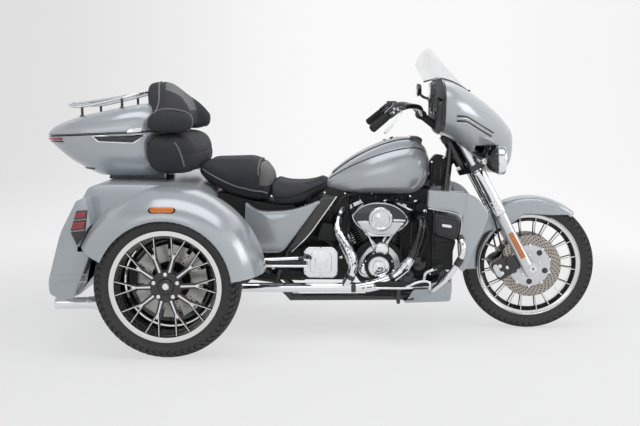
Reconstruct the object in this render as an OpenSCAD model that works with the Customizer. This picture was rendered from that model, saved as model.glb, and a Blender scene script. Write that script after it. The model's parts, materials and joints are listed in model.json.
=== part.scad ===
// Touring motor trike: one steered front wheel, two driven rear wheels on a rigid axle,
// a V-twin engine, a fork-mounted fairing, a two-up seat, a hollow trunk and a hollow top case.
// +X points forward, +Y to the rider's left, +Z up. The ground is Z = 0 and X = 0 is mid-length.

/* [Overall] */
// Length from the front tyre to the back of the top case
length = 2640; // [2500:10:2900]
// Distance between the front and rear axles
wheelbase = 1670; // [1640:10:1760]
// Width over the rear fenders
body_w = 1390; // [1158:1:1668]

/* [Wheels] */
// Radius of the front tyre
front_tyre_r = 318; // [310:1:330]
// Width of the front tyre
front_tyre_w = 130; // [100:1:156]
// Radius of the front rim's lip
front_rim_r = 252; // [230:1:262]
// Radius of the rear tyres
rear_tyre_r = 322; // [300:1:330]
// Width of the rear tyres
rear_tyre_w = 215; // [150:1:240]
// Radius of the rear rims' lips
rear_rim_r = 246; // [225:1:255]
// Spokes in each wheel
spokes = 10; // [5:1:12]

/* [Fork] */
// Lean of the steering axis from vertical, in degrees
rake = 28.5; // [26:0.5:31]
// Distance between the fork legs' centres
fork_w = 236; // [220:1:280]
// How far the fork legs stand ahead of the steering axis
fork_offset = 43; // [36:1:50]
// Width over the handlebar's ends
bar_w = 880; // [740:1:1056]

/* [Bodywork] */
// Width of the fairing at its rear edge
fairing_w = 830; // [692:1:996]
// Width of the fuel tank
tank_w = 336; // [290:1:404]
// Width of the seat
seat_w = 400; // [334:1:460]
// Width of the top case
case_w = 606; // [505:1:727]
// Wall thickness of the trunk and the top case
wall = 6; // [4:0.5:8]

/* [Hidden] */
$fn = 48;

paint = [0.60, 0.64, 0.67];
black = [0.09, 0.09, 0.10];
shiny = [0.85, 0.86, 0.88];
steel = [0.62, 0.63, 0.65];
hide = [0.13, 0.13, 0.14];
rubber_black = [0.06, 0.06, 0.06];

// Small play between a turning piece and what it turns on
play = 0.5;
// Hinge pins and knuckles
pin_r = 4;
knuckle_r = 8;
// Clearance round every moving panel
gap = 5;

// Axles
front_x = length/2 - front_tyre_r;
rear_x = front_x - wheelbase;
axle_z = rear_tyre_r;
case_back_x = -length/2;
front_at = [front_x, front_tyre_r];
rear_at = [rear_x, axle_z];

// Steering: the fork frame's origin is the foot of the perpendicular from the front axle
axle_lead = 14.7;
axle_offset = fork_offset + axle_lead;
fork_foot = [front_x - axle_offset*cos(rake), 0, front_tyre_r - axle_offset*sin(rake)];
leg_y = fork_w/2;
lower_yoke_z = 560;
upper_yoke_z = 735;
head_r = 32;
stem_r = 14;
leg_r = 30;
tube_r = 25;
front_axle_r = 12;
axle_bore_r = 7;

// Engine: the crankshaft's centre and the cylinders' lean
crank_x = rear_x + 934;
crank_z = 332;
cyl_lean = 25;
cyl_r = 62;
fin_r = 78;
fin_step = 13;

// Rear end
half_w = body_w/2;
well_y = half_w - rear_tyre_w - 44;
wheel_y = half_w - 23 - rear_tyre_w/2;
arch_r = rear_tyre_r + 23;
crown_r = rear_tyre_r + 102;
lip_r = rear_tyre_r - 25;
fender_from = 6;
fender_to = 157;
trunk_top = 745;
trunk_floor = 452;
trunk_front_x = rear_x + 170;
tail_y = well_y + 90;
plate_x = rear_x - 512;
plate_z = 470;
plate_pitch = 178;
plate_hole_r = 3.5;
plate_hole_depth = 8;
shaft_r = 16;

// Brake discs: radii, and how far inside a rear wheel's middle its disc stands
front_disc_r = 150;
rear_disc_r = 146;
rear_disc_in = 62;
disc_room = 5;

// Tyres: depth of the rim's bead seat under its lip, wall thickness, half widths of the rims
bead_depth = 14;
tyre_wall = 11;
front_rim_half = front_tyre_w*0.34;
rear_rim_half = rear_tyre_w*0.42;

// Tank and seat
tank_x = crank_x + 240;
tank_top = 933;
tunnel_w = 76;
tunnel_top = 732;
seat_front_x = tank_x - 490;
backbone_z = 706;
backbone_r = 26;
seat_rail_z = 592;

// Headlamp
lamp_z = 905;
lamp_r = 84;

// Top case
case_half = case_w/2;
seam_z = 965;
seam_slope = 0.044;
case_base_z = 768;

// --- shared shapes ---

// Signed power, for superellipses
function spow(v, e) = sign(v)*pow(abs(v), e);

// A point of a smooth curve through b and c, with a and d as their neighbours
function flow(a, b, c, d, t) =
  0.5*(2*b + (c - a)*t + (2*a - 5*b + 4*c - d)*t*t + (3*b - a - 3*c + d)*t*t*t);

// A list of stations with k steps between each pair, flowing smoothly through them
function refine(s, k) = concat(
  [for (i = [0:len(s) - 2], j = [0:k - 1])
    flow(s[max(i - 1, 0)], s[i], s[i + 1], s[min(i + 2, len(s) - 1)], j/k)],
  [s[len(s) - 1]]);

// Ring across X of a station [x, middle y, half width, low z, widest z, high z, low power, high power]
function ring_x(s, n) = [for (i = [0:n - 1]) let (a = 360*i/n, c = cos(a), v = sin(a))
  v < 0
    ? [s[0], s[1] + s[2]*spow(c, s[6]), s[4] + (s[4] - s[3])*spow(v, s[6])]
    : [s[0], s[1] + s[2]*spow(c, s[7]), s[4] + (s[5] - s[4])*spow(v, s[7])]];

// Ring across Z of a station [z, middle x, half length, half width, power, rise per unit of x]
function ring_z(s, n) = [for (i = [0:n - 1]) let (a = 360*i/n)
  let (x = s[2]*spow(cos(a), s[4]))
  [s[1] + x, s[3]*spow(sin(a), s[4]), s[0] + s[5]*x]];

// Ring across Y of a station [y, back x, front x, low z, high z, power, lean per unit of height]
function ring_y(s, n) = [for (i = [0:n - 1]) let (a = 360*i/n)
  let (z = (s[4] - s[3])/2*spow(cos(a), s[5]))
  [(s[1] + s[2])/2 + (s[2] - s[1])/2*spow(sin(a), s[5]) + s[6]*z, s[0], (s[3] + s[4])/2 + z]];

// Closed skin through rings that all have the same number of points
module skin(rings) {
  n = len(rings[0]);
  m = len(rings);
  polyhedron(
    points = [for (r = rings) each r],
    faces = concat(
      [for (i = [0:m - 2], j = [0:n - 1]) let (k = (j + 1) % n)
        [i*n + j, (i + 1)*n + j, (i + 1)*n + k, i*n + k]],
      [[for (j = [0:n - 1]) j]],
      [[for (j = [n - 1:-1:0]) (m - 1)*n + j]]),
    convexity = 8);
}

module loft_x(stations, n = 24, k = 2) {
  skin([for (s = refine(stations, k)) ring_x(s, n)]);
}

module loft_y(stations, n = 20, k = 2) {
  skin([for (s = refine(stations, k)) ring_y(s, n)]);
}

module loft_z(stations, n = 28, k = 2) {
  skin([for (s = refine(stations, k)) ring_z(s, n)]);
}

// Straight round bar between two points
module bar(a, b, r) {
  d = b - a;
  l = norm(d);
  translate(a) rotate([0, acos(d[2]/l), atan2(d[1], d[0])]) cylinder(r = r, h = l);
}

// Round bar through a list of points, with a ball at each bend
module run(pts, r) {
  for (i = [0:len(pts) - 2]) bar(pts[i], pts[i + 1], r);
  for (i = [1:len(pts) - 2]) translate(pts[i]) sphere(r = r*1.05);
}

// The same on the left and on the right
module both_sides() {
  children();
  mirror([0, 1, 0]) children();
}

// Side outline in X and Z, as a plate from y0 to y1
module plate(points, y0, y1) {
  translate([0, y1, 0]) rotate([90, 0, 0]) linear_extrude(height = y1 - y0) polygon(points);
}

// Cylinder along Y from y0 to y1 about the point [x, z]
module disc(at, r, y0, y1) {
  translate([at[0], y0, at[1]]) rotate([-90, 0, 0]) cylinder(r = r, h = y1 - y0);
}

// Profile of radius and y turned about an axle; angles run from +X up towards -X
module wheel_turn(at, from = 0, turn = 360) {
  translate([at[0], 0, at[1]]) rotate([-90, 0, 0]) rotate([0, 0, -from - turn])
    rotate_extrude(angle = turn, $fn = 96) children();
}

// Places its children in the fork's own frame: z along the fork from the axle, x ahead of it
module in_fork() {
  translate(fork_foot) rotate([0, -rake, 0]) children();
}

// Point of the fork's frame in the trike's frame
function fork_point(p) = [
  fork_foot[0] + p[0]*cos(rake) - p[2]*sin(rake), p[1],
  fork_foot[2] + p[0]*sin(rake) + p[2]*cos(rake)];

// --- chassis ---

// Middle of the steering head
function head_at() = fork_point([0, 0, (lower_yoke_z + upper_yoke_z)/2]);

// The two tubes from the steering head down, back under the engine and up to the seat
module down_tubes(grow = 0) {
  both_sides() run([fork_point([0, 10, upper_yoke_z - 34]), [crank_x + 316, 55, 600],
    [crank_x + 300, 84, 250], [crank_x + 215, 104, 170], [crank_x - 420, 112, 165],
    [crank_x - 500, 112, 250], [seat_front_x - 96, 60, seat_rail_z]], 17 + grow);
}

// Rails under the trunk
module trunk_rails(grow = 0) {
  both_sides() run([[crank_x - 494, 128, 262], [trunk_front_x + 30, 128, 430],
    [rear_x - 330, 128, 430]], 15 + grow);
}

// Tube from the steering head along under the tank and down to the seat
module backbone() {
  run([head_at(), [tank_x - 4, 0, backbone_z], [tank_x - 300, 0, backbone_z],
    [seat_front_x - 30, 0, seat_rail_z + 34], [seat_front_x - 96, 0, seat_rail_z]], backbone_r);
}

module frame() {
  color(black) {
    difference() {
      union() {
        in_fork() translate([0, 0, lower_yoke_z + 26])
          cylinder(r = head_r, h = upper_yoke_z - lower_yoke_z - 42);
        backbone();
        down_tubes();
        run([[seat_front_x - 96, -62, seat_rail_z],
          [seat_front_x - 96, 62, seat_rail_z]], 19);
        translate([crank_x - 430, -112, 150]) cube([40, 224, 30]);
      }
      in_fork() translate([0, 0, lower_yoke_z]) cylinder(r = stem_r + play, h = 260);
    }
    trunk_rails();
    both_sides() {
      // pads that carry the trunk, and legs that carry the top case on its roof
      translate([rear_x - 300, 108, 424]) cube([440, 40, trunk_floor - wall - 424]);
      translate([rear_x - 340, 110, trunk_top + 1])
        cube([250, 34, case_base_z - trunk_top - 1]);
    }
  }
}

module engine_case() {
  color(black) difference() {
    union() {
      disc([crank_x, crank_z], 122, -128, 128);
      translate([crank_x - 60, -118, 174]) cube([190, 236, 140]);
    }
    down_tubes();
  }
  color(shiny) {
    disc([crank_x, crank_z], 66, -196, -127);
    disc([crank_x + 14, crank_z + 74], 34, -176, -120);
    disc([crank_x - 66, crank_z - 20], 28, -172, -120);
  }
}

// One finned cylinder with its head and rocker cover, standing on the crankcase
module one_cylinder() {
  reach = 118;
  color(black) {
    translate([0, 0, reach]) cylinder(r = cyl_r, h = 150);
    for (i = [0:10]) translate([0, 0, reach + 12 + i*fin_step]) {
      intersection() {
        cylinder(r = fin_r, h = 5);
        translate([-fin_r, -fin_r + 8, 0]) cube([2*fin_r, 2*fin_r - 16, 5]);
      }
    }
  }
  color(shiny) head_block();
}

// Cylinder head and rocker cover in the cylinder's own frame
module head_block() {
  translate([-58, -66, 268]) cube([116, 132, 46]);
}

module both_cylinders() {
  for (lean = [-cyl_lean, cyl_lean])
    translate([crank_x, 0, crank_z]) rotate([0, lean, 0]) children();
}

module cylinders() {
  difference() {
    both_cylinders() one_cylinder();
    disc([crank_x, crank_z], 122, -140, 140);
  }
}

// Lens-shaped air cleaner with a round cap in the middle
module air_cleaner() {
  at = [crank_x + 5, crank_z + 232];
  color(black) intersection() {
    disc([at[0] - 8, at[1] - 88], 160, -216, -70);
    disc([at[0] + 8, at[1] + 88], 160, -216, -70);
    translate([at[0] - 132, -216, at[1] - 90]) cube([264, 146, 180]);
  }
  color(steel) disc(at, 56, -238, -216);
}

module gearbox() {
  color(black) difference() {
    translate([crank_x - 372, -118, 250]) cube([262, 236, 172]);
    disc([crank_x, crank_z], 122, -119, 119);
    both_cylinders() cylinder(r = fin_r + 1, h = 400);
  }
  color(shiny) {
    translate([crank_x - 358, -196, 278]) cube([160, 78, 146]);
    disc([crank_x - 262, 352], 58, -210, -195);
  }
}

module primary_cover() {
  from = [crank_x + 8, 330];
  to = [crank_x - 330, 318];
  color(shiny) {
    disc(from, 112, 128, 190);
    disc(to, 96, 128, 190);
    plate([[from[0], from[1] + 112], [to[0], to[1] + 96],
      [to[0], to[1] - 96], [from[0], from[1] - 112]], 128, 190);
    disc(from, 60, 189, 204);
    disc(to, 46, 189, 202);
  }
}

module exhaust_run() {
  y = -232;
  // front cylinder's pipe, down and back under the engine
  run([[crank_x + 168, -76, 566], [crank_x + 214, -150, 540], [crank_x + 150, y, 366],
    [crank_x + 70, y, 282], [crank_x - 50, y, 240], [rear_x + 214, y, 236]], 23);
  // rear cylinder's pipe, down to join it
  run([[crank_x - 170, -70, 596], [crank_x - 212, -150, 520], [crank_x - 140, y, 410],
    [crank_x - 116, y, 330], [crank_x - 160, y, 246]], 23);
  // link pipe to the left muffler
  run([[rear_x + 250, y, 236], [rear_x + 214, y + 40, 214], [rear_x + 214, -y, 214]], 20);
}

module exhaust_pipes() {
  color(shiny) difference() {
    exhaust_run();
    both_cylinders() head_block();
  }
}

module mufflers() {
  color(shiny) difference() {
    both_sides() {
      bar([rear_x + 216, -232, 222], [rear_x + 120, -318, 190], 23);
      bar([rear_x + 130, -330, 186], [rear_x - 350, -330, 182], 44);
      bar([rear_x - 350, -330, 182], [rear_x - 572, -330, 176], 26);
    }
    both_sides() bar([rear_x - 450, -330, 179.3], [rear_x - 580, -330, 175.8], 22);
    exhaust_run();
  }
}

// Stations of the tank: [x, middle y, half width, low z, widest z, high z, powers]
function tank_stations() = let (w = tank_w/2) [
  [tank_x - 499, 0, w*0.30, 694, 706, 722, 0.8, 0.9],
  [tank_x - 464, 0, w*0.50, 678, 712, 764, 0.75, 0.9],
  [tank_x - 376, 0, w*0.76, 670, 722, 832, 0.7, 0.9],
  [tank_x - 269, 0, w*0.95, 667, 738, 890, 0.65, 0.9],
  [tank_x - 160, 0, w, 667, 760, 926, 0.6, 0.88],
  [tank_x - 70, 0, w*0.93, 672, 782, 928, 0.6, 0.85],
  [tank_x - 20, 0, w*0.72, 706, 795, 895, 0.7, 0.85],
  [tank_x, 0, w*0.42, 745, 800, 850, 0.8, 0.9]];

module fuel_tank() {
  color(paint) difference() {
    loft_x(tank_stations(), 24, 2);
    translate([seat_front_x - 60, -tunnel_w/2, 600])
      cube([600, tunnel_w, tunnel_top - 600]);
    bar(head_at(), [tank_x - 4, 0, backbone_z], backbone_r + 3);
    backbone();
  }
}

// Height of the tank's top above a place along it
function lift(s, w, d) = [s[0], 0, w, s[5] - 16, s[5] - 8, s[5] + d, 0.5, 0.7];

module tank_console() {
  s = tank_stations();
  color(black) difference() {
    loft_x([for (i = [1:5]) lift(s[i], [0, 26, 40, 46, 46, 34][i], 12)], 16, 2);
    loft_x(s, 24, 2);
    translate([tank_x - 190 - 62, -34, tank_top - 40]) cube([124, 68, 80]);
  }
}

// Filler door, let into the console and hinged at its front edge
module fuel_door() {
  x = tank_x - 190;
  slope = 18;
  color(shiny) translate([0, 0, play]) difference() {
    translate([x, 0, tank_top - 18]) rotate([0, -slope, 0]) union() {
      cylinder(r = 27, h = 20);
      translate([24, -9, 6]) cube([26, 18, 8]);
      // hinge pin
      translate([50, -13, 10]) rotate([-90, 0, 0]) cylinder(r = pin_r, h = 26);
    }
    loft_x(tank_stations(), 24, 2);
  }
}

function seat_station(x, w, low, high) =
  [x, 0, w*seat_w/2, low, low + (high - low)*0.55, high, 0.55, 0.62];

module rider_seat() {
  x = seat_front_x;
  color(hide) difference() {
    loft_x([
      seat_station(x - 262, 0.96, 622, 744),
      seat_station(x - 200, 1.00, 620, 722),
      seat_station(x - 120, 0.94, 636, 718),
      seat_station(x - 50, 0.66, 668, 730),
      seat_station(x + 12, 0.40, 690, 757)], 24, 2);
    loft_x(tank_stations(), 24, 2);
  }
}

module pillion_seat() {
  x = seat_front_x;
  color(hide) difference() {
    loft_x([
      seat_station(x - 612, 0.86, 762, 822),
      seat_station(x - 560, 0.93, 728, 832),
      seat_station(x - 460, 0.97, 672, 836),
      seat_station(x - 360, 0.99, 642, 838),
      seat_station(x - 300, 0.97, 634, 822),
      seat_station(x - 264, 0.92, 626, 770)], 24, 2);
    lower_pad_shape();
  }
}

module seat_base() {
  x = seat_front_x;
  w = seat_w/2*0.7;
  color(black) plate([[x - 150, 560], [x - 150, 619.6], [x - 258, 619.6], [x - 300, 632],
    [x - 360, 641], [x - 440, 663], [x - 478, 676], [trunk_front_x - 5.8, 676],
    [trunk_front_x - 0.6, 560]], -w, w);
}

module side_covers() {
  x = seat_front_x;
  y = seat_w/2 - 22;
  color(paint) both_sides() plate([[x - 24, 648], [x - 156, 600], [x - 322, 590],
    [x - 384, 640], [x - 392, 392], [x - 208, 396]], seat_w/2*0.7, y + 26);
}

module lower_fairings() {
  x = tank_x;
  color(paint) difference() {
    both_sides() plate([[x - 20, 712], [x + 150, 700], [x + 212, 670], [x + 262, 605],
      [x + 232, 513], [x + 196, 443], [x + 150, 334], [x + 130, 336], [x + 118, 473],
      [x + 134, 574], [x + 112, 606], [x - 24, 628]], 258, 322);
    guard_tube(play);
  }
}

module glove_boxes() {
  x = tank_x;
  color(black) difference() {
    both_sides() {
      plate([[x + 6, 604], [x + 110, 587], [x + 130, 562], [x + 114, 476],
        [x + 14, 506]], 250, 336);
      plate([[x + 14, 505], [x + 112, 474], [x + 74, 340], [x - 4, 300]], 262, 300);
    }
    guard_tube(play);
  }
}

// Loop of tube from the top of the down tubes out to the sides and in to the bottom rails
module guard_tube(grow = 0) {
  x = tank_x;
  both_sides()
    run([[crank_x + 316, 74, 560], [x + 84, 150, 560], [x + 92, 240, 540], [x + 142, 352, 470],
      [x + 132, 352, 400], [x + 60, 330, 296], [x + 10, 200, 216], [crank_x + 240, 112, 196]],
      14 + grow);
}

module engine_guard() {
  color(shiny) difference() {
    guard_tube();
    down_tubes();
  }
}

module chin_spoiler() {
  x = tank_x;
  color(paint) difference() {
    plate([[x + 112, 256], [x + 116, 167], [x - 118, 150], [x - 60, 146],
      [x + 122, 158], [x + 122, 262], [x - 40, 262], [x - 40, 256]], -168, 168);
    down_tubes(play);
  }
}

module oil_cooler() {
  x = crank_x + 330;
  color(black) difference() {
    union() {
      translate([x, -96, 300]) cube([30, 192, 190]);
      both_sides() translate([x - 16, 56, 330]) cube([18, 30, 120]);
    }
    down_tubes();
  }
}

module floorboards() {
  x = tank_x;
  color(black) difference() {
    both_sides() {
      // rider's boards with their brackets
      translate([x - 270, 262, 262]) cube([262, 116, 14]);
      translate([x - 170, 118, 170]) cube([40, 158, 16]);
      translate([x - 170, 262, 170]) cube([40, 16, 96]);
      // passenger's boards
      translate([x - 830, 246, 356]) cube([260, 96, 14]);
      translate([x - 720, 88, 356]) cube([40, 160, 14]);
    }
    down_tubes();
  }
  // brake pedal on the right
  color(shiny) {
    run([[x - 40, -320, 276], [x - 30, -320, 330], [x + 20, -330, 352]], 7);
    translate([x + 6, -350, 346]) rotate([0, -24, 0]) cube([50, 44, 12]);
  }
}

module rear_axle() {
  color(black) {
    difference() {
      union() {
        disc(rear_at, 112, -70, 70);
        both_sides() disc(rear_at, 40, 60, wheel_y - 72);
      }
      both_sides() disc(rear_at, shaft_r + play, wheel_y - 150, wheel_y);
    }
    // arms forward to the frame
    difference() {
      both_sides() {
        bar([rear_x + 20, 128, axle_z - 6], [crank_x - 494, 128, 262], 24);
        translate([rear_x - 30, 100, axle_z]) cube([60, 56, 100]);
      }
      trunk_rails();
      down_tubes();
    }
  }
  // calipers, slotted for the discs
  color(steel) both_sides() difference() {
    union() {
      translate([rear_x - 178, wheel_y - rear_disc_in - 36, axle_z - 40]) cube([70, 82, 110]);
      translate([rear_x - 120, wheel_y - rear_disc_in - 36, axle_z - 24]) cube([96, 26, 50]);
    }
    disc(rear_at, rear_disc_r + disc_room, wheel_y - rear_disc_in - disc_room, wheel_y);
    disc(rear_at, 30, wheel_y - 100, wheel_y);
  }
}

// Side outline of the trunk
function trunk_outline() = let (x = rear_x, z = trunk_top) [
  [x + 164, 676], [x + 126, 712], [x + 60, z - 4], [x - 180, z + 1], [x - 340, z + 1],
  [x - 376, z - 14], [x - 400, z - 60], [x - 480, 540], [x - 546, 324], [x - 542, 265],
  [x - 500, 240], [x - 430, 240], [x - 388, 300], [x - 366, 400],
  [x - 330, trunk_floor - wall], [x + 110, trunk_floor - wall],
  [x + 160, trunk_floor + 20], [x + 170, 540]];

module trunk_solid() {
  plate(trunk_outline(), -well_y, well_y);
}

// Block in the plane of the sloping back, for the door and its opening
module door_block(grow) {
  w = 280 + grow;
  translate([rear_x - 474, 0, 540]) rotate([0, 17, 0])
    translate([-60, -w, -150 - grow]) cube([100, 2*w, 296 + 2*grow]);
}

module trunk_inside() {
  w = well_y - wall;
  x = rear_x;
  plate([[x + 120, trunk_floor], [x + 140, 650], [x + 136, 672], [x + 96, 706], [x + 50, trunk_top - 14],
    [x - 345, trunk_top - 12], [x - 372, trunk_top - 34], [x - 386, 678], [x - 465, 536],
    [x - 530, 326], [x - 526, 270], [x - 498, 254], [x - 438, 254], [x - 402, 304],
    [x - 378, trunk_floor]], -w, w);
}

module hinge_place() {
  translate([rear_x - 531, 0, 387]) children();
}

// Corner behind a wheel, which carries a tail light and closes the back of the wheel arch
module tail_corner() {
  difference() {
    plate([[rear_x - 360, 700], [rear_x - 404, 684], [rear_x - 480, 540],
      [rear_x - 540, 324], [rear_x - 536, 268], [rear_x - 500, 246], [rear_x - 430, 246],
      [rear_x - 366, 400], [rear_x - 330, 500]], well_y - 26, tail_y);
    disc(rear_at, arch_r + 12, well_y - 30, tail_y + 1);
    intersection() {
      disc(rear_at, crown_r + 2, well_y - 30, tail_y + 1);
      translate([rear_x - 500, well_y - 31, axle_z + 140]) cube([500, tail_y - well_y + 33, 400]);
    }
  }
}

module trunk() {
  color(paint) {
    difference() {
      union() {
        trunk_solid();
        both_sides() tail_corner();
      }
      trunk_inside();
      door_block(gap);
      hinge_place() rotate([90, 0, 0]) cylinder(r = 13, h = 600, center = true);
    }
  }
  // fixed knuckles of the door's hinge
  color(steel) both_sides() difference() {
    union() {
      hinge_place() translate([0, 150, 0]) rotate([-90, 0, 0]) cylinder(r = knuckle_r, h = 40);
      hinge_place() translate([0, 150, -30]) cube([26, 40, 24]);
    }
    hinge_place() translate([0, 140, 0]) rotate([-90, 0, 0]) cylinder(r = pin_r + play, h = 60);
  }
}

module trunk_door() {
  color(paint) difference() {
    intersection() {
      trunk_solid();
      door_block(0);
    }
    trunk_inside();
  }
  // bracket for a number plate, upright, with its two bolt holes
  color(black) difference() {
    translate([plate_x, -plate_pitch/2 - 22, plate_z - 16])
      cube([rear_x - 460 - plate_x, plate_pitch + 44, 32]);
    both_sides() translate([plate_x - 1, plate_pitch/2, plate_z]) rotate([0, 90, 0])
      cylinder(r = plate_hole_r, h = plate_hole_depth + 1);
    trunk_solid();
  }
  color(steel) {
    hinge_place() rotate([90, 0, 0]) cylinder(r = pin_r, h = 400, center = true);
    both_sides() hinge_place() translate([0, 92, 0]) rotate([-90, 0, 0]) cylinder(r = knuckle_r, h = 50);
    both_sides() hinge_place() translate([0, 92, 6]) cube([20, 50, 14]);
  }
}

// Height of a fender's crown over the axle at a share t of the way out to its lip
function fender_roof(t) = lip_r + (crown_r - lip_r)*pow(1 - pow(t, 2.6), 0.58);

// Section of a fender as radius and distance from the middle: inner wall, roof and outer lip
function fender_section() = let (y0 = well_y + 0.3, reach = half_w - y0, n = 14) concat(
  [[arch_r, y0 + 7], [arch_r, y0]],
  [for (i = [0:n]) let (t = 1 - pow(1 - i/n, 2)) [fender_roof(t), y0 + reach*t]],
  [for (i = [n:-1:0]) let (t = 1 - pow(1 - i/n, 2))
    [max(lip_r, fender_roof(t) - 7*(1 - t)), y0 + 7*(1 - t) + (reach - 6)*t]]);

module rear_fenders() {
  color(paint) for (side = [-1, 1])
    wheel_turn(rear_at, fender_from, fender_to - fender_from)
      polygon([for (p = fender_section()) [p[0], side*p[1]]]);
}

module tail_lights() {
  color("firebrick") both_sides()
    plate([[rear_x - 352, 640], [rear_x - 400, 640], [rear_x - 440, 540], [rear_x - 408, 500],
      [rear_x - 384, 530]], tail_y, tail_y + 14);
}

// --- top case ---

function case_x() = case_back_x + 293;

function box_stations(t) = let (w = case_half, x = case_x()) [
  [case_base_z + 1.2*t, x + 112, 170 - t, w*0.71 - t, 0.6, 0],
  [800, x + 87, 205 - t, w*0.83 - t, 0.6, 0],
  [850, x + 52, 245 - t, w*0.93 - t, 0.6, 0.01],
  [920, x + 12, 277 - t, w*0.98 - t, 0.6, 0.03],
  [seam_z - gap, x, 287 - t, w - t, 0.6, seam_slope]];

function lid_stations(t) = let (w = case_half, x = case_x()) [
  [seam_z, x, 287 - t, w - t, 0.6, seam_slope],
  [seam_z + 30, x + 3, 282 - t, w*0.983 - t, 0.6, 0.08],
  [seam_z + 66 - t/2, x + 12, 260 - t, w*0.925 - t, 0.62, 0.13],
  [seam_z + 92 - t, x + 22, 222 - t, w*0.80 - t, 0.65, 0.17],
  [seam_z + 106 - t, x + 27, 165 - t, w*0.61 - t, 0.7, 0.19],
  [seam_z + 111 - t, x + 27, 80 - t, w*0.3 - t, 0.8, 0.2]];

// Places a part along the lid's hinge line, a distance ahead of the case's middle
module lid_hinge(k) {
  translate([case_x() + k, case_half + 14, seam_z - 3]) rotate([0, 90, 0]) children();
}

module top_case() {
  color(paint) difference() {
    union() {
      loft_z(box_stations(0));
      // fixed knuckles of the lid's hinge, on the left side
      for (k = [-130, 90]) {
        lid_hinge(k) cylinder(r = knuckle_r, h = 40);
        translate([case_x() + k, case_half - 30, seam_z - 31]) cube([40, 46, 24]);
      }
    }
    loft_z(concat([for (i = [0:3]) box_stations(wall)[i]],
      [[seam_z + 40, case_x(), 287 - wall, case_half - wall, 0.6, seam_slope]]), 28, 1);
    lid_hinge(-200) cylinder(r = pin_r + play, h = 400);
  }
}

module top_case_lid() {
  color(paint) difference() {
    loft_z(lid_stations(0));
    loft_z(concat([[seam_z - 40, case_x(), 287 - wall, case_half - wall, 0.6, seam_slope]],
      [for (i = [1:5]) lid_stations(wall)[i]]), 28, 1);
  }
  color(steel) difference() {
    union() {
      lid_hinge(-130) cylinder(r = pin_r, h = 260);
      for (k = [-88, 48]) {
        lid_hinge(k) cylinder(r = knuckle_r, h = 40);
        translate([case_x() + k, case_half - 30, seam_z + 2]) cube([40, 50, 14]);
      }
    }
    loft_z(lid_stations(0));
  }
}

function back_x() = case_x() + 287;

module upper_pad_shape() {
  x = back_x();
  w = case_half;
  loft_y([[-w*1.05, x - 30, x + 110, 990, 1030, 0.7, 0], [-w*1.0, x - 75, x + 148, 970, 1062, 0.6, 0],
    [-w*0.8, x - 60, x + 140, 970, 1098, 0.6, -0.1], [-w*0.45, x - 80, x + 92, 970, 1166, 0.6, -0.3],
    [0, x - 90, x + 78, 970, 1214, 0.6, -0.42],
    [w*0.45, x - 80, x + 92, 970, 1166, 0.6, -0.3], [w*0.8, x - 60, x + 140, 970, 1098, 0.6, -0.1],
    [w*1.0, x - 75, x + 148, 970, 1062, 0.6, 0], [w*1.05, x - 30, x + 110, 990, 1030, 0.7, 0]], 16, 2);
}

module upper_back_pad() {
  color(hide) difference() {
    upper_pad_shape();
    loft_z(lid_stations(0));
  }
}

module lower_pad_shape() {
  x = back_x();
  w = case_half;
  loft_y([[-w*1.03, x - 40, x + 110, 810, 930, 0.7, -0.1], [-w*0.98, x - 80, x + 150, 782, 958, 0.6, -0.15],
    [-w*0.7, x - 60, x + 168, 782, 960, 0.55, -0.2], [0, x - 60, x + 176, 782, 960, 0.5, -0.25],
    [w*0.7, x - 60, x + 168, 782, 960, 0.55, -0.2], [w*0.98, x - 80, x + 150, 782, 958, 0.6, -0.15],
    [w*1.03, x - 40, x + 110, 810, 930, 0.7, -0.1]], 16, 2);
}

module lower_back_pad() {
  color(hide) difference() {
    lower_pad_shape();
    loft_z(box_stations(0));
  }
}

module luggage_rack() {
  x = case_x();
  w = case_half*0.56;
  color(shiny) difference() {
    both_sides() {
      run([[x - 190, 0, 1096], [x - 190, w - 40, 1096], [x - 160, w, 1086], [x - 100, w, 1088],
        [x + 100, w, 1132], [x + 160, w - 20, 1150], [x + 172, 0, 1154]], 7);
      for (px = [-110, 80]) bar([x + px, w, 1086 + (px + 110)*0.23], [x + px, w, 1010], 7);
      for (py = [0.15, 0.55]) bar([x - 190, w*py, 1096], [x + 172, w*py, 1153], 5);
    }
    loft_z(lid_stations(0));
    upper_pad_shape();
  }
}

// --- fork and steering ---

module yoke_plates() {
  y = leg_y + 37;
  x = fork_offset + 40;
  in_fork() for (z = [lower_yoke_z, upper_yoke_z]) translate([0, 0, z - 14])
    linear_extrude(height = 28)
      polygon([[-36, -34], [-36, 34], [14, y], [x, y], [x, -y], [14, -y]]);
}

module fork_yokes() {
  color(black) difference() {
    yoke_plates();
    in_fork() for (side = [-1, 1])
      translate([fork_offset, side*leg_y, 0]) cylinder(r = tube_r, h = 1000);
  }
  color(black) in_fork()
    translate([0, 0, lower_yoke_z]) cylinder(r = stem_r, h = upper_yoke_z - lower_yoke_z);
  // brackets out to the fairing
  color(black) both_sides() difference() {
    run([fork_point([10, leg_y + 30, upper_yoke_z]), [tank_x + 96, 172, 1000],
      [tank_x + 20, 199, 1061]], 8);
    translate([tank_x - 60, 100, 900]) cube([99, 200, 300]);
  }
}

module fork_legs() {
  color(steel) difference() {
    in_fork() for (side = [-1, 1]) translate([fork_offset, side*leg_y, 0]) {
      translate([0, 0, -34]) cylinder(r = leg_r, h = 346);
      translate([0, 0, 300]) cylinder(r = tube_r, h = upper_yoke_z - 286);
      translate([0, 0, 318]) cylinder(r = 34, h = lower_yoke_z - 336);
      translate([0, -22, -30]) cube([36, 44, 62]);
    }
    disc(front_at, axle_bore_r, -leg_y - 60, leg_y + 60);
  }
  // hollow axle, open at both ends for a stand's pin
  color(shiny) difference() {
    disc(front_at, front_axle_r, -leg_y - 34, leg_y + 34);
    disc(front_at, axle_bore_r, -leg_y - 35, leg_y + 35);
  }
}

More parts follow.
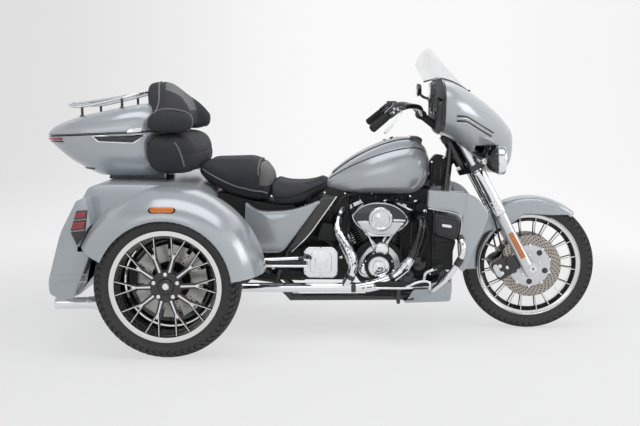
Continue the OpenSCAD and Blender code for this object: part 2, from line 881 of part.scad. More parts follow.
module front_calipers() {
  color(black) both_sides() difference() {
    in_fork() {
      translate([-110, 58, 10]) cube([100, 42, 100]);
      translate([-40, 88, 20]) cube([60, 26, 70]);
    }
    in_fork() translate([fork_offset, leg_y, -60]) cylinder(r = leg_r, h = 400);
    disc(front_at, front_disc_r + disc_room + 1, 62, 77);
    disc(front_at, 102, 50, 77);
  }
}

// Section of the front fender: an arch over the tyre with skirts down to a given radius
function front_fender_section(edge) = let (w = front_tyre_w/2 + 12, r = front_tyre_r) [
  [edge, -w], [r - 10, -w], [r + 8, -w*0.82], [r + 17, -w*0.4], [r + 19, 0],
  [r + 17, w*0.4], [r + 8, w*0.82], [r - 10, w], [edge, w], [edge, w - 4], [r - 12, w - 4],
  [r + 4, w*0.78], [r + 12, w*0.4], [r + 14, 0], [r + 12, -w*0.4], [r + 4, -w*0.78],
  [r - 12, -w + 4], [edge, -w + 4]];

module front_fender() {
  color(paint) {
    wheel_turn(front_at, 50, 50) polygon(front_fender_section(front_tyre_r - 34));
    wheel_turn(front_at, 100, 84) polygon(front_fender_section(front_tyre_r - 58));
    // stays to the fork legs
    both_sides() in_fork() difference() {
      translate([fork_offset - 26, front_tyre_w/2 + 11, 264])
        cube([52, leg_y - front_tyre_w/2 - 30, 34]);
      translate([fork_offset, leg_y, 200]) cylinder(r = leg_r, h = 140);
    }
  }
}

function grip_start() = [tank_x - 193, bar_w/2 - 58, 1068];
function grip_end() = [tank_x - 278, bar_w/2 - 10, 998];

module handlebar() {
  y = bar_w/2;
  color(black) {
    difference() {
      both_sides() {
        run([[tank_x - 36, 0, 1046], [tank_x - 36, 90, 1046], [tank_x - 60, y*0.55, 1086],
          [tank_x - 120, y*0.78, 1096], grip_start(), grip_end()], 12.7);
        bar([tank_x - 36, 60, 1046], fork_point([0, 60, upper_yoke_z + 14]), 18);
        // switch housing and lever
        translate(grip_start()) rotate([0, 40, 0]) cube([54, 46, 46], center = true);
      }
      bar_trim();
      yoke_plates();
    }
  }
  color(steel) both_sides()
    run([grip_start() + [40, 0, 6], grip_start() + [22, 44, -30], grip_end() + [52, 26, -20]], 6);
}

// What the bar is cut back by at the grips' outer ends
module bar_trim() {
  both_sides() bar(grip_end() + (grip_end() - grip_start()), grip_end(), 30);
}

module grips() {
  a = grip_start();
  b = grip_end();
  color(rubber_black) both_sides() difference() {
    bar(a + (b - a)*0.3, b + (b - a)*0.03, 18);
    bar(a, b, 12.7);
  }
}

function fairing_stations(t) = let (w = fairing_w/2, x = tank_x + 39) [
  [x + 0, 0, w - t, 955 + t, 1080, 1225 - t, 0.8, 0.66],
  [x + 55, 0, w*0.976 - t, 930 + t, 1064, 1205 - t, 0.85, 0.68],
  [x + 115, 0, w*0.90 - t, 880 + t, 1040, 1174 - t, 1.0, 0.7],
  [x + 175, 0, w*0.78 - t, 815 + t, 1012, 1137 - t, 1.15, 0.72],
  [x + 245, 0, w*0.61 - t, 772 + t, 980, 1087 - t, 1.2, 0.78],
  [x + 305, 0, w*0.45 - t, 768 + t, 940, 1032 - t, 1.05, 0.82],
  [x + 345 - t/2, 0, w*0.30 - t, 802 + t, 915, 984 - t, 0.95, 0.88],
  [x + 359 - t, 0, w*0.15 - t/2, 862 + t/2, 912, 952 - t/2, 0.9, 0.9]];

module fairing_openings() {
  x = tank_x + 39;
  // room for the steering head and the fork
  translate([x - 20, -leg_y - 50, 700]) cube([240, 2*leg_y + 100, 330]);
  // headlamp's seat, and the passing lamps' bays with their brackets' ways in
  translate([x + 296, 0, lamp_z]) rotate([0, 90, 0]) cylinder(r = lamp_r, h = 90);
  both_sides() translate([x + 208, 242, 843]) rotate([0, 90, 0]) cylinder(r = 70, h = 90);
  lamp_brackets(3);
}

module fairing() {
  s = fairing_stations(5);
  back = s[0];
  color(paint) difference() {
    loft_x(fairing_stations(0), 32, 2);
    loft_x(concat([[back[0] - 10, 0, back[2], back[3], back[4], back[5], 0.8, 0.66]], s), 32, 2);
    fairing_openings();
  }
}

module inner_fairing() {
  s = fairing_stations(1)[0];
  x = tank_x + 39;
  color(black) difference() {
    translate([x, 0, 0]) mirror([1, 0, 0]) rotate([90, 0, 90]) linear_extrude(height = 12)
      polygon([for (p = ring_x(s, 32)) [p[1], p[2]]]);
    translate([x - 20, -leg_y - 50, 700]) cube([240, 2*leg_y + 100, 330]);
  }
  color(steel) for (g = [[-90, 1100, 44], [90, 1100, 44], [-200, 1096, 26], [200, 1096, 26]])
    translate([x - 18, g[0], g[1]]) rotate([0, 90, 0]) cylinder(r = g[2], h = 6);
}

// Thin closed ring of the windscreen at a height u from 0 to 1
function screen_ring(u) = let (
    n = 10, t = 4, w = fairing_w*(0.40 - 0.19*u*u), x0 = tank_x + 212 - 214*u, z0 = 1126 + 240*u,
    bow = 150 - 78*u, drop = 20 + 26*u,
    front = [for (i = [-n:n]) let (k = i/n) [x0 - bow*k*k, w*k, z0 - drop*k*k]],
    rear = [for (i = [n:-1:-n]) let (k = i/n) [x0 - t - bow*k*k, w*k, z0 - drop*k*k - t*0.6]])
  concat(front, rear);

module windscreen() {
  b = fairing_stations(0)[0];
  color([0.8, 0.9, 0.95, 0.4]) difference() {
    skin([for (u = [0:0.2:1]) screen_ring(u)]);
    loft_x(concat([[b[0] - 100, 0, b[2], b[3], b[4], b[5], 0.8, 0.66]], fairing_stations(0)), 32, 2);
  }
}

// Brackets from the lower yoke out to the passing lamps
module lamp_brackets(grow = 0) {
  x = tank_x + 39;
  both_sides() run([fork_point([fork_offset + 34, leg_y + 32, lower_yoke_z]), [x + 190, 200, 836],
    [x + 216, 242, 843]], 9 + grow);
}

module lamps() {
  x = tank_x + 39;
  color(shiny) translate([x + 300, 0, lamp_z]) rotate([0, 90, 0]) {
    cylinder(r = lamp_r, h = 48);
    intersection() {
      translate([0, 0, -138]) sphere(r = 200);
      cylinder(r = lamp_r - 6, h = 70);
    }
  }
  // passing lamps on their bar
  color(black) {
    both_sides() {
      translate([x + 212, 242, 843]) rotate([0, 90, 0]) cylinder(r1 = 40, r2 = 62, h = 50);
      translate([x + 262, 242, 843]) rotate([0, 90, 0]) cylinder(r = 66, h = 32);
    }
    difference() {
      lamp_brackets();
      yoke_plates();
    }
  }
}

module mirrors() {
  color(black) both_sides() {
    translate([tank_x - 18, fairing_w/2 - 15, 1165]) rotate([0, 90, 0])
      cylinder(r1 = 34, r2 = 46, h = 26, center = true);
    difference() {
      bar([tank_x - 18, fairing_w/2 - 15, 1150], [tank_x + 31, fairing_w/2 - 48, 1116], 8);
      translate([tank_x + 27, 0, 1000]) cube([40, 600, 200]);
    }
  }
}

// --- wheels ---

// Point of a tyre's wall at a share k of the way from its crown (0) to a bead (-1 or 1)
function tyre_point(k, y, r, w, rim_r, rim_half, e) = let (a = 90*(1 - pow(1 - abs(k), 2)))
  [rim_r - bead_depth + (r - rim_r + bead_depth - e)*pow(cos(a), 0.42),
   y + sign(k)*(w/2 - e)*pow(sin(a), 0.75)*(1 - (1 - (rim_half - 6)/(w/2))*pow(a/90, 6))];

// Hollow tyre, open towards the rim, with its beads on the rim's seats
module tyre(at, y, r, w, rim_r, rim_half) {
  n = 12;
  color(rubber_black) difference() {
    wheel_turn(at) polygon(concat(
      [for (i = [-n:n]) tyre_point(i/n, y, r, w, rim_r, rim_half, 0)],
      [for (i = [n:-1:-n]) tyre_point(i/n, y, r, w, rim_r, rim_half, tyre_wall)]));
    for (side = [-1, 1]) wheel_turn(at)
      translate([rim_r - bead_depth - 1, y + side*(rim_half - 2.5) - 2.5]) square([bead_depth + 1, 5]);
  }
}

// Rim: barrel with two lips, joined to its hub by split spokes
module rim(at, y, r, bw, face, hub_r, hub_in, hub_out, bore) {
  seat = r - bead_depth;
  color(shiny) difference() {
    union() {
      wheel_turn(at) polygon([[seat - 4, y - bw], [r, y - bw], [r, y - bw + 5], [seat, y - bw + 5],
        [seat, y - bw + 18], [r - 30, y - bw*0.4], [r - 30, y + bw*0.4], [seat, y + bw - 18],
        [seat, y + bw - 5], [r, y + bw - 5], [r, y + bw], [seat - 4, y + bw],
        [r - 38, y + bw*0.5], [r - 38, y - bw*0.5]]);
      disc(at, hub_r, hub_in, hub_out);
      for (i = [0:spokes - 1]) translate([at[0], face, at[1]])
        rotate([0, 360*i/spokes, 0]) rotate([90, 0, 0]) linear_extrude(height = 20, center = true)
          spoke_outline(hub_r, r - 32);
    }
    disc(at, bore, hub_in - 1, hub_out + 1);
  }
}

// One spoke: a single leg from the hub that splits in two before the barrel
module spoke_outline(from, to) {
  fork = from + (to - from)*0.42;
  polygon([[from - 6, -9], [fork, -8], [to + 4, -34], [to + 4, -22], [fork + 22, 0],
    [to + 4, 22], [to + 4, 34], [fork, 8], [from - 6, 9]]);
}

module ring_disc(at, r_out, r_in, y0, y1) {
  color(steel) difference() {
    disc(at, r_out, y0, y1);
    disc(at, r_in, y0 - 1, y1 + 1);
  }
}

module front_tyre() {
  tyre(front_at, 0, front_tyre_r, front_tyre_w, front_rim_r, front_rim_half);
}

module front_rim() {
  rim(front_at, 0, front_rim_r, front_rim_half, 0, 40, -60, 60, front_axle_r + play);
}

module front_discs() {
  both_sides() {
    ring_disc(front_at, front_disc_r, 92, 67, 72);
    ring_disc(front_at, 96, front_axle_r + play, 60, 67);
  }
}

// A rear wheel's pieces, on the left at side 1 and on the right at side -1
module rear_tyre(side) {
  tyre(rear_at, side*wheel_y, rear_tyre_r, rear_tyre_w, rear_rim_r, rear_rim_half);
}

module rear_rim(side) {
  face = side*(wheel_y + 62);
  hub = [wheel_y - 16, wheel_y + 76];
  rim(rear_at, side*wheel_y, rear_rim_r, rear_rim_half, face, 58,
    side > 0 ? hub[0] : -hub[1], side > 0 ? hub[1] : -hub[0], shaft_r);
}

module rear_disc(side) {
  a = side*(wheel_y - rear_disc_in);
  ring_disc(rear_at, rear_disc_r, 52, min(a, a + side*7), max(a, a + side*7));
  color(steel) {
    disc(rear_at, shaft_r, side > 0 ? wheel_y - 140 : -wheel_y - 76,
      side > 0 ? wheel_y + 76 : 140 - wheel_y);
    disc(rear_at, 60, min(a, a + side*46), max(a, a + side*46));
  }
}

module right_tyre() { rear_tyre(-1); }
module right_rim() { rear_rim(-1); }
module right_disc() { rear_disc(-1); }
module left_tyre() { rear_tyre(1); }
module left_rim() { rear_rim(1); }
module left_disc() { rear_disc(1); }

frame();
engine_case();
cylinders();
air_cleaner();
gearbox();
primary_cover();
exhaust_pipes();
mufflers();
fuel_tank();
tank_console();
fuel_door();
rider_seat();
pillion_seat();
seat_base();
side_covers();
lower_fairings();
glove_boxes();
engine_guard();
chin_spoiler();
oil_cooler();
floorboards();
rear_axle();
trunk();
trunk_door();
rear_fenders();
tail_lights();
top_case();
lower_back_pad();
top_case_lid();
upper_back_pad();
luggage_rack();
fork_yokes();
fork_legs();
front_calipers();
front_fender();
handlebar();
grips();
fairing();
inner_fairing();
windscreen();
lamps();
mirrors();
front_tyre();
front_rim();
front_discs();
right_tyre();
right_rim();
right_disc();
left_tyre();
left_rim();
left_disc();
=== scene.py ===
"""Looks of a touring motor trike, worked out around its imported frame.

Lengths inside the shape functions are millimetres in the trike's own frame: +X forward, +Y to the
rider's left, +Z up. Surfaces turn into meshes in metres when they are finished.
"""
import json
import math

import bmesh
import bpy
import numpy as np
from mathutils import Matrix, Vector
from mathutils.bvhtree import BVHTree


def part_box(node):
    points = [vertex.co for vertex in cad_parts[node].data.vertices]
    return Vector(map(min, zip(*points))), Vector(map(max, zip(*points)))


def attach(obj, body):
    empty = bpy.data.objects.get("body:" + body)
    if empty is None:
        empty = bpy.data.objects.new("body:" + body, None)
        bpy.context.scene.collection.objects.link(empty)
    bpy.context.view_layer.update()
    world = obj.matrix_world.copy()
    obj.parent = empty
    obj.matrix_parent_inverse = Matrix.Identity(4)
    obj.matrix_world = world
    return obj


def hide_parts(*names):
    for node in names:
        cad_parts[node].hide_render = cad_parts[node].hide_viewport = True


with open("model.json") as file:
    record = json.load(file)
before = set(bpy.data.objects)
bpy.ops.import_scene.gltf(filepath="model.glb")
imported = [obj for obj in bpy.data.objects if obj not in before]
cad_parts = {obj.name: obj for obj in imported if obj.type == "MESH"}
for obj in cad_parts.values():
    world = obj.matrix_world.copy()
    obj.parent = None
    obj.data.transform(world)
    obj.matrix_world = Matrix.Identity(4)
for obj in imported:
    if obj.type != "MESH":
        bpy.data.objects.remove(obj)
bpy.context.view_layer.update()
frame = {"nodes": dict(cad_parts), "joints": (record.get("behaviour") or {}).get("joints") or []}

bl_info = {
    "name": "Touring trike looks",
    "version": (1, 0, 0),
    "blender": (4, 5, 0),
    "location": "3D View > Sidebar > Trike",
    "description": "Builds the bodywork, wheels, engine, seats and fittings of a touring motor trike",
    "category": "Object",
}

MM = 0.001
JOINTS = {j["name"]: j for j in frame["joints"]}


def joint_point(name):
    """A joint's place in millimetres."""
    return np.array(JOINTS[name]["pos_m"], float) / MM


def node_box(name):
    """Lowest and highest corner of a CAD node in millimetres."""
    low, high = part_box(name)
    return np.array(low) / MM, np.array(high) / MM


# Places that every piece is built from, read from the frame
FRONT_X, _, FRONT_Z = joint_point("front_wheel_spin")
REAR_X, _, REAR_Z = joint_point("right_wheel_spin")
WHEEL_Y = joint_point("left_wheel_spin")[1]
FOOT = joint_point("steering")
RAKE = math.asin(-JOINTS["steering"]["axis"][0])
TANK_X = node_box("fuel_tank")[1][0]
TANK_W = node_box("fuel_tank")[1][1] * 2
CRANK = np.array([REAR_X + 934, 0, 332])
BODY_HALF = node_box("rear_fenders")[1][1]
FRONT_R = (node_box("front_tyre")[1] - node_box("front_tyre")[0])[0] / 2
FRONT_W = (node_box("front_tyre")[1] - node_box("front_tyre")[0])[1]
REAR_R = (node_box("left_tyre")[1] - node_box("left_tyre")[0])[0] / 2
REAR_W = (node_box("left_tyre")[1] - node_box("left_tyre")[0])[1]
FRONT_RIM = (node_box("front_rim")[1] - node_box("front_rim")[0])[0] / 2
REAR_RIM = (node_box("left_rim")[1] - node_box("left_rim")[0])[0] / 2
FAIRING_HALF = node_box("fairing")[1][1]
FAIRING_X = TANK_X + 39
SEAT_X = TANK_X - 490
SEAT_HALF = node_box("pillion_seat")[1][1] / 0.99
CASE_HALF = 303.0
CASE_X = joint_point("case_lid_hinge")[0]
CASE_BASE, SEAM_Z, SEAM_SLOPE = 768.0, 965.0, 0.044
WELL_Y = BODY_HALF - REAR_W - 44
TAIL_Y = WELL_Y + 90
ARCH_R, CROWN_R, LIP_R = REAR_R + 23, REAR_R + 102, REAR_R - 25
DOOR_HINGE = np.array([REAR_X - 531, 0, 387])
HEADLAMP = np.array([0, 905.0])  # y and z of its middle
LAMP_BAY = np.array([242.0, 843.0])  # y and z of the left passing lamp
HEADLAMP_HOLE, BAY_HOLE, NECK_HALF = 86, 71, 168
LEG_Y = 118.0
FORK_OFFSET = 43.0
YOKES = (560.0, 735.0)


# ------------------------------------------------------------------ shapes

def spow(v, e):
    """Signed power, for superellipses."""
    return np.sign(v) * np.abs(v) ** e


def xyz(x, y, z):
    """Points from three coordinates of shapes that fit one another."""
    return np.stack(np.broadcast_arrays(x, y, z), -1)


def at_x(x, points):
    """Points moved along X."""
    p = np.array(points, float)
    p[:, 0] += x
    return p


def circle(n):
    """Angles of n even steps round a circle."""
    return np.linspace(0, 2 * np.pi, n + 1)[:-1]


def oblong(x0, z0, x1, z1):
    """Corners of an upright rectangle."""
    return [(x0, z0), (x1, z0), (x1, z1), (x0, z1)]


def rod(r, low, high, dr, dh):
    """Profile of a solid round bar whose edges are cut back by dr across and dh along."""
    return [(0, low), (r - dr, low), (r, low + dh), (r, high - dh), (r - dr, high), (0, high)]


def flow(rows, k):
    """Smooth curve through rows of numbers: k steps of a Catmull-Rom cubic between each pair."""
    s = np.asarray(rows, float)
    m = len(s)
    i = np.arange(m - 1)
    a, b, c, d = (s[np.clip(i + o, 0, m - 1)][:, None, :] for o in (-1, 0, 1, 2))
    t = (np.arange(k) / k)[None, :, None]
    body = 0.5 * (2 * b + (c - a) * t + (2 * a - 5 * b + 4 * c - d) * t ** 2
                  + (3 * b - a - 3 * c + d) * t ** 3)
    return np.vstack([body.reshape(-1, s.shape[1]), s[-1:]])


def flow_at(rows, where):
    """Rows read at a value of their first column, linear between close steps of the smooth curve."""
    s = flow(rows, 24)
    order = np.argsort(s[:, 0])
    return np.stack([np.interp(where, s[order, 0], s[order, c]) for c in range(s.shape[1])], -1)


def rings_x(s, n):
    """Superellipse rings across X: y = middle + w cos^e a, z = widest + (high or low side) sin^e a.
    Columns: x, middle y, half width, low z, widest z, high z, low power, high power."""
    a = 2 * np.pi * np.arange(n) / n
    c, v = np.cos(a)[None], np.sin(a)[None]
    s = np.asarray(s, float)[:, :, None]
    e = np.where(v < 0, s[:, 6], s[:, 7])
    z = s[:, 4] + np.where(v < 0, s[:, 4] - s[:, 3], s[:, 5] - s[:, 4]) * spow(v, e)
    return xyz(s[:, 0], s[:, 1] + s[:, 2] * spow(c, e), z)


def rings_z(s, n):
    """Superellipse rings across Z: x = middle + l cos^e a, y = w sin^e a, z rises with x.
    Columns: z, middle x, half length, half width, power, rise."""
    a = 2 * np.pi * np.arange(n) / n
    s = np.asarray(s, float)[:, :, None]
    x = s[:, 2] * spow(np.cos(a)[None], s[:, 4])
    return xyz(s[:, 1] + x, s[:, 3] * spow(np.sin(a)[None], s[:, 4]), s[:, 0] + s[:, 5] * x)


def rings_y(s, n):
    """Superellipse rings across Y, leaning with height. Columns: y, back x, front x, low z, high z, power, lean."""
    a = 2 * np.pi * np.arange(n) / n
    s = np.asarray(s, float)[:, :, None]
    z = (s[:, 4] - s[:, 3]) / 2 * spow(np.cos(a)[None], s[:, 5])
    x = (s[:, 1] + s[:, 2]) / 2 + (s[:, 2] - s[:, 1]) / 2 * spow(np.sin(a)[None], s[:, 5]) + s[:, 6] * z
    return xyz(x, s[:, 0], (s[:, 3] + s[:, 4]) / 2 + z)


def round_outline(points, r, steps=5):
    """Closed outline with each corner turned into a quadratic arc that starts r before it."""
    p = np.asarray(points, float)
    r = np.broadcast_to(np.asarray(r, float), (len(p),))
    before, after = np.roll(p, 1, 0) - p, np.roll(p, -1, 0) - p
    la, lb = np.linalg.norm(before, axis=1), np.linalg.norm(after, axis=1)
    a = p + before / la[:, None] * np.minimum(r, la * 0.48)[:, None]
    b = p + after / lb[:, None] * np.minimum(r, lb * 0.48)[:, None]
    t = np.linspace(0, 1, steps)[None, :, None]
    return ((1 - t) ** 2 * a[:, None] + 2 * t * (1 - t) * p[:, None] + t ** 2 * b[:, None]).reshape(-1, 2)


def inset(p, d):
    """Closed outline moved inwards by d along its corner normals; counter-clockwise outlines shrink."""
    e = np.roll(p, -1, 0) - p
    e = e / np.maximum(np.linalg.norm(e, axis=1, keepdims=True), 1e-9)
    n = np.stack([-e[:, 1], e[:, 0]], 1)
    m = n + np.roll(n, 1, 0)
    m = m / np.maximum((m * m).sum(1, keepdims=True), 0.6) * 2
    return p + m * d * 0.5


def area(p):
    """Signed area of an outline."""
    q = np.roll(p, -1, 0)
    return 0.5 * (p[:, 0] * q[:, 1] - q[:, 0] * p[:, 1]).sum()


def bent_line(points, r, steps=8):
    """Line through points whose corners are quadratic arcs that start r before them."""
    p = np.asarray(points, float)
    if len(p) < 3:
        return p
    mid = p[1:-1]
    before, after = p[:-2] - mid, p[2:] - mid
    la, lb = np.linalg.norm(before, axis=1), np.linalg.norm(after, axis=1)
    a = mid + before / la[:, None] * np.minimum(r, la * 0.48)[:, None]
    b = mid + after / lb[:, None] * np.minimum(r, lb * 0.48)[:, None]
    t = np.linspace(0, 1, steps)[None, :, None]
    arcs = (1 - t) ** 2 * a[:, None] + 2 * t * (1 - t) * mid[:, None] + t ** 2 * b[:, None]
    return np.vstack([p[:1], arcs.reshape(-1, 3), p[-1:]])


def carried_axes(path):
    """Tangent and two side directions at each point of a line, turned as little as possible along it."""
    t = np.gradient(path, axis=0)
    t /= np.maximum(np.linalg.norm(t, axis=1, keepdims=True), 1e-9)
    side = np.cross(t[0], [0, 0, 1.0])
    if np.linalg.norm(side) < 1e-3:
        side = np.cross(t[0], [0, 1.0, 0])
    sides = [side / np.linalg.norm(side)]
    for k in range(1, len(path)):
        s = sides[-1] - t[k] * (sides[-1] @ t[k])
        sides.append(s / np.linalg.norm(s))
    sides = np.array(sides)
    return t, sides, np.cross(t, sides)


def in_fork(p):
    """Points of the fork's own frame (x ahead of the steering axis, z along it) in the trike's frame."""
    p = np.asarray(p, float)
    c, s = math.cos(RAKE), math.sin(RAKE)
    return xyz(FOOT[0] + p[..., 0] * c - p[..., 2] * s, p[..., 1], FOOT[2] + p[..., 0] * s + p[..., 2] * c)


def turned(p, centre, degrees, axis="y"):
    """Points turned about a line through centre along Y (from +X towards -Z), X or Z."""
    a = math.radians(degrees)
    c, s = math.cos(a), math.sin(a)
    m = {"y": [[c, 0, s], [0, 1, 0], [-s, 0, c]], "x": [[1, 0, 0], [0, c, -s], [0, s, c]],
         "z": [[c, -s, 0], [s, c, 0], [0, 0, 1]]}[axis]
    return (np.asarray(p, float) - centre) @ np.array(m).T + centre


class Shape:
    """Surfaces that make up one piece: points in millimetres, faces, and the finish of each face."""

    def __init__(self):
        self.points, self.faces, self.marks, self.count = [], [], [], 0

    def add(self, points, faces, mark=0):
        """Takes in points and a table of faces that index them."""
        points = np.asarray(points, float).reshape(-1, 3)
        self.points.append(points)
        self.faces.append(np.asarray(faces) + self.count)
        self.marks.append(np.full(len(faces), mark))
        self.count += len(points)
        return self

    def grid(self, p, mark=0, wrap=False, loop=False, flip=False, keep=None, ends=False):
        """Surface over a grid of points p[u, v]; wrap closes v, loop closes u, keep masks its cells,
        and ends closes the first and the last row of a wrapped grid with a fan to its middle."""
        p = np.asarray(p, float)
        nu, nv = p.shape[:2]
        i = np.arange(nu if loop else nu - 1)[:, None]
        j = np.arange(nv if wrap else nv - 1)[None]
        i2, j2 = (i + 1) % nu, (j + 1) % nv
        quads = np.stack([i * nv + j, i * nv + j2, i2 * nv + j2, i2 * nv + j], -1)
        quads = quads[keep] if keep is not None else quads.reshape(-1, 4)
        self.add(p, quads[:, ::-1] if flip else quads, mark)
        if ends:
            for row, back in ((0, False), (nu - 1, True)):
                ring = p[row]
                k = np.arange(nv)
                fan = np.stack([k, (k + 1) % nv, np.full(nv, nv)], 1)
                fan = fan[:, ::-1] if back == flip else fan
                self.add(np.vstack([ring, ring.mean(0)]), fan[:, ::-1], mark)
        return self

    def lathe(self, at, profile, n=64, mark=0, axis="y", start=0, turn=360, loop=False):
        """Profile of (radius, distance along the axis) carried round a line through at along an axis."""
        r, h = np.asarray(profile, float).T
        full = turn >= 360
        a = np.radians(start + turn * np.arange(n if full else n + 1) / n)
        c, s = np.cos(a)[None], np.sin(a)[None]
        r, h = r[:, None], h[:, None] + 0 * c
        ring = {"y": (r * c, h, r * s), "x": (h, r * c, r * s), "z": (r * c, r * s, h)}[axis]
        return self.grid(np.stack(ring, -1) + np.asarray(at, float), mark, wrap=full, loop=loop, flip=axis != "y")

    def sweep(self, path, r, n=16, mark=0, squash=1.0, round_ends=True):
        """Circle of radius r (one number or one a point) carried along a line; its ends are domes."""
        path = np.asarray(path, float)
        r = np.broadcast_to(np.asarray(r, float), (len(path),)).copy()
        t, u, v = carried_axes(path)
        if round_ends:
            k = np.sin(np.radians([8, 35, 60, 80]))[:, None]
            d = np.cos(np.radians([8, 35, 60, 80]))[:, None] * 0.5
            path = np.vstack([path[0] - t[0] * r[0] * d, path, path[-1] + t[-1] * r[-1] * d[::-1]])
            r = np.concatenate([r[0] * k[:, 0], r, r[-1] * k[::-1, 0]])
            u = np.vstack([u[[0] * 4], u, u[[-1] * 4]])
            v = np.vstack([v[[0] * 4], v, v[[-1] * 4]])
        a = 2 * np.pi * np.arange(n) / n
        p = path[:, None] + r[:, None, None] * (np.cos(a)[None, :, None] * u[:, None]
                                                + squash * np.sin(a)[None, :, None] * v[:, None])
        return self.grid(p, mark, wrap=True, ends=True)

    def slab(self, outline, y0, y1, r=2.0, steps=3, mark=0, face=None, crown=0.0, to=None, groove=None):
        """Outline in X and Z carried from y0 to y1 with edges rounded by r; the y1 face may swell by
        crown towards its middle, and a groove of (inset, width, depth) may run round it. to maps the
        points at the end. The face takes its own finish."""
        p = np.asarray(outline, float)
        if area(p) < 0:
            p = p[::-1]
        a = np.linspace(0, np.pi / 2, steps + 1)
        sign = 1 if y1 > y0 else -1
        rows = [(r * (1 - math.sin(q)), y0 + sign * r * (1 - math.cos(q))) for q in a]
        rows += [(r * (1 - math.cos(q)), y1 - sign * r * (1 - math.sin(q))) for q in a]
        walls = np.array([np.insert(inset(p, d), 1, y, axis=1) for d, y in rows])
        middle = p.mean(0)
        top, face = inset(p, r), mark if face is None else face
        shares = np.linspace(1, 0.02, 9) if crown else np.array([1, 0.02])
        lid = []
        if groove:
            g, w, d = groove
            for k, (off, depth) in enumerate(((g, 0), (g + w * 0.2, d), (g + w * 0.8, d), (g + w, 0))):
                lid.append(np.insert(inset(p, r + off), 1, y1 - sign * depth, axis=1))
            top = inset(p, r + g + w)
        lid = [np.insert(inset(p, r), 1, y1, axis=1)] + lid + [
            np.insert(middle + (top - middle) * k, 1, y1 + sign * crown * (1 - k ** 2), axis=1)
            for k in shares[1:]]
        bottom = [np.insert(inset(p, r), 1, y0, axis=1),
                  np.insert(middle + (inset(p, r) - middle) * 0.02, 1, y0, axis=1)]
        for rows_, m, turn in ((walls, mark, False), (np.array(lid), face, False), (np.array(bottom), mark, True)):
            q = np.asarray(rows_) if to is None else to(np.asarray(rows_))
            self.grid(q, m, wrap=True, flip=(sign > 0) != turn)
        return self

    def plate(self, corners, radii, *where, **looks):
        """A slab whose outline has rounded corners."""
        return self.slab(round_outline(corners, radii), *where, **looks)

    def mirrored(self):
        """The same again on the other side of the middle plane."""
        pts, faces, marks = np.vstack(self.points), list(self.faces), list(self.marks)
        n = self.count
        self.points.append(pts * [1, -1, 1])
        for f, m in zip(faces, marks):
            self.faces.append(f[:, ::-1] + n)
            self.marks.append(m)
        self.count = 2 * n
        return self

    def move(self, to):
        """Passes every point through a function."""
        self.points = [to(p) for p in self.points]
        return self

    def join(self, other):
        """Takes in another shape's surfaces."""
        for f, m in zip(other.faces, other.marks):
            self.faces.append(f + self.count)
            self.marks.append(m)
        self.points += other.points
        self.count += other.count
        return self

    def piece(self, name, body, finishes, replaces=(), slot=None, sharp=38, wall=0.0, weld=True, outward=False):
        """The mesh object: points in metres, close points welded, flat or smooth by the angle between
        faces, an inner wall if asked, riding on a body."""
        mesh = bpy.data.meshes.new(name)
        co = np.vstack(self.points) * MM
        loops = np.concatenate([f.ravel() for f in self.faces])
        sizes = np.concatenate([np.full(len(f), f.shape[1]) for f in self.faces])
        mesh.vertices.add(len(co))
        mesh.vertices.foreach_set("co", co.ravel())
        mesh.loops.add(len(loops))
        mesh.loops.foreach_set("vertex_index", loops.astype(np.int32))
        mesh.polygons.add(len(sizes))
        mesh.polygons.foreach_set("loop_start", np.concatenate([[0], np.cumsum(sizes)[:-1]]).astype(np.int32))
        mesh.polygons.foreach_set("loop_total", sizes.astype(np.int32))
        mesh.polygons.foreach_set("material_index", np.concatenate(self.marks).astype(np.int32))
        mesh.update(calc_edges=True)
        mesh.validate()
        if weld or outward:
            bm = bmesh.new()
            bm.from_mesh(mesh)
            bmesh.ops.remove_doubles(bm, verts=bm.verts, dist=2e-5)
            if outward:
                bmesh.ops.recalc_face_normals(bm, faces=bm.faces)
            bm.to_mesh(mesh)
            bm.free()
        mesh.polygons.foreach_set("use_smooth", np.ones(len(mesh.polygons), bool))
        mesh.set_sharp_from_angle(angle=math.radians(sharp))
        for finish in (finishes if isinstance(finishes, (list, tuple)) else [finishes]):
            mesh.materials.append(finish)
        obj = bpy.data.objects.new(name, mesh)
        bpy.context.scene.collection.objects.link(obj)
        if wall:
            solid = obj.modifiers.new("wall", "SOLIDIFY")
            solid.thickness, solid.offset = wall * MM, -1
        if body:
            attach(obj, body)
        if replaces:
            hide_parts(*([replaces] if isinstance(replaces, str) else replaces))
        return obj


# ------------------------------------------------------------------ finishes

class Wire:
    """A node's output; arithmetic on it adds Math nodes."""

    def __init__(self, owner, socket):
        self.owner, self.socket = owner, socket

    def maths(self, operation, *values):
        return self.owner.node("ShaderNodeMath", {"operation": operation}, dict(enumerate(values)))

    def __add__(self, other):
        return self.maths("ADD", self, other)

    def __sub__(self, other):
        return self.maths("SUBTRACT", self, other)

    def __rsub__(self, other):
        return self.maths("SUBTRACT", other, self)

    def __mul__(self, other):
        return self.maths("MULTIPLY", self, other)

    def __truediv__(self, other):
        return self.maths("DIVIDE", self, other)

    def __pow__(self, other):
        return self.maths("POWER", self, other)

    def __gt__(self, other):
        return self.maths("GREATER_THAN", self, other)

    __radd__, __rmul__ = __add__, __mul__

    def call(self, operation, *values):
        """Another Math operation, such as SINE or FRACT, on this value."""
        return self.maths(operation, self, *values)

    def ease(self, low, high, start=0.0, end=1.0):
        """Smooth step from start at low to end at high."""
        return self.owner.node("ShaderNodeMapRange", {"interpolation_type": "SMOOTHSTEP"},
                               {"Value": self, "From Min": low, "From Max": high, "To Min": start, "To Max": end})


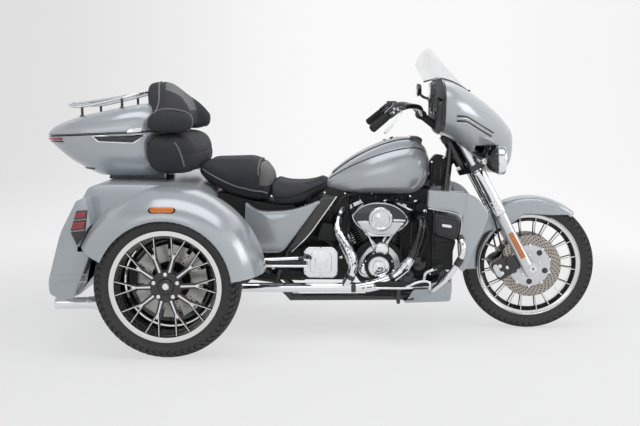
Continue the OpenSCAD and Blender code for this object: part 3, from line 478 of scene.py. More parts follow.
class Finish:
    """A material in the making, with one Principled shader."""

    def __init__(self, name):
        self.material = bpy.data.materials.new(name)
        self.material.use_nodes = True
        self.nodes, self.links = self.material.node_tree.nodes, self.material.node_tree.links
        self.nodes.clear()
        self.shader = self.nodes.new("ShaderNodeBsdfPrincipled")
        self.output = self.nodes.new("ShaderNodeOutputMaterial")
        self.links.new(self.shader.outputs[0], self.output.inputs[0])
        place = self.nodes.new("ShaderNodeTexCoord")
        self.place = Wire(self, place.outputs["Object"])

    def feed(self, socket, value):
        if isinstance(value, Wire):
            self.links.new(value.socket, socket)
        elif hasattr(socket.default_value, "__len__") and len(socket.default_value) == 4:
            socket.default_value = (*value[:3], 1.0)
        else:
            socket.default_value = value

    def node(self, kind, settings=None, sockets=None, out=0):
        """Any node: its settings first, then the values or links of its sockets."""
        n = self.nodes.new(kind)
        for key, value in (settings or {}).items():
            if key == "stops":
                for k, (at, level) in enumerate(value):
                    stop = n.color_ramp.elements[k] if k < 2 else n.color_ramp.elements.new(at)
                    stop.position, stop.color = at, (level, level, level, 1)
            else:
                setattr(n, key, value)
        for key, value in (sockets or {}).items():
            self.feed(n.inputs[key], value)
        return Wire(self, n.outputs[out])

    def set(self, **sockets):
        """Values or links of the shader's own sockets, with _ for a space in their names."""
        for key, value in sockets.items():
            self.feed(self.shader.inputs[key.replace("_", " ")], value)
        return self

    def noise(self, scale, detail=2.0, rough=0.5, at=None, stretch=None):
        """Cloudy value 0 to 1 with features a little over 1/scale metres."""
        at = at or self.place
        if stretch:
            at = self.node("ShaderNodeMapping", None, {"Vector": at, "Scale": stretch})
        return self.node("ShaderNodeTexNoise", None,
                         {"Vector": at, "Scale": scale, "Detail": detail, "Roughness": rough})

    def cells(self, scale, feature="F1", out=0):
        """Distance to the nearest of scattered points, or to the edge between two of them."""
        return self.node("ShaderNodeTexVoronoi", {"feature": feature}, {"Vector": self.place, "Scale": scale}, out)

    def axis(self, which):
        """One of the object's coordinates in metres."""
        split = self.node("ShaderNodeSeparateXYZ", None, {"Vector": self.place})
        return Wire(self, split.socket.node.outputs[which])

    def mix(self, share, a, b):
        """Colour between a and b."""
        n = self.nodes.new("ShaderNodeMix")
        n.data_type = "RGBA"
        self.feed(n.inputs[0], share)
        self.feed(n.inputs[6], a)
        self.feed(n.inputs[7], b)
        return Wire(self, n.outputs[2])

    def bump(self, height, depth, strength=1.0):
        """Normal from a height in units of depth metres."""
        self.set(Normal=self.node("ShaderNodeBump", None,
                                  {"Height": height, "Distance": depth, "Strength": strength}))
        return self

    def round_axis(self, centre):
        """Distance in metres from a line along Y through centre (mm)."""
        x, z = self.axis("X") - centre[0] * MM, self.axis("Z") - centre[2] * MM
        return (x * x + z * z).call("SQRT")

    def angle(self, centre):
        """Angle round a line along Y through centre (mm), in turns."""
        x, z = self.axis("X") - centre[0] * MM, self.axis("Z") - centre[2] * MM
        return z.call("ARCTAN2", x) / (2 * math.pi)


def shade(colour, k):
    """Colour made lighter or darker."""
    return tuple(min(1.0, c * k) for c in colour[:3])


def lacquer(f, colour):
    """Gloss paint: fine flake, faint clouding, a clear coat with a little orange peel, dust low down."""
    flake = f.cells(2600, out=1)
    base = f.mix(f.noise(3, 3), shade(colour, 0.97), shade(colour, 1.03))
    base = f.mix(f.node("ShaderNodeSeparateColor", None, {"Color": flake}) * 0.10, base, shade(colour, 1.35))
    dust = f.axis("Z").ease(0.16, 0.36, 0.12, 0.0) * f.noise(18, 5)
    f.set(Base_Color=f.mix(dust, base, (0.45, 0.42, 0.38)), Roughness=0.30 + f.noise(60, 3) * 0.06 + dust,
          Metallic=0.12, Coat_Weight=1.0, Coat_Roughness=0.03, Coat_IOR=1.5)
    f.bump(f.noise(160, 1), 0.00012, 0.4)


def bright(f, colour):
    """Chrome plate: near mirror, with faint clouding and smears."""
    smear = f.noise(14, 6, 0.62, stretch=(1, 1, 2.5))
    f.set(Base_Color=f.mix(smear, shade(colour, 0.93), colour), Metallic=1.0,
          Roughness=0.05 + smear.ease(0.45, 0.75, 0, 0.09))
    f.bump(f.noise(45, 2), 0.0002, 0.35)


def gloss_black(f, colour):
    """Black enamel on steel and castings, with a clear coat and fine dust."""
    dust = f.noise(26, 5).ease(0.45, 0.8)
    f.set(Base_Color=f.mix(dust * 0.35, colour, shade(colour, 2.2)), Roughness=0.24 + dust * 0.2, Coat_Weight=0.7,
          Coat_Roughness=0.06)
    f.bump(f.noise(240, 2), 0.00015, 0.4)


def cast_black(f, colour):
    """Wrinkled black coating on castings, worn brighter on high spots."""
    wrinkle = f.cells(420)
    worn = f.noise(34, 6, 0.7).ease(0.58, 0.8)
    f.set(Base_Color=f.mix(worn * 0.4, f.mix(wrinkle, shade(colour, 0.7), shade(colour, 1.3)), (0.16, 0.16, 0.16)),
          Roughness=0.46 + wrinkle * 0.15, Metallic=0.25)
    f.bump(wrinkle, 0.0007, 0.6)


def moulded(f, colour):
    """Grained moulded plastic, scuffed lighter along its high spots."""
    grain = f.cells(620)
    scuff = f.noise(30, 6, 0.7).ease(0.6, 0.8)
    f.set(Base_Color=f.mix(scuff * 0.3, f.mix(grain, shade(colour, 0.8), shade(colour, 1.15)), shade(colour, 2.4)),
          Roughness=0.5 + grain * 0.18 - scuff * 0.06)
    f.bump(grain, 0.0005, 0.6)


def hide(f, colour):
    """Seat vinyl: pebble grain, creases, and a soft sheen where it has been sat on, painted as lighter patches in its
    colour.
    """
    edge = f.cells(330, "DISTANCE_TO_EDGE")
    pebble = edge.ease(0.0, 0.22)
    crease = f.noise(9, 6, 0.65).ease(0.52, 0.62) * f.noise(60, 3)
    base = f.mix(pebble, shade(colour, 0.55), colour)
    # Painted sheen: lighter cloudy patches in the vinyl's colour
    f.set(Base_Color=f.mix(f.noise(4, 4) * 0.5, base, shade(colour, 1.25)),
          Roughness=0.42 + pebble * 0.12 + crease * 0.2)
    f.bump(pebble + f.noise(90, 3) * 0.8 - crease * 0.6, 0.0011, 0.75)


def soft_rubber(f, colour):
    """Rubber: matt, faintly ribbed, greyed by wear."""
    grey = f.noise(22, 6, 0.66)
    f.set(Base_Color=f.mix(grey, shade(colour, 0.8), shade(colour, 1.5)), Roughness=0.62 + grey * 0.2)
    f.bump(f.noise(500, 3), 0.0004, 0.5)


def tread_rubber(f, colour, centre, inner, outer, tint):
    """Tyre rubber: moulding rings on the side wall, brown-grey road dust on the tread and in the rings."""
    r = f.round_axis(centre)
    rings = (r * (2 * math.pi / 0.0075)).call("SINE")
    side = r.ease(inner * MM, (inner + 8) * MM) * r.ease((outer - 26) * MM, (outer - 14) * MM, 1, 0)
    dust = (f.noise(16, 6, 0.68).ease(0.35, 0.75) * 0.55 + r.ease((outer - 20) * MM, outer * MM, 0.0, 0.55))
    f.set(Base_Color=f.mix(dust, f.mix(f.noise(300, 2), shade(colour, 0.8), shade(colour, 1.2)), tint),
          Roughness=0.58 + dust * 0.3)
    f.bump(rings * side * 0.35 + f.noise(700, 2) * 0.3, 0.0008, 0.7)


def machined(f, colour, centre):
    """Turned metal: fine rings about the axle with a soft streak."""
    r = f.round_axis(centre)
    rings = f.node("ShaderNodeTexNoise", {"noise_dimensions": "1D"}, {"W": r * 900, "Detail": 3.0})
    streak = f.noise(12, 5, 0.6)
    f.set(Base_Color=f.mix(rings * 0.5 + streak * 0.3, shade(colour, 0.86), colour), Metallic=1.0,
          Roughness=0.12 + rings * 0.10 + streak * 0.05)
    f.bump(rings, 0.0002, 0.4)


def brushed(f, colour):
    """Bare alloy: cast skin with brushed streaks."""
    lines = f.noise(40, 5, 0.6, stretch=(1, 1, 16))
    f.set(Base_Color=f.mix(lines, shade(colour, 0.85), shade(colour, 1.08)), Metallic=0.95,
          Roughness=0.2 + lines * 0.16)
    f.bump(lines, 0.0003, 0.4)


def brake_steel(f, colour, centre, rows, inner, outer):
    """Brake disc: turned face, spiral lines of drilled holes painted near black as painted shade, a browner band
    where the pads run.
    """
    r, turn = f.round_axis(centre), f.angle(centre)
    rings = f.node("ShaderNodeTexNoise", {"noise_dimensions": "1D"}, {"W": r * 1300, "Detail": 2.0})
    band = (r - inner * MM) / ((outer - inner) * MM)
    row = band * rows
    across = row.call("FRACT") - 0.5
    along = ((turn * 36 + row.call("FLOOR") * 0.37).call("FRACT") - 0.5) * (r * (2 * math.pi / 36))
    across = across * ((outer - inner) * MM / rows)
    hole = (along * along + across * across).call("SQRT").ease(0.0030, 0.0038, 1,
                                                               0) * (band > 0.04) * (1 - (band > 0.96))
    rust = f.noise(30, 5, 0.6).ease(0.4, 0.8)
    metal = f.mix(rings * 0.5 + rust * 0.5, shade(colour, 1.1), shade(colour, 0.7))
    # The holes are painted near black: painted shade in place of the openings
    f.set(Base_Color=f.mix(hole, metal, (0.012, 0.011, 0.010)), Metallic=0.9 - hole * 0.8,
          Roughness=0.24 + rings * 0.12 + hole * 0.4)
    f.bump(rings * 0.3 - hole * 4, 0.0005, 0.5)


def lens(f, colour, glow=0.25):
    """Moulded lens: clear coat over colour with small prisms behind it, and a faint painted glow of its colour from
    emission.
    """
    prism = (f.axis("X") * 420).call("SINE") * (f.axis("Z") * 420).call("SINE")
    # Emission gives a faint painted glow in the lens's colour
    f.set(Base_Color=f.mix(prism.ease(-0.6, 0.6), shade(colour, 0.62), colour),
          Roughness=0.16 + f.noise(50, 3) * 0.06,
          Coat_Weight=1.0, Coat_Roughness=0.03,
          Emission_Color=f.mix(prism.ease(-0.6, 0.6), shade(colour, 0.5), colour),
          Emission_Strength=glow)
    f.bump(prism, 0.0004, 0.3)


def clear(f, colour, solid=0.05):
    """Clear screen: thin, with a faint tint, a rim that shows and smears."""
    facing = f.node("ShaderNodeLayerWeight", None, {"Blend": 0.25}, 1)
    smear = f.noise(9, 6, 0.6)
    f.set(Base_Color=f.mix(smear, shade(colour, 0.9), colour), Roughness=0.04 + smear * 0.05,
          Alpha=solid + facing * 0.18 + smear * 0.02, Coat_Weight=1.0, Coat_Roughness=0.02)


def finish(name):
    """A finish by name, made the first time that it is asked for."""
    if name in bpy.data.materials:
        return bpy.data.materials[name]
    hues = bpy.context.scene.trike_colours
    front, rear = (FRONT_X, 0, FRONT_Z), (REAR_X, 0, REAR_Z)
    make, *values = {
        "paint": (lacquer, hues.paint),
        "chrome": (bright, hues.chrome),
        "mirror glass": (bright, (0.86, 0.88, 0.9)),
        "gloss black": (gloss_black, hues.enamel),
        "frame black": (gloss_black, shade(hues.enamel, 1.1)),
        "cast black": (cast_black, hues.casting),
        "plastic": (moulded, hues.plastic),
        "grey plastic": (moulded, hues.pod),
        "vinyl": (hide, hues.vinyl),
        "grey vinyl": (hide, hues.panel),
        "welt": (soft_rubber, hues.welt),
        "grey welt": (soft_rubber, hues.piping),
        "rubber": (soft_rubber, hues.rubber),
        "front tyre": (tread_rubber, hues.tyre, front, FRONT_RIM, FRONT_R, hues.dust),
        "rear tyre": (tread_rubber, hues.tyre, rear, REAR_RIM, REAR_R, hues.dust),
        "front turned": (machined, hues.alloy, front),
        "rear turned": (machined, hues.alloy, rear),
        "cover turned": (machined, hues.chrome, CRANK),
        "alloy": (brushed, hues.alloy),
        # The vanes' alloy at half its brightness: painted shade for their place deep inside the rear wheels
        "vane": (brushed, (0.44, 0.44, 0.42)),
        "front disc": (brake_steel, hues.disc, front, 5, 104, 149),
        "rear disc": (brake_steel, hues.disc, rear, 4, 92, 144),
        "red lens": (lens, hues.red),
        "amber lens": (lens, hues.amber),
        "white lens": (lens, hues.lamp, 0.1),
        "screen": (clear, hues.screen),
    }[name]
    f = Finish(name)
    make(f, *values)
    return f.material


def finishes(*names):
    return [finish(n) for n in names]


# ------------------------------------------------------------------ settings

class TrikeSizes(bpy.types.PropertyGroup):
    """Sizes of details that the frame leaves open."""
    welt: bpy.props.FloatProperty(name="Welt", description="Radius of the piping on seats and pads",
                                  default=0.0035, min=0.001, max=0.008, unit="LENGTH", subtype="DISTANCE")
    swell: bpy.props.FloatProperty(name="Swell", description="How far a cushion's skin may swell out of its foam",
                                   default=0.012, min=0.002, max=0.03, unit="LENGTH", subtype="DISTANCE")
    voxel: bpy.props.FloatProperty(name="Cushion mesh", description="Size of a cushion's mesh cells before it swells",
                                   default=0.0075, min=0.004, max=0.02, unit="LENGTH", subtype="DISTANCE")
    tread_depth: bpy.props.FloatProperty(name="Tread depth", description="Depth of the tyres' grooves",
                                         default=0.006, min=0.001, max=0.01, unit="LENGTH", subtype="DISTANCE")
    tread_pitches: bpy.props.IntProperty(name="Tread blocks", description="Blocks round a tyre", default=60, min=30,
                                         max=90)
    spokes: bpy.props.IntProperty(name="Spokes", description="Split spokes in each wheel", default=10, min=5, max=12)
    fins: bpy.props.IntProperty(name="Fins", description="Cooling fins on each cylinder", default=12, min=6, max=16)
    glass: bpy.props.FloatProperty(name="Screen thickness", description="Thickness of the windscreen",
                                   default=0.004, min=0.002, max=0.008, unit="LENGTH", subtype="DISTANCE")


def hue(label, what, value):
    """Colour property in linear light."""
    return bpy.props.FloatVectorProperty(name=label, description=what, default=value, size=3, min=0, max=1,
                                         subtype="COLOR")


class TrikeColours(bpy.types.PropertyGroup):
    """Colours of the finishes."""
    paint: hue("Paint", "Colour of the gloss bodywork", (0.300, 0.338, 0.378))
    chrome: hue("Chrome", "Tint of the chrome plate", (0.78, 0.79, 0.80))
    alloy: hue("Alloy", "Tint of bare and turned alloy", (0.86, 0.86, 0.86))
    disc: hue("Brake discs", "Tint of the brake discs", (0.46, 0.42, 0.38))
    enamel: hue("Enamel", "Colour of gloss black steel and covers", (0.012, 0.012, 0.013))
    casting: hue("Castings", "Colour of wrinkled black castings", (0.020, 0.020, 0.021))
    plastic: hue("Plastic", "Colour of black moulded plastic", (0.018, 0.018, 0.019))
    pod: hue("Grey plastic", "Colour of dark grey moulded plastic", (0.050, 0.050, 0.053))
    vinyl: hue("Vinyl", "Colour of the seats and pads", (0.030, 0.029, 0.029))
    panel: hue("Vinyl panels", "Colour of the lighter panels of the seats and pads", (0.22, 0.218, 0.215))
    welt: hue("Welt", "Colour of the dark piping", (0.010, 0.010, 0.010))
    piping: hue("Piping", "Colour of the light piping", (0.22, 0.22, 0.22))
    rubber: hue("Rubber", "Colour of grips and pads", (0.016, 0.016, 0.016))
    tyre: hue("Tyres", "Colour of the tyres", (0.052, 0.052, 0.055))
    dust: hue("Road dust", "Colour of the dust on the tyres", (0.075, 0.070, 0.064))
    red: hue("Red lens", "Colour of the tail lights", (0.36, 0.012, 0.016))
    amber: hue("Amber lens", "Colour of the side markers", (0.80, 0.21, 0.008))
    lamp: hue("Clear lens", "Colour of the headlamps", (0.62, 0.65, 0.68))
    screen: hue("Screen", "Tint of the windscreen", (0.86, 0.89, 0.90))


class TrikeStudio(bpy.types.PropertyGroup):
    """Stage, lamps and camera."""
    floor: hue("Floor", "Colour of the floor and the backdrop", (0.83, 0.83, 0.82))
    sky: bpy.props.FloatProperty(name="World strength", description="Strength of the soft light all round",
                                 default=0.42, min=0, max=2)
    key: bpy.props.FloatProperty(name="Key lamp", description="Power of the large lamp above", default=66, min=0,
                                 max=500, unit="POWER")
    side: bpy.props.FloatProperty(name="Side lamp", description="Power of the lamp beside the camera", default=11,
                                  min=0, max=500, unit="POWER")
    focal: bpy.props.FloatProperty(name="Focal length", description="The camera's focal length", default=52.93,
                                   min=20, max=200, unit="CAMERA")
    away: bpy.props.FloatProperty(name="Camera distance", description="Distance from the middle plane",
                                  default=4.5996,
                                  min=2, max=20, unit="LENGTH", subtype="DISTANCE")


# ------------------------------------------------------------------ the bodywork's forms

def columns(rows, x0, w):
    """Table of stations with its x moved to x0 and its widths scaled by w."""
    s = np.array(rows, float)
    out = np.zeros((len(s), 8))
    out[:, 0], out[:, 2], out[:, 3:] = x0 + s[:, 0], w * s[:, 1], s[:, 2:]
    return out


def tank_rows():
    """Stations of the tank from its tail to its front."""
    return columns([[-499, .30, 694, 706, 722, .8, .9], [-464, .50, 678, 712, 764, .75, .9],
                    [-376, .76, 670, 722, 832, .7, .9], [-269, .95, 667, 738, 890, .65, .9],
                    [-160, 1, 667, 760, 926, .6, .88], [-70, .93, 672, 782, 928, .6, .85],
                    [-20, .72, 706, 795, 895, .7, .85], [0, .42, 745, 800, 850, .8, .9]], TANK_X, TANK_W / 2)


def seat_rows(rows):
    """Stations of a seat from (x, half width share, low z, high z)."""
    return np.array([[SEAT_X + x, 0, w * SEAT_HALF, low, low + (high - low) * .55, high, .55, .62]
                     for x, w, low, high in rows])


def fairing_rows(t=0.0):
    """Stations of the fairing from its rear edge to its nose, inside its skin by t."""
    s = columns([[0, 1, 955, 1080, 1225, .8, .66], [55, .976, 930, 1064, 1205, .85, .68],
                 [115, .90, 880, 1040, 1174, 1.0, .70], [175, .78, 815, 1012, 1137, 1.15, .72],
                 [245, .61, 772, 980, 1087, 1.2, .78], [305, .45, 768, 940, 1032, 1.05, .82],
                 [345, .30, 802, 915, 984, .95, .88], [359, .15, 862, 912, 952, .9, .9]], FAIRING_X, FAIRING_HALF)
    s[:, 2] -= t
    s[:, 3] += t
    s[:, 5] -= t
    return s


def case_rows(t=0.0):
    """Rings of the top case's box from its floor to its seam."""
    w, x = CASE_HALF, CASE_X
    return np.array([[CASE_BASE + 1.2 * t, x + 112, 170 - t, w * .71 - t, .6, 0],
                     [800, x + 87, 205 - t, w * .83 - t, .6, 0],
                     [850, x + 52, 245 - t, w * .93 - t, .6, .01], [920, x + 12, 277 - t, w * .98 - t, .6, .03],
                     [SEAM_Z - 5, x, 287 - t, w - t, .6, SEAM_SLOPE]])


def lid_rows(t=0.0):
    """Rings of the top case's lid from its seam to its crown."""
    w, x, z = CASE_HALF, CASE_X, SEAM_Z
    return np.array([[z, x, 287 - t, w - t, .6, SEAM_SLOPE], [z + 30, x + 3, 282 - t, w * .983 - t, .6, .08],
                     [z + 66 - t / 2, x + 12, 260 - t, w * .925 - t, .62, .13],
                     [z + 92 - t, x + 22, 222 - t, w * .8 - t, .65, .17],
                     [z + 106 - t, x + 27, 165 - t, w * .61 - t, .7, .19],
                     [z + 111 - t, x + 27, 80 - t, w * .3 - t, .8, .2]])


def top_of(rows, x, y):
    """Height of a form given by rings across X, above a place."""
    s = flow_at(rows, x)
    k = np.clip(1 - np.abs(np.asarray(y) / s[..., 2]) ** (2 / s[..., 7]), 0, 1)
    return s[..., 4] + (s[..., 5] - s[..., 4]) * k ** (s[..., 7] / 2)


def side_of(rows, x, z):
    """Half width of a form given by rings across X, at a place on its side."""
    s = flow_at(rows, x)
    up = z > s[..., 4]
    reach, e = np.where(up, s[..., 5] - s[..., 4], s[..., 4] - s[..., 3]), np.where(up, s[..., 7], s[..., 6])
    k = np.clip(1 - np.abs((z - s[..., 4]) / reach) ** (2 / e), 0, 1)
    return s[..., 2] * k ** (e / 2)


def case_side(rows, x, z):
    """Half width of a form given by rings across Z, at a place on its side."""
    s = flow_at(rows, z)
    k = np.clip(1 - np.abs((x - s[..., 1]) / s[..., 2]) ** (2 / s[..., 4]), 0, 1)
    return s[..., 3] * k ** (s[..., 4] / 2)


def on_side(half, sign=-1):
    """Map that lays a slab's points on a side wall: y becomes sign times (half width there + y)."""
    return lambda p: xyz(p[..., 0], sign * (half(p[..., 0], p[..., 2]) + p[..., 1]), p[..., 2])


def fender_point(angle, t, out=0.0):
    """Point of a rear fender: radius lip + (crown - lip)(1 - t^2.6)^0.58 at an angle round the axle, a share t
    of the way out from the trunk's wall."""
    t = np.asarray(t, float)
    r = LIP_R + (CROWN_R - LIP_R) * (1 - np.clip(t, 0, 1) ** 2.6) ** .58 + out
    a = np.radians(angle)
    y0 = WELL_Y + 0.3
    return xyz(REAR_X + r * np.cos(a), y0 + (BODY_HALF - y0) * t + out * 0.3, REAR_Z + r * np.sin(a))


def puff(obj, cap, ends=20):
    """Swells a closed cushion: it is remeshed and blown up as cloth without gravity, and each point's move is held
    within cap of where it started."""
    scene = bpy.context.scene
    sizes = scene.trike_sizes
    bpy.context.view_layer.objects.active = obj
    remesh = obj.modifiers.new("remesh", "REMESH")
    remesh.mode, remesh.voxel_size = "VOXEL", sizes.voxel
    with bpy.context.temp_override(object=obj, active_object=obj, selected_objects=[obj]):
        bpy.ops.object.modifier_apply(modifier="remesh")
    mesh = obj.data
    n = len(mesh.vertices)
    start = np.empty(n * 3)
    mesh.vertices.foreach_get("co", start)
    start = start.reshape(-1, 3)
    cloth = obj.modifiers.new("cloth", "CLOTH")
    cloth.settings.use_pressure = True
    cloth.settings.uniform_pressure_force = 4
    cloth.settings.effector_weights.gravity = 0
    cloth.settings.quality = 4
    cloth.collision_settings.use_collision = False
    cloth.point_cache.frame_start, cloth.point_cache.frame_end = 1, ends
    for k in range(1, ends + 1):
        scene.frame_set(k)
    shown = obj.evaluated_get(bpy.context.evaluated_depsgraph_get())
    end = np.empty(n * 3)
    shown.data.vertices.foreach_get("co", end)
    move = end.reshape(-1, 3) - start
    obj.modifiers.remove(cloth)
    scene.frame_set(1)
    far = np.linalg.norm(move, axis=1, keepdims=True)
    move = move * np.minimum(1, cap / np.maximum(far, 1e-9))
    return start, move


def neighbour_mean(mesh, values, rounds):
    """Values of a mesh's points averaged with their neighbours', some rounds."""
    edges = np.empty(len(mesh.edges) * 2, np.int32)
    mesh.edges.foreach_get("vertices", edges)
    a, b = edges.reshape(-1, 2).T
    n = len(mesh.vertices)
    count = np.bincount(a, minlength=n) + np.bincount(b, minlength=n)
    for _ in range(rounds):
        total = np.stack([np.bincount(a, values[b, c], n) + np.bincount(b, values[a, c], n)
                          for c in range(values.shape[1])], 1)
        values = (values + total) / (count + 1)[:, None]
    return values


def cushion(shape, name, finishes, body, replaces, slot="vinyl", cap=0.010, seams=(), bounds=None, panel=None):
    """Stuffed piece from a closed shape: swollen, seams pressed in where a function of the points says so (its
    value is the distance in mm from a seam), and a lighter panel where panel(points) is true."""
    obj = shape.piece(name, body, finishes, replaces, slot, outward=True)
    start, move = puff(obj, cap)
    mesh, n = obj.data, len(start)
    co = neighbour_mean(mesh, start + neighbour_mean(mesh, move, 3), 2)
    points = co / MM
    press = np.zeros(n)
    for seam, depth, width in seams:
        press = np.maximum(press, depth * np.exp(-(seam(points) / width) ** 2))
    normal = np.empty(n * 3)
    mesh.vertices.foreach_set("co", co.ravel())
    mesh.update()
    mesh.vertices.foreach_get("normal", normal)
    points = points - normal.reshape(-1, 3) * press[:, None]
    if bounds is not None:
        points = bounds(points)
    mesh.vertices.foreach_set("co", (points * MM).ravel())
    mesh.update()
    if panel is not None and len(mesh.materials) > 1:
        centre = np.empty(len(mesh.polygons) * 3)
        mesh.polygons.foreach_get("center", centre)
        mesh.polygons.foreach_set("material_index", panel(centre.reshape(-1, 3) / MM).astype(np.int32))
    mesh.polygons.foreach_set("use_smooth", np.ones(len(mesh.polygons), bool))
    smooth = obj.modifiers.new("smooth", "SUBSURF")
    smooth.levels = smooth.render_levels = 1
    return obj


def on_skin(obj, points, out=0.0):
    """Points (mm) moved to the nearest place of a mesh's skin, and out along its normal."""
    tree = BVHTree.FromObject(obj, bpy.context.evaluated_depsgraph_get())
    found = []
    for p in np.asarray(points, float) * MM:
        place, normal, _, _ = tree.find_nearest(Vector(p))
        found.append(np.array(place) / MM + np.array(normal) * out)
    return np.array(found)


# ------------------------------------------------------------------ operators

class TRIKE_OT_stage(bpy.types.Operator):
    """Camera, floor with a backdrop that curves up behind the trike, and soft lamps"""
    bl_idname = "trike.stage"
    bl_label = "Stage"

    def execute(self, context):
        studio, scene = context.scene.trike_studio, context.scene
        view = bpy.data.cameras.new("camera")
        view.lens, view.sensor_width = studio.focal, 36
        camera = bpy.data.objects.new("camera", view)
        # The photo's place and tilt of the camera, fitted to the wheels
        ahead, height, down, turn = 0.1208, 1.1671, 0.1305, 0.0305
        camera.location = (ahead, -studio.away, height)
        camera.rotation_euler = (math.pi / 2 - down, 0, turn)
        scene.collection.objects.link(camera)
        scene.camera = camera

        # Floor and backdrop: a line that turns up in a quarter circle, carried round the trike
        a = np.linspace(0, np.pi / 2, 12)
        profile = [(0, 0), (3.0, 0), (6.0, 0)] + [(8.0 + 2.0 * math.sin(q), 2.0 - 2.0 * math.cos(q))
                                                  for q in a] + [(10.0, 9.0)]
        ring = circle(64)
        r, z = np.array(profile).T
        wall = xyz(r[:, None] * np.cos(ring), r[:, None] * np.sin(ring), z[:, None]) / MM
        floor = Shape().grid(wall, wrap=True, flip=True)
        f = Finish("floor")
        ray = f.node("ShaderNodeLightPath")
        rays = ray.socket.node.outputs
        seen = (Wire(f, rays["Is Camera Ray"]) + Wire(f, rays["Is Glossy Ray"])
                + Wire(f, rays["Is Transmission Ray"])).call("MINIMUM", 1.0)
        height, x = f.axis("Z"), f.axis("X")
        f.set(Base_Color=f.mix(f.noise(1.4, 3), shade(studio.floor, 0.985), studio.floor), Roughness=0.85)
        # Pale grey at the left, near white in the middle, a little greyer at the right
        tone = x.ease(-5.0, 0.2, 0.0, 1.0) * x.ease(1.2, 5.5, 1.0, 0.72)
        glow = f.node("ShaderNodeEmission", None,
                      {"Color": f.mix(tone, (0.74, 0.74, 0.74), (0.955, 0.955, 0.955)), "Strength": 1.0})
        blend = f.nodes.new("ShaderNodeMixShader")
        ground = f.node("ShaderNodeVectorMath", {"operation": "LENGTH"}, {0: f.place}, 1)
        f.feed(blend.inputs[0], seen * ground.ease(1.5, 3.4, 0.66, 1.0).call("MAXIMUM", height.ease(0.0, 0.3)))
        f.links.new(f.shader.outputs[0], blend.inputs[1])
        f.links.new(glow.socket, blend.inputs[2])
        f.links.new(blend.outputs[0], f.output.inputs[0])
        floor = floor.piece("floor", None, f.material)

        world = bpy.data.worlds.new("world")
        world.use_nodes = True
        back = world.node_tree.nodes["Background"]
        back.inputs[0].default_value = (0.94, 0.96, 1.0, 1)
        back.inputs[1].default_value = studio.sky
        scene.world = world
        for name, at, turn, size, power in (
                ("key lamp", (0.3, -1.0, 4.2), (0.22, 0, 0), (4.6, 2.4), studio.key),
                ("side lamp", (-1.6, -5.2, 2.6), (1.15, 0, -0.25), (3.0, 1.6), studio.side),
                ("back lamp", (0.0, 3.6, 3.4), (-0.95, 0, 0), (4.0, 1.6), studio.side),
                ("front lamp", (4.4, -1.2, 2.2), (0, 1.15, 0), (1.8, 2.6), studio.side * 3.4)):
            data = bpy.data.lights.new(name, "AREA")
            data.shape, data.size, data.size_y, data.energy = "RECTANGLE", *size, power
            lamp = bpy.data.objects.new(name, data)
            lamp.location, lamp.rotation_euler = at, turn
            scene.collection.objects.link(lamp)
        scene.view_settings.view_transform = "Standard"
        return {"FINISHED"}


class TRIKE_OT_tank(bpy.types.Operator):
    """Fuel tank with its raised console and trim"""
    bl_idname = "trike.tank"
    bl_label = "Tank"

    def execute(self, context):
        rows = tank_rows()
        Shape().grid(rings_x(flow(rows, 12), 128), ends=True, wrap=True).piece(
            "tank", "chassis", finish("paint"), "fuel_tank", "paint")

        # Console: a lens-shaped strip along the top, w across and 12 above the tank, with a black welt round it
        lift = np.array([[s[0], 0, w, s[5] - 16, s[5] - 8, s[5] + 11, .5, .7]
                         for s, w in zip(rows[1:6], (26, 40, 46, 46, 34))])
        console = Shape().grid(rings_x(flow(lift, 12), 48), wrap=True, ends=True)
        fine = flow(lift, 12)
        for side in (-1, 1):
            y = side * fine[:, 2] * 0.985
            z = top_of(rows, fine[:, 0], y) + 1.5
            console.sweep(xyz(fine[:, 0], y, z), 3.6, 10, mark=1)
        console.sweep([[fine[-1, 0] - 2, y, top_of(rows, fine[-1, 0] - 2, y) + 3] for y in np.linspace(-33, 33, 9)],
                      3.6, 10, mark=1)
        console.piece("tank_console", "chassis", finishes("paint", "gloss black"), "tank_console", "black_gloss")

        # Trim line along each shoulder, from the seat's nose to the front, and a cover over the front mount
        trim = Shape()
        x = np.linspace(TANK_X - 478, TANK_X - 24, 60)
        s = flow_at(rows, x)
        y = s[:, 2] * 0.74
        trim.sweep(xyz(x, y, top_of(rows, x, y) + 0.6), 3.0, 10)
        trim.mirrored()
        trim.plate(at_x(TANK_X, [(-92, 905), (-40, 893), (-30, 930), (-52, 944), (-90, 946)]), 8, -60, 60, 5)
        trim.piece("tank_trim", "chassis", finish("gloss black"), slot="black_gloss")
        return {"FINISHED"}


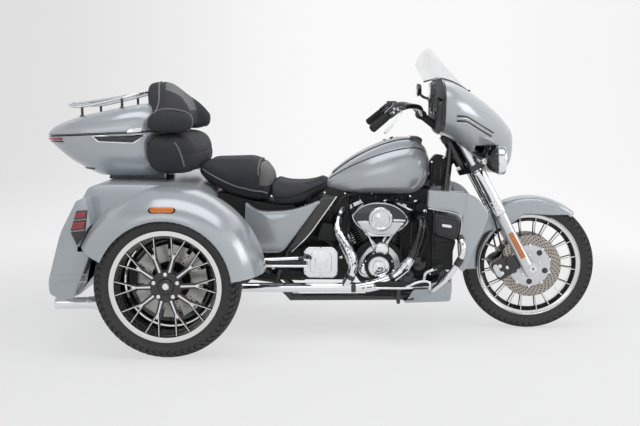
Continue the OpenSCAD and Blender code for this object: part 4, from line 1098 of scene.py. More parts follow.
class TRIKE_OT_seats(bpy.types.Operator):
    """Rider's seat, passenger's seat and the two back pads: swollen vinyl with seams, panels and piping"""
    bl_idname = "trike.seats"
    bl_label = "Seats and pads"

    def execute(self, context):
        sizes = context.scene.trike_sizes
        welt, cap = sizes.welt / MM, sizes.swell
        hides = finishes("vinyl", "grey vinyl")
        rider = [(-258, .95, 628, 740), (-200, .98, 626, 717), (-120, .92, 642, 713), (-50, .64, 672, 726),
                 (8, .38, 694, 752)]
        pillion = [(-608, .84, 768, 817), (-560, .915, 734, 827), (-460, .95, 678, 831), (-360, .97, 648, 833),
                   (-302, .95, 640, 818), (-268, .90, 632, 768)]
        r_rows, p_rows = seat_rows(rider), seat_rows(pillion)

        def low_edge(rows):
            return lambda p: p[:, 2] - (flow_at(rows, p[:, 0])[:, 3] + 26)

        seat = cushion(Shape().grid(rings_x(flow(r_rows, 8), 64), wrap=True, ends=True), "rider_seat", hides,
                       "chassis",
                       "rider_seat", cap=cap, seams=[(low_edge(r_rows), 4, 6),
                                                          (lambda p: np.abs(p[:, 1])
                                                           - flow_at(r_rows, p[:, 0])[:, 2] * .62
                                                           + 99 * (p[:, 2] < 690), 3.5, 5)],
                       bounds=lambda p: xyz(np.minimum(p[:, 0], SEAT_X + 14), p[:, 1], p[:, 2]))
        back = cushion(Shape().grid(rings_x(flow(p_rows, 8), 64), wrap=True, ends=True), "pillion_seat", hides,
                       "chassis",
                       "pillion_seat", cap=cap,
                       seams=[(low_edge(p_rows), 4, 6), (lambda p: p[:, 0] - (SEAT_X - 312), 5, 5)],
                       panel=lambda c: (c[:, 0] > SEAT_X - 312) & (c[:, 2] > 716))

        # Upper pad: rings across Y, high in the middle and low over the arms, with a lighter front panel
        x, w = CASE_X + 287, CASE_HALF
        half = [(0, x - 90, x + 70, 974, 1208, .6, -.42), (w * .45, x - 78, x + 86, 974, 1160, .6, -.3),
                (w * .8, x - 56, x + 134, 974, 1092, .6, -.1), (w * .98, x - 66, x + 142, 974, 1056, .6, 0),
                (w * 1.03, x - 26, x + 106, 992, 1026, .7, 0)]
        rows = np.array([(-r[0], *r[1:]) for r in half[:0:-1]] + half)
        upper = cushion(Shape().grid(rings_y(flow(rows, 8), 56), wrap=True, ends=True), "upper_back_pad", hides,
                        "case_lid", "upper_back_pad", cap=cap,
                        seams=[(lambda p: np.abs(p[:, 1]) - w * .93, 4, 5),
                               (lambda p: p[:, 0] + .42 * (p[:, 2] - 1090) - (x + 4), 3, 5)],
                        panel=lambda c: (c[:, 0] + .42 * (c[:, 2] - 1090) > x + 26) & (np.abs(c[:, 1]) < w * .44)
                        & (c[:, 2] > 1066))
        half = [(0, x - 56, x + 168, 788, 954, .5, -.25), (w * .7, x - 56, x + 160, 788, 954, .55, -.2),
                (w * .95, x - 72, x + 144, 788, 952, .6, -.15), (w * 1.01, x - 36, x + 104, 814, 926, .7, -.1)]
        rows = np.array([(-r[0], *r[1:]) for r in half[:0:-1]] + half)
        lower = cushion(Shape().grid(rings_y(flow(rows, 8), 56), wrap=True, ends=True), "lower_back_pad", hides[:1],
                        "chassis", "lower_back_pad", cap=cap * .8,
                        seams=[(lambda p: p[:, 0] - x - 104 + (p[:, 2] - 872) * .35 + 99 * (np.abs(p[:, 1]) < w * .9),
                                4, 5),
                               (lambda p: p[:, 2] - 874 + 99 * (p[:, 0] < x + 120), 3, 5)])

        # Piping laid on the swollen skins
        for obj, body, name, lines, cover in (
                (seat, "chassis", "rider_seat_welt", self.edge_lines(r_rows, 26), "welt"),
                (back, "chassis", "pillion_seat_welt", self.edge_lines(p_rows, 26)
                 + [self.ring_line(p_rows, SEAT_X - 312)], "grey welt"),
                (upper, "case_lid", "upper_pad_welt", [self.arm_ring(s * w * .93, x) for s in (-1, 1)]
                 + [xyz(x + 4 - .42 * (1224 - 1090 - .0026 * y ** 2 * .4), y, 1260 - .003 * y ** 2)
                    for y in (np.linspace(-w * .9, w * .9, 50),)], "grey welt"),
                (lower, "chassis", "lower_pad_welt", [self.side_ring(s, x, w) for s in (-1, 1)], "grey welt")):
            shape = Shape()
            for line in lines:
                shape.sweep(self.smooth(on_skin(obj, line, welt * .3)), welt, 10)
            shape.piece(name, body, finish(cover), slot="vinyl")
        return {"FINISHED"}

    @staticmethod
    def smooth(line):
        """A line whose points are averaged with their neighbours."""
        for _ in range(2):
            line = np.vstack([line[:1], (line[:-2] + 2 * line[1:-1] + line[2:]) / 4, line[-1:]])
        return line

    @staticmethod
    def edge_lines(rows, up):
        """Both lower edges of a seat, up above its lowest line."""
        x = np.linspace(rows[0, 0] + 6, rows[-1, 0] - 6, 60)
        s = flow_at(rows, x)
        return [xyz(x, side * (s[:, 2] + 30), s[:, 3] + up) for side in (-1, 1)]

    @staticmethod
    def ring_line(rows, x):
        """Line over a seat from side to side."""
        s = flow_at(rows, x)
        a = np.linspace(math.radians(8), math.radians(172), 40)
        return xyz(x, s[2] * 1.15 * spow(np.cos(a), s[7]), s[4] + (s[5] - s[4] + 20) * spow(np.sin(a), s[7]))

    @staticmethod
    def arm_ring(y, x):
        """Ring round an arm of the upper pad."""
        a = np.linspace(-2.4, 2.4, 40)
        return xyz(x + 36 + 130 * np.sin(a), y, 1016 + 70 * np.cos(a))

    @staticmethod
    def side_ring(side, x, w):
        """Bowed line down a side of the lower pad, near its front."""
        a = np.linspace(-1, 1, 40)
        return xyz(x + 104 - 26 * a - 14 * a * a, side * (w * 1.2), 872 + 74 * a)


class TRIKE_OT_rear_body(bpy.types.Operator):
    """Trunk, its door, the corners behind the wheels, rear fenders and tail lights"""
    bl_idname = "trike.rear_body"
    bl_label = "Rear body"

    def execute(self, context):
        rx = REAR_X
        outline = round_outline([(rx + x, z) for x, z in (
            (164, 676), (126, 712), (60, 741), (-180, 746), (-340, 746), (-376, 731), (-400, 685), (-480, 540),
                                                          (-546, 324),
            (-542, 265), (-500, 240), (-430, 240), (-388, 300), (-366, 400), (-330, 446), (110, 446), (160, 472),
                                                          (170, 540))],
            [14, 20, 40, 60, 30, 16, 7, 40, 18, 14, 12, 14, 20, 24, 14, 14, 14, 30])
        n = 5
        top, bottom = np.array([rx - 404.8, 676.2]), np.array([rx - 524.7, 393.6])
        outline = np.insert(outline, [7 * n, 8 * n], [top, bottom], axis=0)
        first, last = 7 * n, 8 * n + 1

        def shell(line, y_rows, wall):
            """Outer and inner walls over a line in X and Z and rows of (inset, y)."""
            return (np.array([np.insert(inset(line, d), 1, y, axis=1) for d, y in y_rows]),
                    np.array([np.insert(inset(line, max(d, 0) + wall), 1, np.sign(y) * min(abs(y), WELL_Y - wall),
                                        axis=1) for d, y in y_rows]))

        a = np.linspace(0, np.pi / 2, 5)
        edge = [(9 * (1 - math.sin(q)), WELL_Y - 9 * (1 - math.cos(q))) for q in a]
        rows = [(d, -y) for d, y in edge] + [(0, y) for y in (-285, -140, 0, 140, 285)] + [(d, y)
                for d, y in edge[::-1]]
        outer, inner = shell(outline, rows, 6.0)
        m = len(outline)
        cells = np.ones((len(rows) - 1, m), bool)
        lines = np.array([y for _, y in rows])
        between = (lines[:-1] >= -285.1) & (lines[1:] <= 285.1)
        cells[np.ix_(between, np.arange(first, last))] = False
        trunk = Shape().grid(outer, wrap=True, keep=cells)
        trunk.grid(inner, wrap=True, keep=cells, flip=True)
        for k, side in ((0, True), (len(rows) - 1, False)):
            for ring, turn in ((outer[k], side), (inner[k], not side)):
                middle = ring + (np.array([rx - 150, 0, 590]) * [1, 0, 1] + ring * [0, 1, 0] - ring) * 0.45
                trunk.grid(np.array([ring, middle]), wrap=True, flip=turn)
                trunk.grid(np.array([middle, np.tile(middle.mean(0), (m, 1))]), wrap=True, flip=turn)
        k0, k1 = np.flatnonzero(between)[[0, -1]] + [0, 1]
        trunk.grid(np.array([outer[k0:k1 + 1, first], inner[k0:k1 + 1, first]]))
        trunk.grid(np.array([outer[k0:k1 + 1, last], inner[k0:k1 + 1, last]]), flip=True)
        trunk.grid(np.array([outer[k0, first:last + 1], inner[k0, first:last + 1]]), flip=True)
        trunk.grid(np.array([outer[k1, first:last + 1], inner[k1, first:last + 1]]))

        # Corners behind the wheels: their inner edge follows the fender's arch
        arc = np.radians(np.linspace(160.8, 143.4, 12))
        corner = [(-343.7, 140), (-402.3, 140)] + [(426 * math.cos(q), 426 * math.sin(q)) for q in arc[1:-1]] + [
            (-341.5, 254.3), (-360, 378), (-404, 362), (-480, 218), (-540, 2), (-536, -54), (-500, -76), (-430, -76),
                (-366, 78)]
        radii = [4, 4] + [0.5] * 10 + [4, 12, 14, 40, 16, 12, 12, 14, 20]
        corners = Shape().plate([(rx + x, REAR_Z + z) for x, z in corner], radii, WELL_Y - 26, TAIL_Y, 7,
                                4).mirrored()
        trunk.join(corners)
        knuckle = Shape()
        for side in (-1, 1):
            knuckle.lathe(DOOR_HINGE + [0, side * 170, 0], rod(8, -20, 20, 0.8, 1), 24, mark=1)
            knuckle.slab(oblong(rx - 530, 358, rx - 506, 381), side * 170 - 20, side * 170 + 20, 2, mark=1)
        trunk.join(knuckle)
        trunk.piece("trunk", "chassis", finishes("paint", "alloy"), "trunk", "paint")

        # Door: the part of the back between the gaps, with its own walls, a handle and the plate's bracket
        down = (bottom - outline[last - 1]) / np.linalg.norm(bottom - outline[last - 1])
        part = np.vstack([top + (outline[first + 1] - top) / np.linalg.norm(outline[first + 1] - top) * 5.5,
                          outline[first + 1:last], bottom - down * 5.5])
        door = Shape()
        doors = (-279, -277, -140, 0, 140, 277, 279)
        depth = np.array([2.0, 0, 0, 0, 0, 0, 2.0])
        across = np.gradient(part, axis=0)
        across = np.stack([across[:, 1], -across[:, 0]], 1) / np.linalg.norm(across, axis=1, keepdims=True)
        face = np.array([np.insert(part - across * d, 1, y, axis=1) for y, d in zip(doors, depth)])
        back = np.array([np.insert(part - across * 7, 1, y, axis=1) for y in doors])
        door.grid(face).grid(back, flip=True)
        for k in (0, -1):
            door.grid(np.array([face[k], back[k]]), flip=k == 0)
            door.grid(np.array([face[:, k], back[:, k]]), flip=k == -1)
        plate_x, plate_z = rx - 512, 470
        door.plate(at_x(plate_x, [(0, plate_z - 15), (47, plate_z - 15), (34, plate_z + 15), (0, plate_z + 15)]), 3,
                   -105, 105, 3, mark=1)
        for y in (-89, 89):
            door.lathe((plate_x - 1, y, plate_z), [(0, 1), (9, 1), (9, -2), (7.6, -3.2), (3.4, -3.4), (3.4, 8)], 24,
                       mark=2, axis="x")
        door.plate(at_x(rx, [(-416, 640), (-436, 612), (-428, 604), (-404, 634)]), 5, -60, 60, 4, mark=2)
        for side in (-1, 1):
            door.lathe(DOOR_HINGE + [0, side * 117, 0], rod(8, -25, 25, 0.8, 1), 24, mark=3)
            door.slab(at_x(rx, [(-530, 393), (-514, 393), (-511, 407), (-526, 407)]), side * 117 - 25,
                      side * 117 + 25, 2, mark=3)
        door.lathe(DOOR_HINGE, oblong(0, -200, 4, 200), 20, mark=3)
        door.piece("trunk_door", "tailgate", finishes("paint", "plastic", "chrome", "alloy"), "trunk_door", "paint",
                   outward=True)

        # Fenders: the roof and its inner skin carried round the axle, with a rolled lip
        angles = np.linspace(6.4, 156.6, 121)[:, None]
        t = 1 - (1 - np.linspace(0, 1, 41)[None]) ** 2
        roof = fender_point(angles, t)
        under = fender_point(angles, t * 0.985, -5.0)
        r = np.hypot(under[..., 0] - rx, under[..., 2] - REAR_Z)
        grow = np.maximum(1, (LIP_R + 0.5) / r)[..., None]
        under = (under - [rx, 0, REAR_Z]) * np.where([True, False, True], grow, 1) + [rx, 0, REAR_Z]
        fender = Shape()
        fender.grid(roof).grid(under, flip=True)
        fender.grid(np.stack([roof[:, -1], under[:, -1]], 1))
        fender.grid(np.stack([roof[:, 0], under[:, 0]], 1), flip=True)
        fender.grid(np.stack([roof[0], under[0]])).grid(np.stack([roof[-1], under[-1]]), flip=True)
        lip = fender_point(angles[:, 0], 1.0) + [0, -5.5, 0]
        fender.sweep(lip, 5.2, 12)
        a = np.radians(angles)
        wall_r = np.array([ARCH_R - 1, ARCH_R + 30, CROWN_R - 3])[None]
        for y, turn in ((WELL_Y + 0.3, False), (WELL_Y + 6, True)):
            fender.grid(xyz(rx + wall_r * np.cos(a), y, REAR_Z + wall_r * np.sin(a)), flip=turn)
        fender.mirrored()
        fender.piece("rear_fenders", "chassis", finish("paint"), "rear_fenders", "paint", outward=True, sharp=50)

        # Side markers set into the fenders, tail lights and reflectors
        marker = Shape()

        def to_fender(p):
            return fender_point(p[..., 0], p[..., 2], p[..., 1])
        mid = np.array([90, .934])
        for grow, mark, rise in ((1.16, 1, 2.2), (1.0, 0, 5.0)):
            edge_ = round_outline(oblong(81.5, .905, 98.5, .962), 3.2 * grow, 6)
            edge_ = (edge_ - mid) * grow + mid
            lens_rows = [np.insert(edge_, 1, y, axis=1) for y in (-2.0, rise * .7)]
            lens_rows += [np.insert(mid + (edge_ - mid) * k, 1, rise * (0.7 + 0.3 * (1 - k ** 2)), axis=1)
                          for k in (.95, .8, .5, .02)]
            marker.grid(to_fender(np.array(lens_rows)), mark, wrap=True)
        marker.mirrored()
        marker.piece("side_markers", "chassis", finishes("amber lens", "gloss black"), slot="red_lens", outward=True)

        lights = Shape()
        shell_ = round_outline(at_x(rx, [(-352, 644), (-402, 640), (-432, 548), (-404, 484), (-366, 545)]),
                               [6, 6, 8, 8, 10])
        lights.slab(shell_, TAIL_Y - 1, TAIL_Y + 4, 3, mark=1)
        for bar_ in ([(-358, 636), (-400, 634), (-410, 606), (-362, 612)],
                     [(-363, 595), (-414, 589), (-426, 557), (-371, 563)]):
            lights.plate(np.array(bar_) + [rx, 0], 4, TAIL_Y + 1, TAIL_Y + 11, 3)
        for x0, z0, x1, z1 in ((-413, 598, -361, 604), (-428, 549, -372, 556)):
            lights.sweep([[rx + x0, TAIL_Y + 5, z0], [rx + x1, TAIL_Y + 5, z1]], 2.6, 10, mark=2)
        for slot_ in ([(-378, 544), (-424, 538), (-414, 522), (-380, 528)],
                      [(-384, 516), (-410, 510), (-404, 498), (-390, 502)]):
            lights.plate(np.array(slot_) + [rx, 0], 3, TAIL_Y + 1, TAIL_Y + 9, 2, mark=1)
        lights.mirrored()
        lights.piece("tail_lights", "chassis", finishes("red lens", "gloss black", "white lens"), "tail_lights",
                     "red_lens")

        # Creases low on the corners
        lines_ = Shape()
        for z, r_ in ((324, 3.0), (356, 2.0)):
            lines_.sweep([[rx - 536 + (z - 324) * .3, TAIL_Y - 8, z], [rx - 526 + (z - 324) * .3, TAIL_Y + 0.5, z],
                          [rx - 366, TAIL_Y + 0.5, z]], r_, 8)
        lines_.mirrored()
        lines_.piece("corner_trim", "chassis", finish("paint"), slot="paint")
        return {"FINISHED"}


class TRIKE_OT_top_case(bpy.types.Operator):
    """Top case with its lid, latch, rear lens strip and the rack on top"""
    bl_idname = "trike.top_case"
    bl_label = "Top case"

    def execute(self, context):
        n = 160
        box, lid = case_rows(), lid_rows()
        outer = rings_z(flow(box, 10), n)
        wall = flow(case_rows(6), 10)
        inner = rings_z(wall, n)
        inner[-1] += outer[-1].mean(0) * [0, 0, 1] - inner[-1].mean(0) * [0, 0, 1]
        case = Shape().grid(np.concatenate([outer, inner[::-1]]), wrap=True, ends=True)
        # Knuckles of the lid's hinge on the left
        hinge = np.array([CASE_X, CASE_HALF + 14, SEAM_Z - 3])
        for k in (-130, 90):
            case.lathe(hinge + [k, 0, 0], rod(8, 0, 40, 0.8, 1), 24, axis="x", mark=1)
            case.slab(oblong(CASE_X + k, SEAM_Z - 31, CASE_X + k + 40, SEAM_Z - 9),
                      CASE_HALF - 26, CASE_HALF + 15, 2, mark=1)
        case.piece("top_case", "chassis", finishes("paint", "alloy"), "top_case", "paint", outward=True)

        over, under = rings_z(flow(lid, 12), n), rings_z(flow(lid_rows(6), 12), n)
        under[0] += over[0].mean(0) * [0, 0, 1] - under[0].mean(0) * [0, 0, 1]
        cover = Shape().grid(np.concatenate([under[::-1], over]), wrap=True, ends=True)
        for k in (-88, 48):
            cover.lathe(hinge + [k, 0, 0], rod(8, 0, 40, 0.8, 1), 24, axis="x", mark=1)
            cover.slab(oblong(CASE_X + k, SEAM_Z + 2, CASE_X + k + 40, SEAM_Z + 16),
                       CASE_HALF - 26, CASE_HALF + 19, 2, mark=1)
        cover.lathe(hinge + [-130, 0, 0], oblong(0, 0, 4, 260), 20, axis="x", mark=1)
        cover.piece("top_case_lid", "case_lid", finishes("paint", "alloy"), "top_case_lid", "paint", outward=True)

        # Latch under the seam on the right, the lens strip and bumper round the back, and feet
        trim = Shape()
        plate = np.array([(-1062, 957), (-1035, 926), (-868, 917), (-812, 962), (-840, 964)], float)
        half = lambda x, z: case_side(box, x, z)
        trim.plate(plate, 8, -4, 5, 2.5, mark=1, to=on_side(half))
        middle = plate.mean(0)
        trim.plate(middle + (plate - middle) * [.93, .72], 8, 3, 8, 2.5, to=on_side(half))
        a = np.linspace(math.radians(118), math.radians(242), 60)
        for z, r_, mark in ((947, 6.5, 2), (934, 3.2, 0), (800, 5.0, 0)):
            s = flow_at(box, z)
            x = s[2] * spow(np.cos(a), .6)
            line = xyz(s[1] + x - 1.2, (s[3] + 0.5) * spow(np.sin(a), .6), z + s[5] * x)
            trim.sweep(line, r_, 10, mark=mark)
        for side in (-1, 1):
            for x in (CASE_X + 22, CASE_X + 176):
                trim.plate(at_x(x, [(-22, 744), (22, 744), (14, 772), (-14, 772)]), 5, side * 98, side * 138, 3)
        trim.piece("top_case_trim", "chassis", finishes("gloss black", "chrome", "red lens"), slot="black_gloss",
                   outward=True)

        # Seam bead of the lid, with a bright catch over the latch
        bead = Shape()
        a = circle(160)
        s = lid[0]
        x = s[2] * spow(np.cos(a), .6)
        ring = xyz(s[1] + x, s[3] * spow(np.sin(a), .6), s[0] + 3 + s[5] * x)
        section = circle(8)
        centre = np.array([s[1], 0, s[0]])
        out = (ring - centre) * [1, 1, 0]
        out /= np.linalg.norm(out, axis=1, keepdims=True)
        bead.grid(ring[:, None]
                  + 2.2 * (np.cos(section)[None, :, None] * out[:, None]
                           + np.sin(section)[None, :, None] * np.array([0, 0, 1.0])),
                  wrap=True, loop=True)
        catch = round_outline([(-900, 969), (-838, 973), (-826, 992), (-888, 990)], 6)
        bead.slab(catch, -3, 5, 2.5, mark=1, to=on_side(lambda x, z: case_side(lid, x, z)))
        bead.piece("lid_bead", "case_lid", finishes("gloss black", "chrome"), slot="black_gloss", outward=True)

        # Rack: a loop of rod with two inner rods on posts
        rack = Shape()
        x, w = CASE_X, CASE_HALF * .56
        loop = bent_line(at_x(x, [[-190, 0, 1096], [-190, w - 40, 1096], [-160, w, 1086], [-100, w, 1088],
                                  [100, w, 1132], [160, w - 20, 1150], [172, 0, 1154]]), 40, 9)
        rack.sweep(loop, 6.5, 14)
        for share in (.15, .55):
            y = w * share
            rack.sweep(bent_line(at_x(x, [[-188, y, 1094], [-172, y, 1104], [-140, y, 1102], [120, y, 1143],
                                          [171, y, 1152]]), 20), 4.6, 12)
        for px in (-110, 80):
            top = 1084 + (px + 110) * .23
            base = top_of_lid(x + px, w) - 6
            rack.sweep([[x + px, w, base], [x + px, w, top]], 6.5, 14, mark=1)
            rack.lathe((x + px, w, base), [(0, 0), (13, 0), (13, 5), (10, 9), (6, 12), (0, 12)], 24, axis="z", mark=1)
        rack.mirrored()
        rack.piece("luggage_rack", "case_lid", finishes("chrome", "gloss black"), "luggage_rack", "chrome",
                   outward=True)
        return {"FINISHED"}


def top_of_lid(x, y):
    """Height of the lid above a place: the highest ring that still reaches it."""
    s = flow(lid_rows(), 24)
    e = 2 / s[:, 4]
    inside = np.abs((x - s[:, 1]) / s[:, 2]) ** e + np.abs(y / s[:, 3]) ** e < 1
    k = np.flatnonzero(inside)[-1]
    return s[k, 0] + s[k, 5] * (x - s[k, 1])


class TRIKE_OT_fairing(bpy.types.Operator):
    """Fairing shell with its openings, vents and trim, the inner panel with its dials, and the windscreen"""
    bl_idname = "trike.fairing"
    bl_label = "Fairing"

    def execute(self, context):
        rows = fairing_rows()
        x0 = FAIRING_X
        fine = flow(rows, 22)
        skin = rings_x(fine, 288)
        holes = ((HEADLAMP, HEADLAMP_HOLE, x0 + 290), (LAMP_BAY, BAY_HOLE, x0 + 150),
                 (LAMP_BAY * [-1, 1], BAY_HOLE, x0 + 150))

        def hole(p, centre, r, ahead):
            """Distance inside a round opening along X, ahead of a place; positive is inside."""
            return np.where(p[..., 0] > ahead, r - np.hypot(p[..., 1] - centre[0], p[..., 2] - centre[1]), -1)
        cells = (skin[:-1] + skin[1:] + np.roll(skin[:-1], -1, 1) + np.roll(skin[1:], -1, 1)) / 4
        opened = np.any([hole(cells, *h) > 0 for h in holes], axis=0)
        slot = (cells[..., 0] < x0 + 220) & (np.abs(cells[..., 1]) < NECK_HALF) & (cells[..., 2] < 1030)
        keep = ~(opened | slot)
        # Points left just inside a round opening move out to its edge
        for c, r, ahead in holes:
            d = skin[..., 1:] - c
            far = np.linalg.norm(d, axis=-1, keepdims=True)
            inside = (far[..., 0] < r) & (skin[..., 0] > ahead)
            skin[..., 1:] = np.where(inside[..., None] & (far > r - 14), c + d / np.maximum(far, 1) * r,
                                     skin[..., 1:])
        far = np.abs(skin[..., 1])
        edge = (far < NECK_HALF) & (far > NECK_HALF - 8) & (skin[..., 0] < x0 + 220) & (skin[..., 2] < 1030)
        skin[..., 1] = np.where(edge, np.sign(skin[..., 1]) * NECK_HALF, skin[..., 1])
        shell = Shape().grid(skin, wrap=True, keep=keep)
        shell.piece("fairing", "steered_front", finish("paint"), "fairing", "paint", wall=4.5, weld=False, sharp=60)

        # Bead round the rear edge, vents with bright edges, and a band under the screen
        trim = Shape()
        back = flow_at(rows, x0 + 1.5)
        ring = rings_x(back[None], 160)[0]
        section = circle(10)
        centre = ring.mean(0)
        out = (ring - centre) * [0, 1, 1]
        out /= np.linalg.norm(out, axis=1, keepdims=True)
        trim.grid((ring - out)[:, None] + 4.2 * (np.cos(section)[None, :, None] * out[:, None]
                  + np.sin(section)[None, :, None] * np.array([1.0, 0, 0])), wrap=True, loop=True)
        half = lambda x, z: side_of(rows, x, z)
        for side in (-1, 1):
            for drop, cut in ((0, 0), (21, 10)):
                # Vent: a dark bent slot with a bright lip under it
                bend = bent_line([[601, 0, 1050 - drop], [643, 0, 1048 - drop],
                                  [781 - cut, 0, 970 - drop + cut * .6]], 18, 6)
                for low, size, mark in ((0, 5.0, 0), (7.0, 2.8, 1)):
                    z = bend[:, 2] - low
                    trim.sweep(xyz(bend[:, 0], side * (half(bend[:, 0], z) + .6), z), size, 10, mark=mark)
        trim.piece("fairing_trim", "steered_front", finishes("gloss black", "chrome"), slot="black_gloss",
                   outward=True)

        # Rings round the passing lamps' bays
        rims = Shape()
        for side in (-1, 1):
            a = circle(96)
            y, z = side * LAMP_BAY[0] + BAY_HOLE * np.cos(a), LAMP_BAY[1] + BAY_HOLE * np.sin(a)
            x = self.skin_x(fine, y, z)
            ok = ~np.isnan(x)
            line = xyz(x, y, z)
            runs = np.flatnonzero(ok)
            if len(runs) > 10:
                gap_at = np.flatnonzero(np.diff(runs) > 1)
                order = np.concatenate([runs[gap_at[0] + 1:], runs[:gap_at[0] + 1]]) if len(gap_at) else runs
                rims.sweep(line[order], 3.0, 8)
        if rims.count:
            rims.piece("lamp_bay_rims", "steered_front", finish("gloss black"), slot="black_gloss", outward=True)

        # Inner panel with a raised cluster, dials in bright rings, vents' ribs and speaker rings
        panel = Shape()
        s = fairing_rows(1)[0]
        ring = rings_x(s[None], 160)[0][:, [1, 2]]
        mid = np.array([0, 1090.0])
        spread = np.array([1.0, .985, .93, .8, .62, .45])
        depth = np.array([0, -1, -9, -20, -24, -24.0])
        front = np.array([np.insert(mid + (ring - mid) * k, 0, x0 - 1 + d * 0.55, axis=1)
                          for k, d in zip(spread, depth)])
        panel.grid(front, wrap=True, flip=True)
        panel.grid(np.array([front[-1], np.tile(front[-1].mean(0), (len(ring), 1))]), wrap=True, flip=True)
        panel.grid(np.array([front[0], front[0] + [8, 0, 0]]), wrap=True)
        panel.grid(np.array([front[0] + [8, 0, 0], mid_row(front[0], 8)]), wrap=True)
        for y, z, r in ((-90, 1100, 44), (90, 1100, 44), (-200, 1096, 26), (200, 1096, 26)):
            at = (x0 - 12, y, z)
            panel.lathe(at, [(r + 7, 8), (r + 7, -4), (r + 3, -9), (r, -8), (r - 2, -3), (r - 2, 8)], 48, mark=2,
                        axis="x")
            panel.lathe(at, [(r - 1, -3), (r * .5, -3.6), (0.2, -3.8)], 48, mark=2, axis="x")
        for z in np.linspace(990, 1030, 5):
            panel.sweep([[x0 - 9, -150, z], [x0 - 13, 0, z], [x0 - 9, 150, z]], 3.2, 8)
        for side in (-1, 1):
            at = (x0 - 4, side * 305, 1070)
            for r in (58, 44, 30, 16):
                panel.lathe(at, [(r + 3, 4), (r + 3, -4), (r, -6), (r - 3, -4), (r - 3, 4)], 48, axis="x")
        panel.piece("inner_fairing", "steered_front", finishes("plastic", "chrome", "gloss black"), "inner_fairing",
                    "black_plastic", outward=True)

        # Screen: a curved sheet that leans back, wider at its foot, from the fairing's skin up
        def screen(u, k):
            w = 2 * FAIRING_HALF * (.40 - .19 * u * u)
            return xyz(TANK_X + 212 - 214 * u - (150 - 78 * u) * k * k, w * k, 1126 + 240 * u - (20 + 26 * u) * k * k)
        k = np.linspace(-1, 1, 81)
        probe = np.linspace(0, 1, 401)[:, None]
        p = screen(probe, k[None])
        above = p[..., 2] > top_of(rows, p[..., 0], p[..., 1])
        above &= ~((p[..., 0] < x0) & (probe < .15))
        foot = probe[np.argmax(above, axis=0), 0]
        u = np.linspace(0, 1, 41)[:, None]
        round_top = 1 - .16 * np.abs(k[None]) ** 6
        start = np.maximum(foot[None] - .02, 0)
        sheet = screen(start + (round_top - start) * u, k[None])
        glass = Shape().grid(sheet, flip=True)
        glass = glass.piece("windscreen", "steered_front", finish("screen"), "windscreen", "clear_screen", sharp=60)
        solid = glass.modifiers.new("sheet", "SOLIDIFY")
        solid.thickness, solid.offset = context.scene.trike_sizes.glass, -1
        edge = Shape().sweep(bent_line(screen(foot, k) + [1, 0, 2], 5, 3), 4.2, 10)
        lid = [screen(np.float64(uu), np.float64(0)) for uu in (foot[40] + .02, foot[40] + .16)]
        edge.sweep(bent_line([lid[0] + [4, -70, 0], lid[0] + [5, 0, 0], lid[0] + [4, 70, 0]], 20), 6.0, 10)
        edge.piece("screen_trim", "steered_front", finish("gloss black"), slot="black_gloss", outward=True)
        return {"FINISHED"}

    @staticmethod
    def skin_x(fine, y, z):
        """How far forward the fairing's skin is at a place seen from the front."""
        s = fine[:, None, :]
        up = z[None] > s[..., 4]
        reach, e = np.where(up, s[..., 5] - s[..., 4], s[..., 4] - s[..., 3]), np.where(up, s[..., 7], s[..., 6])
        f = np.abs(y[None] / s[..., 2]) ** (2 / e) + np.abs((z[None] - s[..., 4]) / reach) ** (2 / e)
        inside = f < 1
        last = len(fine) - 1 - np.argmax(inside[::-1], axis=0)
        return np.where(inside.any(0), fine[last, 0], np.nan)


def mid_row(ring, x):
    """A ring's middle, repeated, moved along X."""
    return np.tile(ring.mean(0) + [x, 0, 0], (len(ring), 1))


class TRIKE_OT_lamps(bpy.types.Operator):
    """Headlamp with its lens and rim, passing lamps in their bowls, and their brackets"""
    bl_idname = "trike.lamps"
    bl_label = "Lamps"

    def execute(self, context):
        x0 = FAIRING_X
        lamps = Shape()
        at = (x0 + 300, *HEADLAMP)
        lamps.lathe(at, [(0, -10), (70, -8), (80, 0), (84, 6), (86, 30), (84, 46), (78, 52), (73, 50), (72, 44),
                         (72, 10), (0, 6)], 96, mark=1, axis="x")
        a = np.linspace(0, 1, 14)
        lamps.lathe(at, [(74 * r, 46 + 18 * (1 - r * r)) for r in a[::-1]] + [(0.1, 40), (74, 40)], 96, mark=2,
                    axis="x")
        for side in (-1, 1):
            bowl = (x0 + 208, side * LAMP_BAY[0], LAMP_BAY[1])
            lamps.lathe(bowl, [(0, 2), (26, 4), (42, 12), (54, 30), (62, 54), (64, 62)], 64, axis="x")
            lamps.lathe(bowl, [(62, 50), (66, 54), (67, 70), (66, 82), (62, 87), (57, 85), (56, 78), (56, 52)], 64,
                        mark=1, axis="x")
            lamps.lathe(bowl, [(57 * r, 80 + 9 * (1 - r * r)) for r in a[::-1]] + [(0.1, 70), (57, 70)], 64, mark=2,
                        axis="x")
            for r in (20, 38):
                lamps.lathe(bowl, [(r + 1, 82 + 7 * (1 - (r / 57) ** 2)), (r, 84.5 + 7 * (1 - (r / 57) ** 2)),
                                   (r - 1, 82 + 7 * (1 - (r / 57) ** 2))], 64, mark=2, axis="x")
            start = in_fork([FORK_OFFSET + 36, side * (LEG_Y + 32), YOKES[0]])
            lamps.sweep(bent_line([start, [x0 + 190, side * 200, 832], [x0 + 214, side * 240, 841]], 30), 9, 14,
                        mark=1)
            lamps.lathe((x0 + 206, side * 222, 838), rod(14, -14, 14, 1, 2), 24, mark=1)
        lamps.piece("lamps", "steered_front", finishes("gloss black", "chrome", "white lens"), "lamps", "chrome",
                    outward=True)
        return {"FINISHED"}


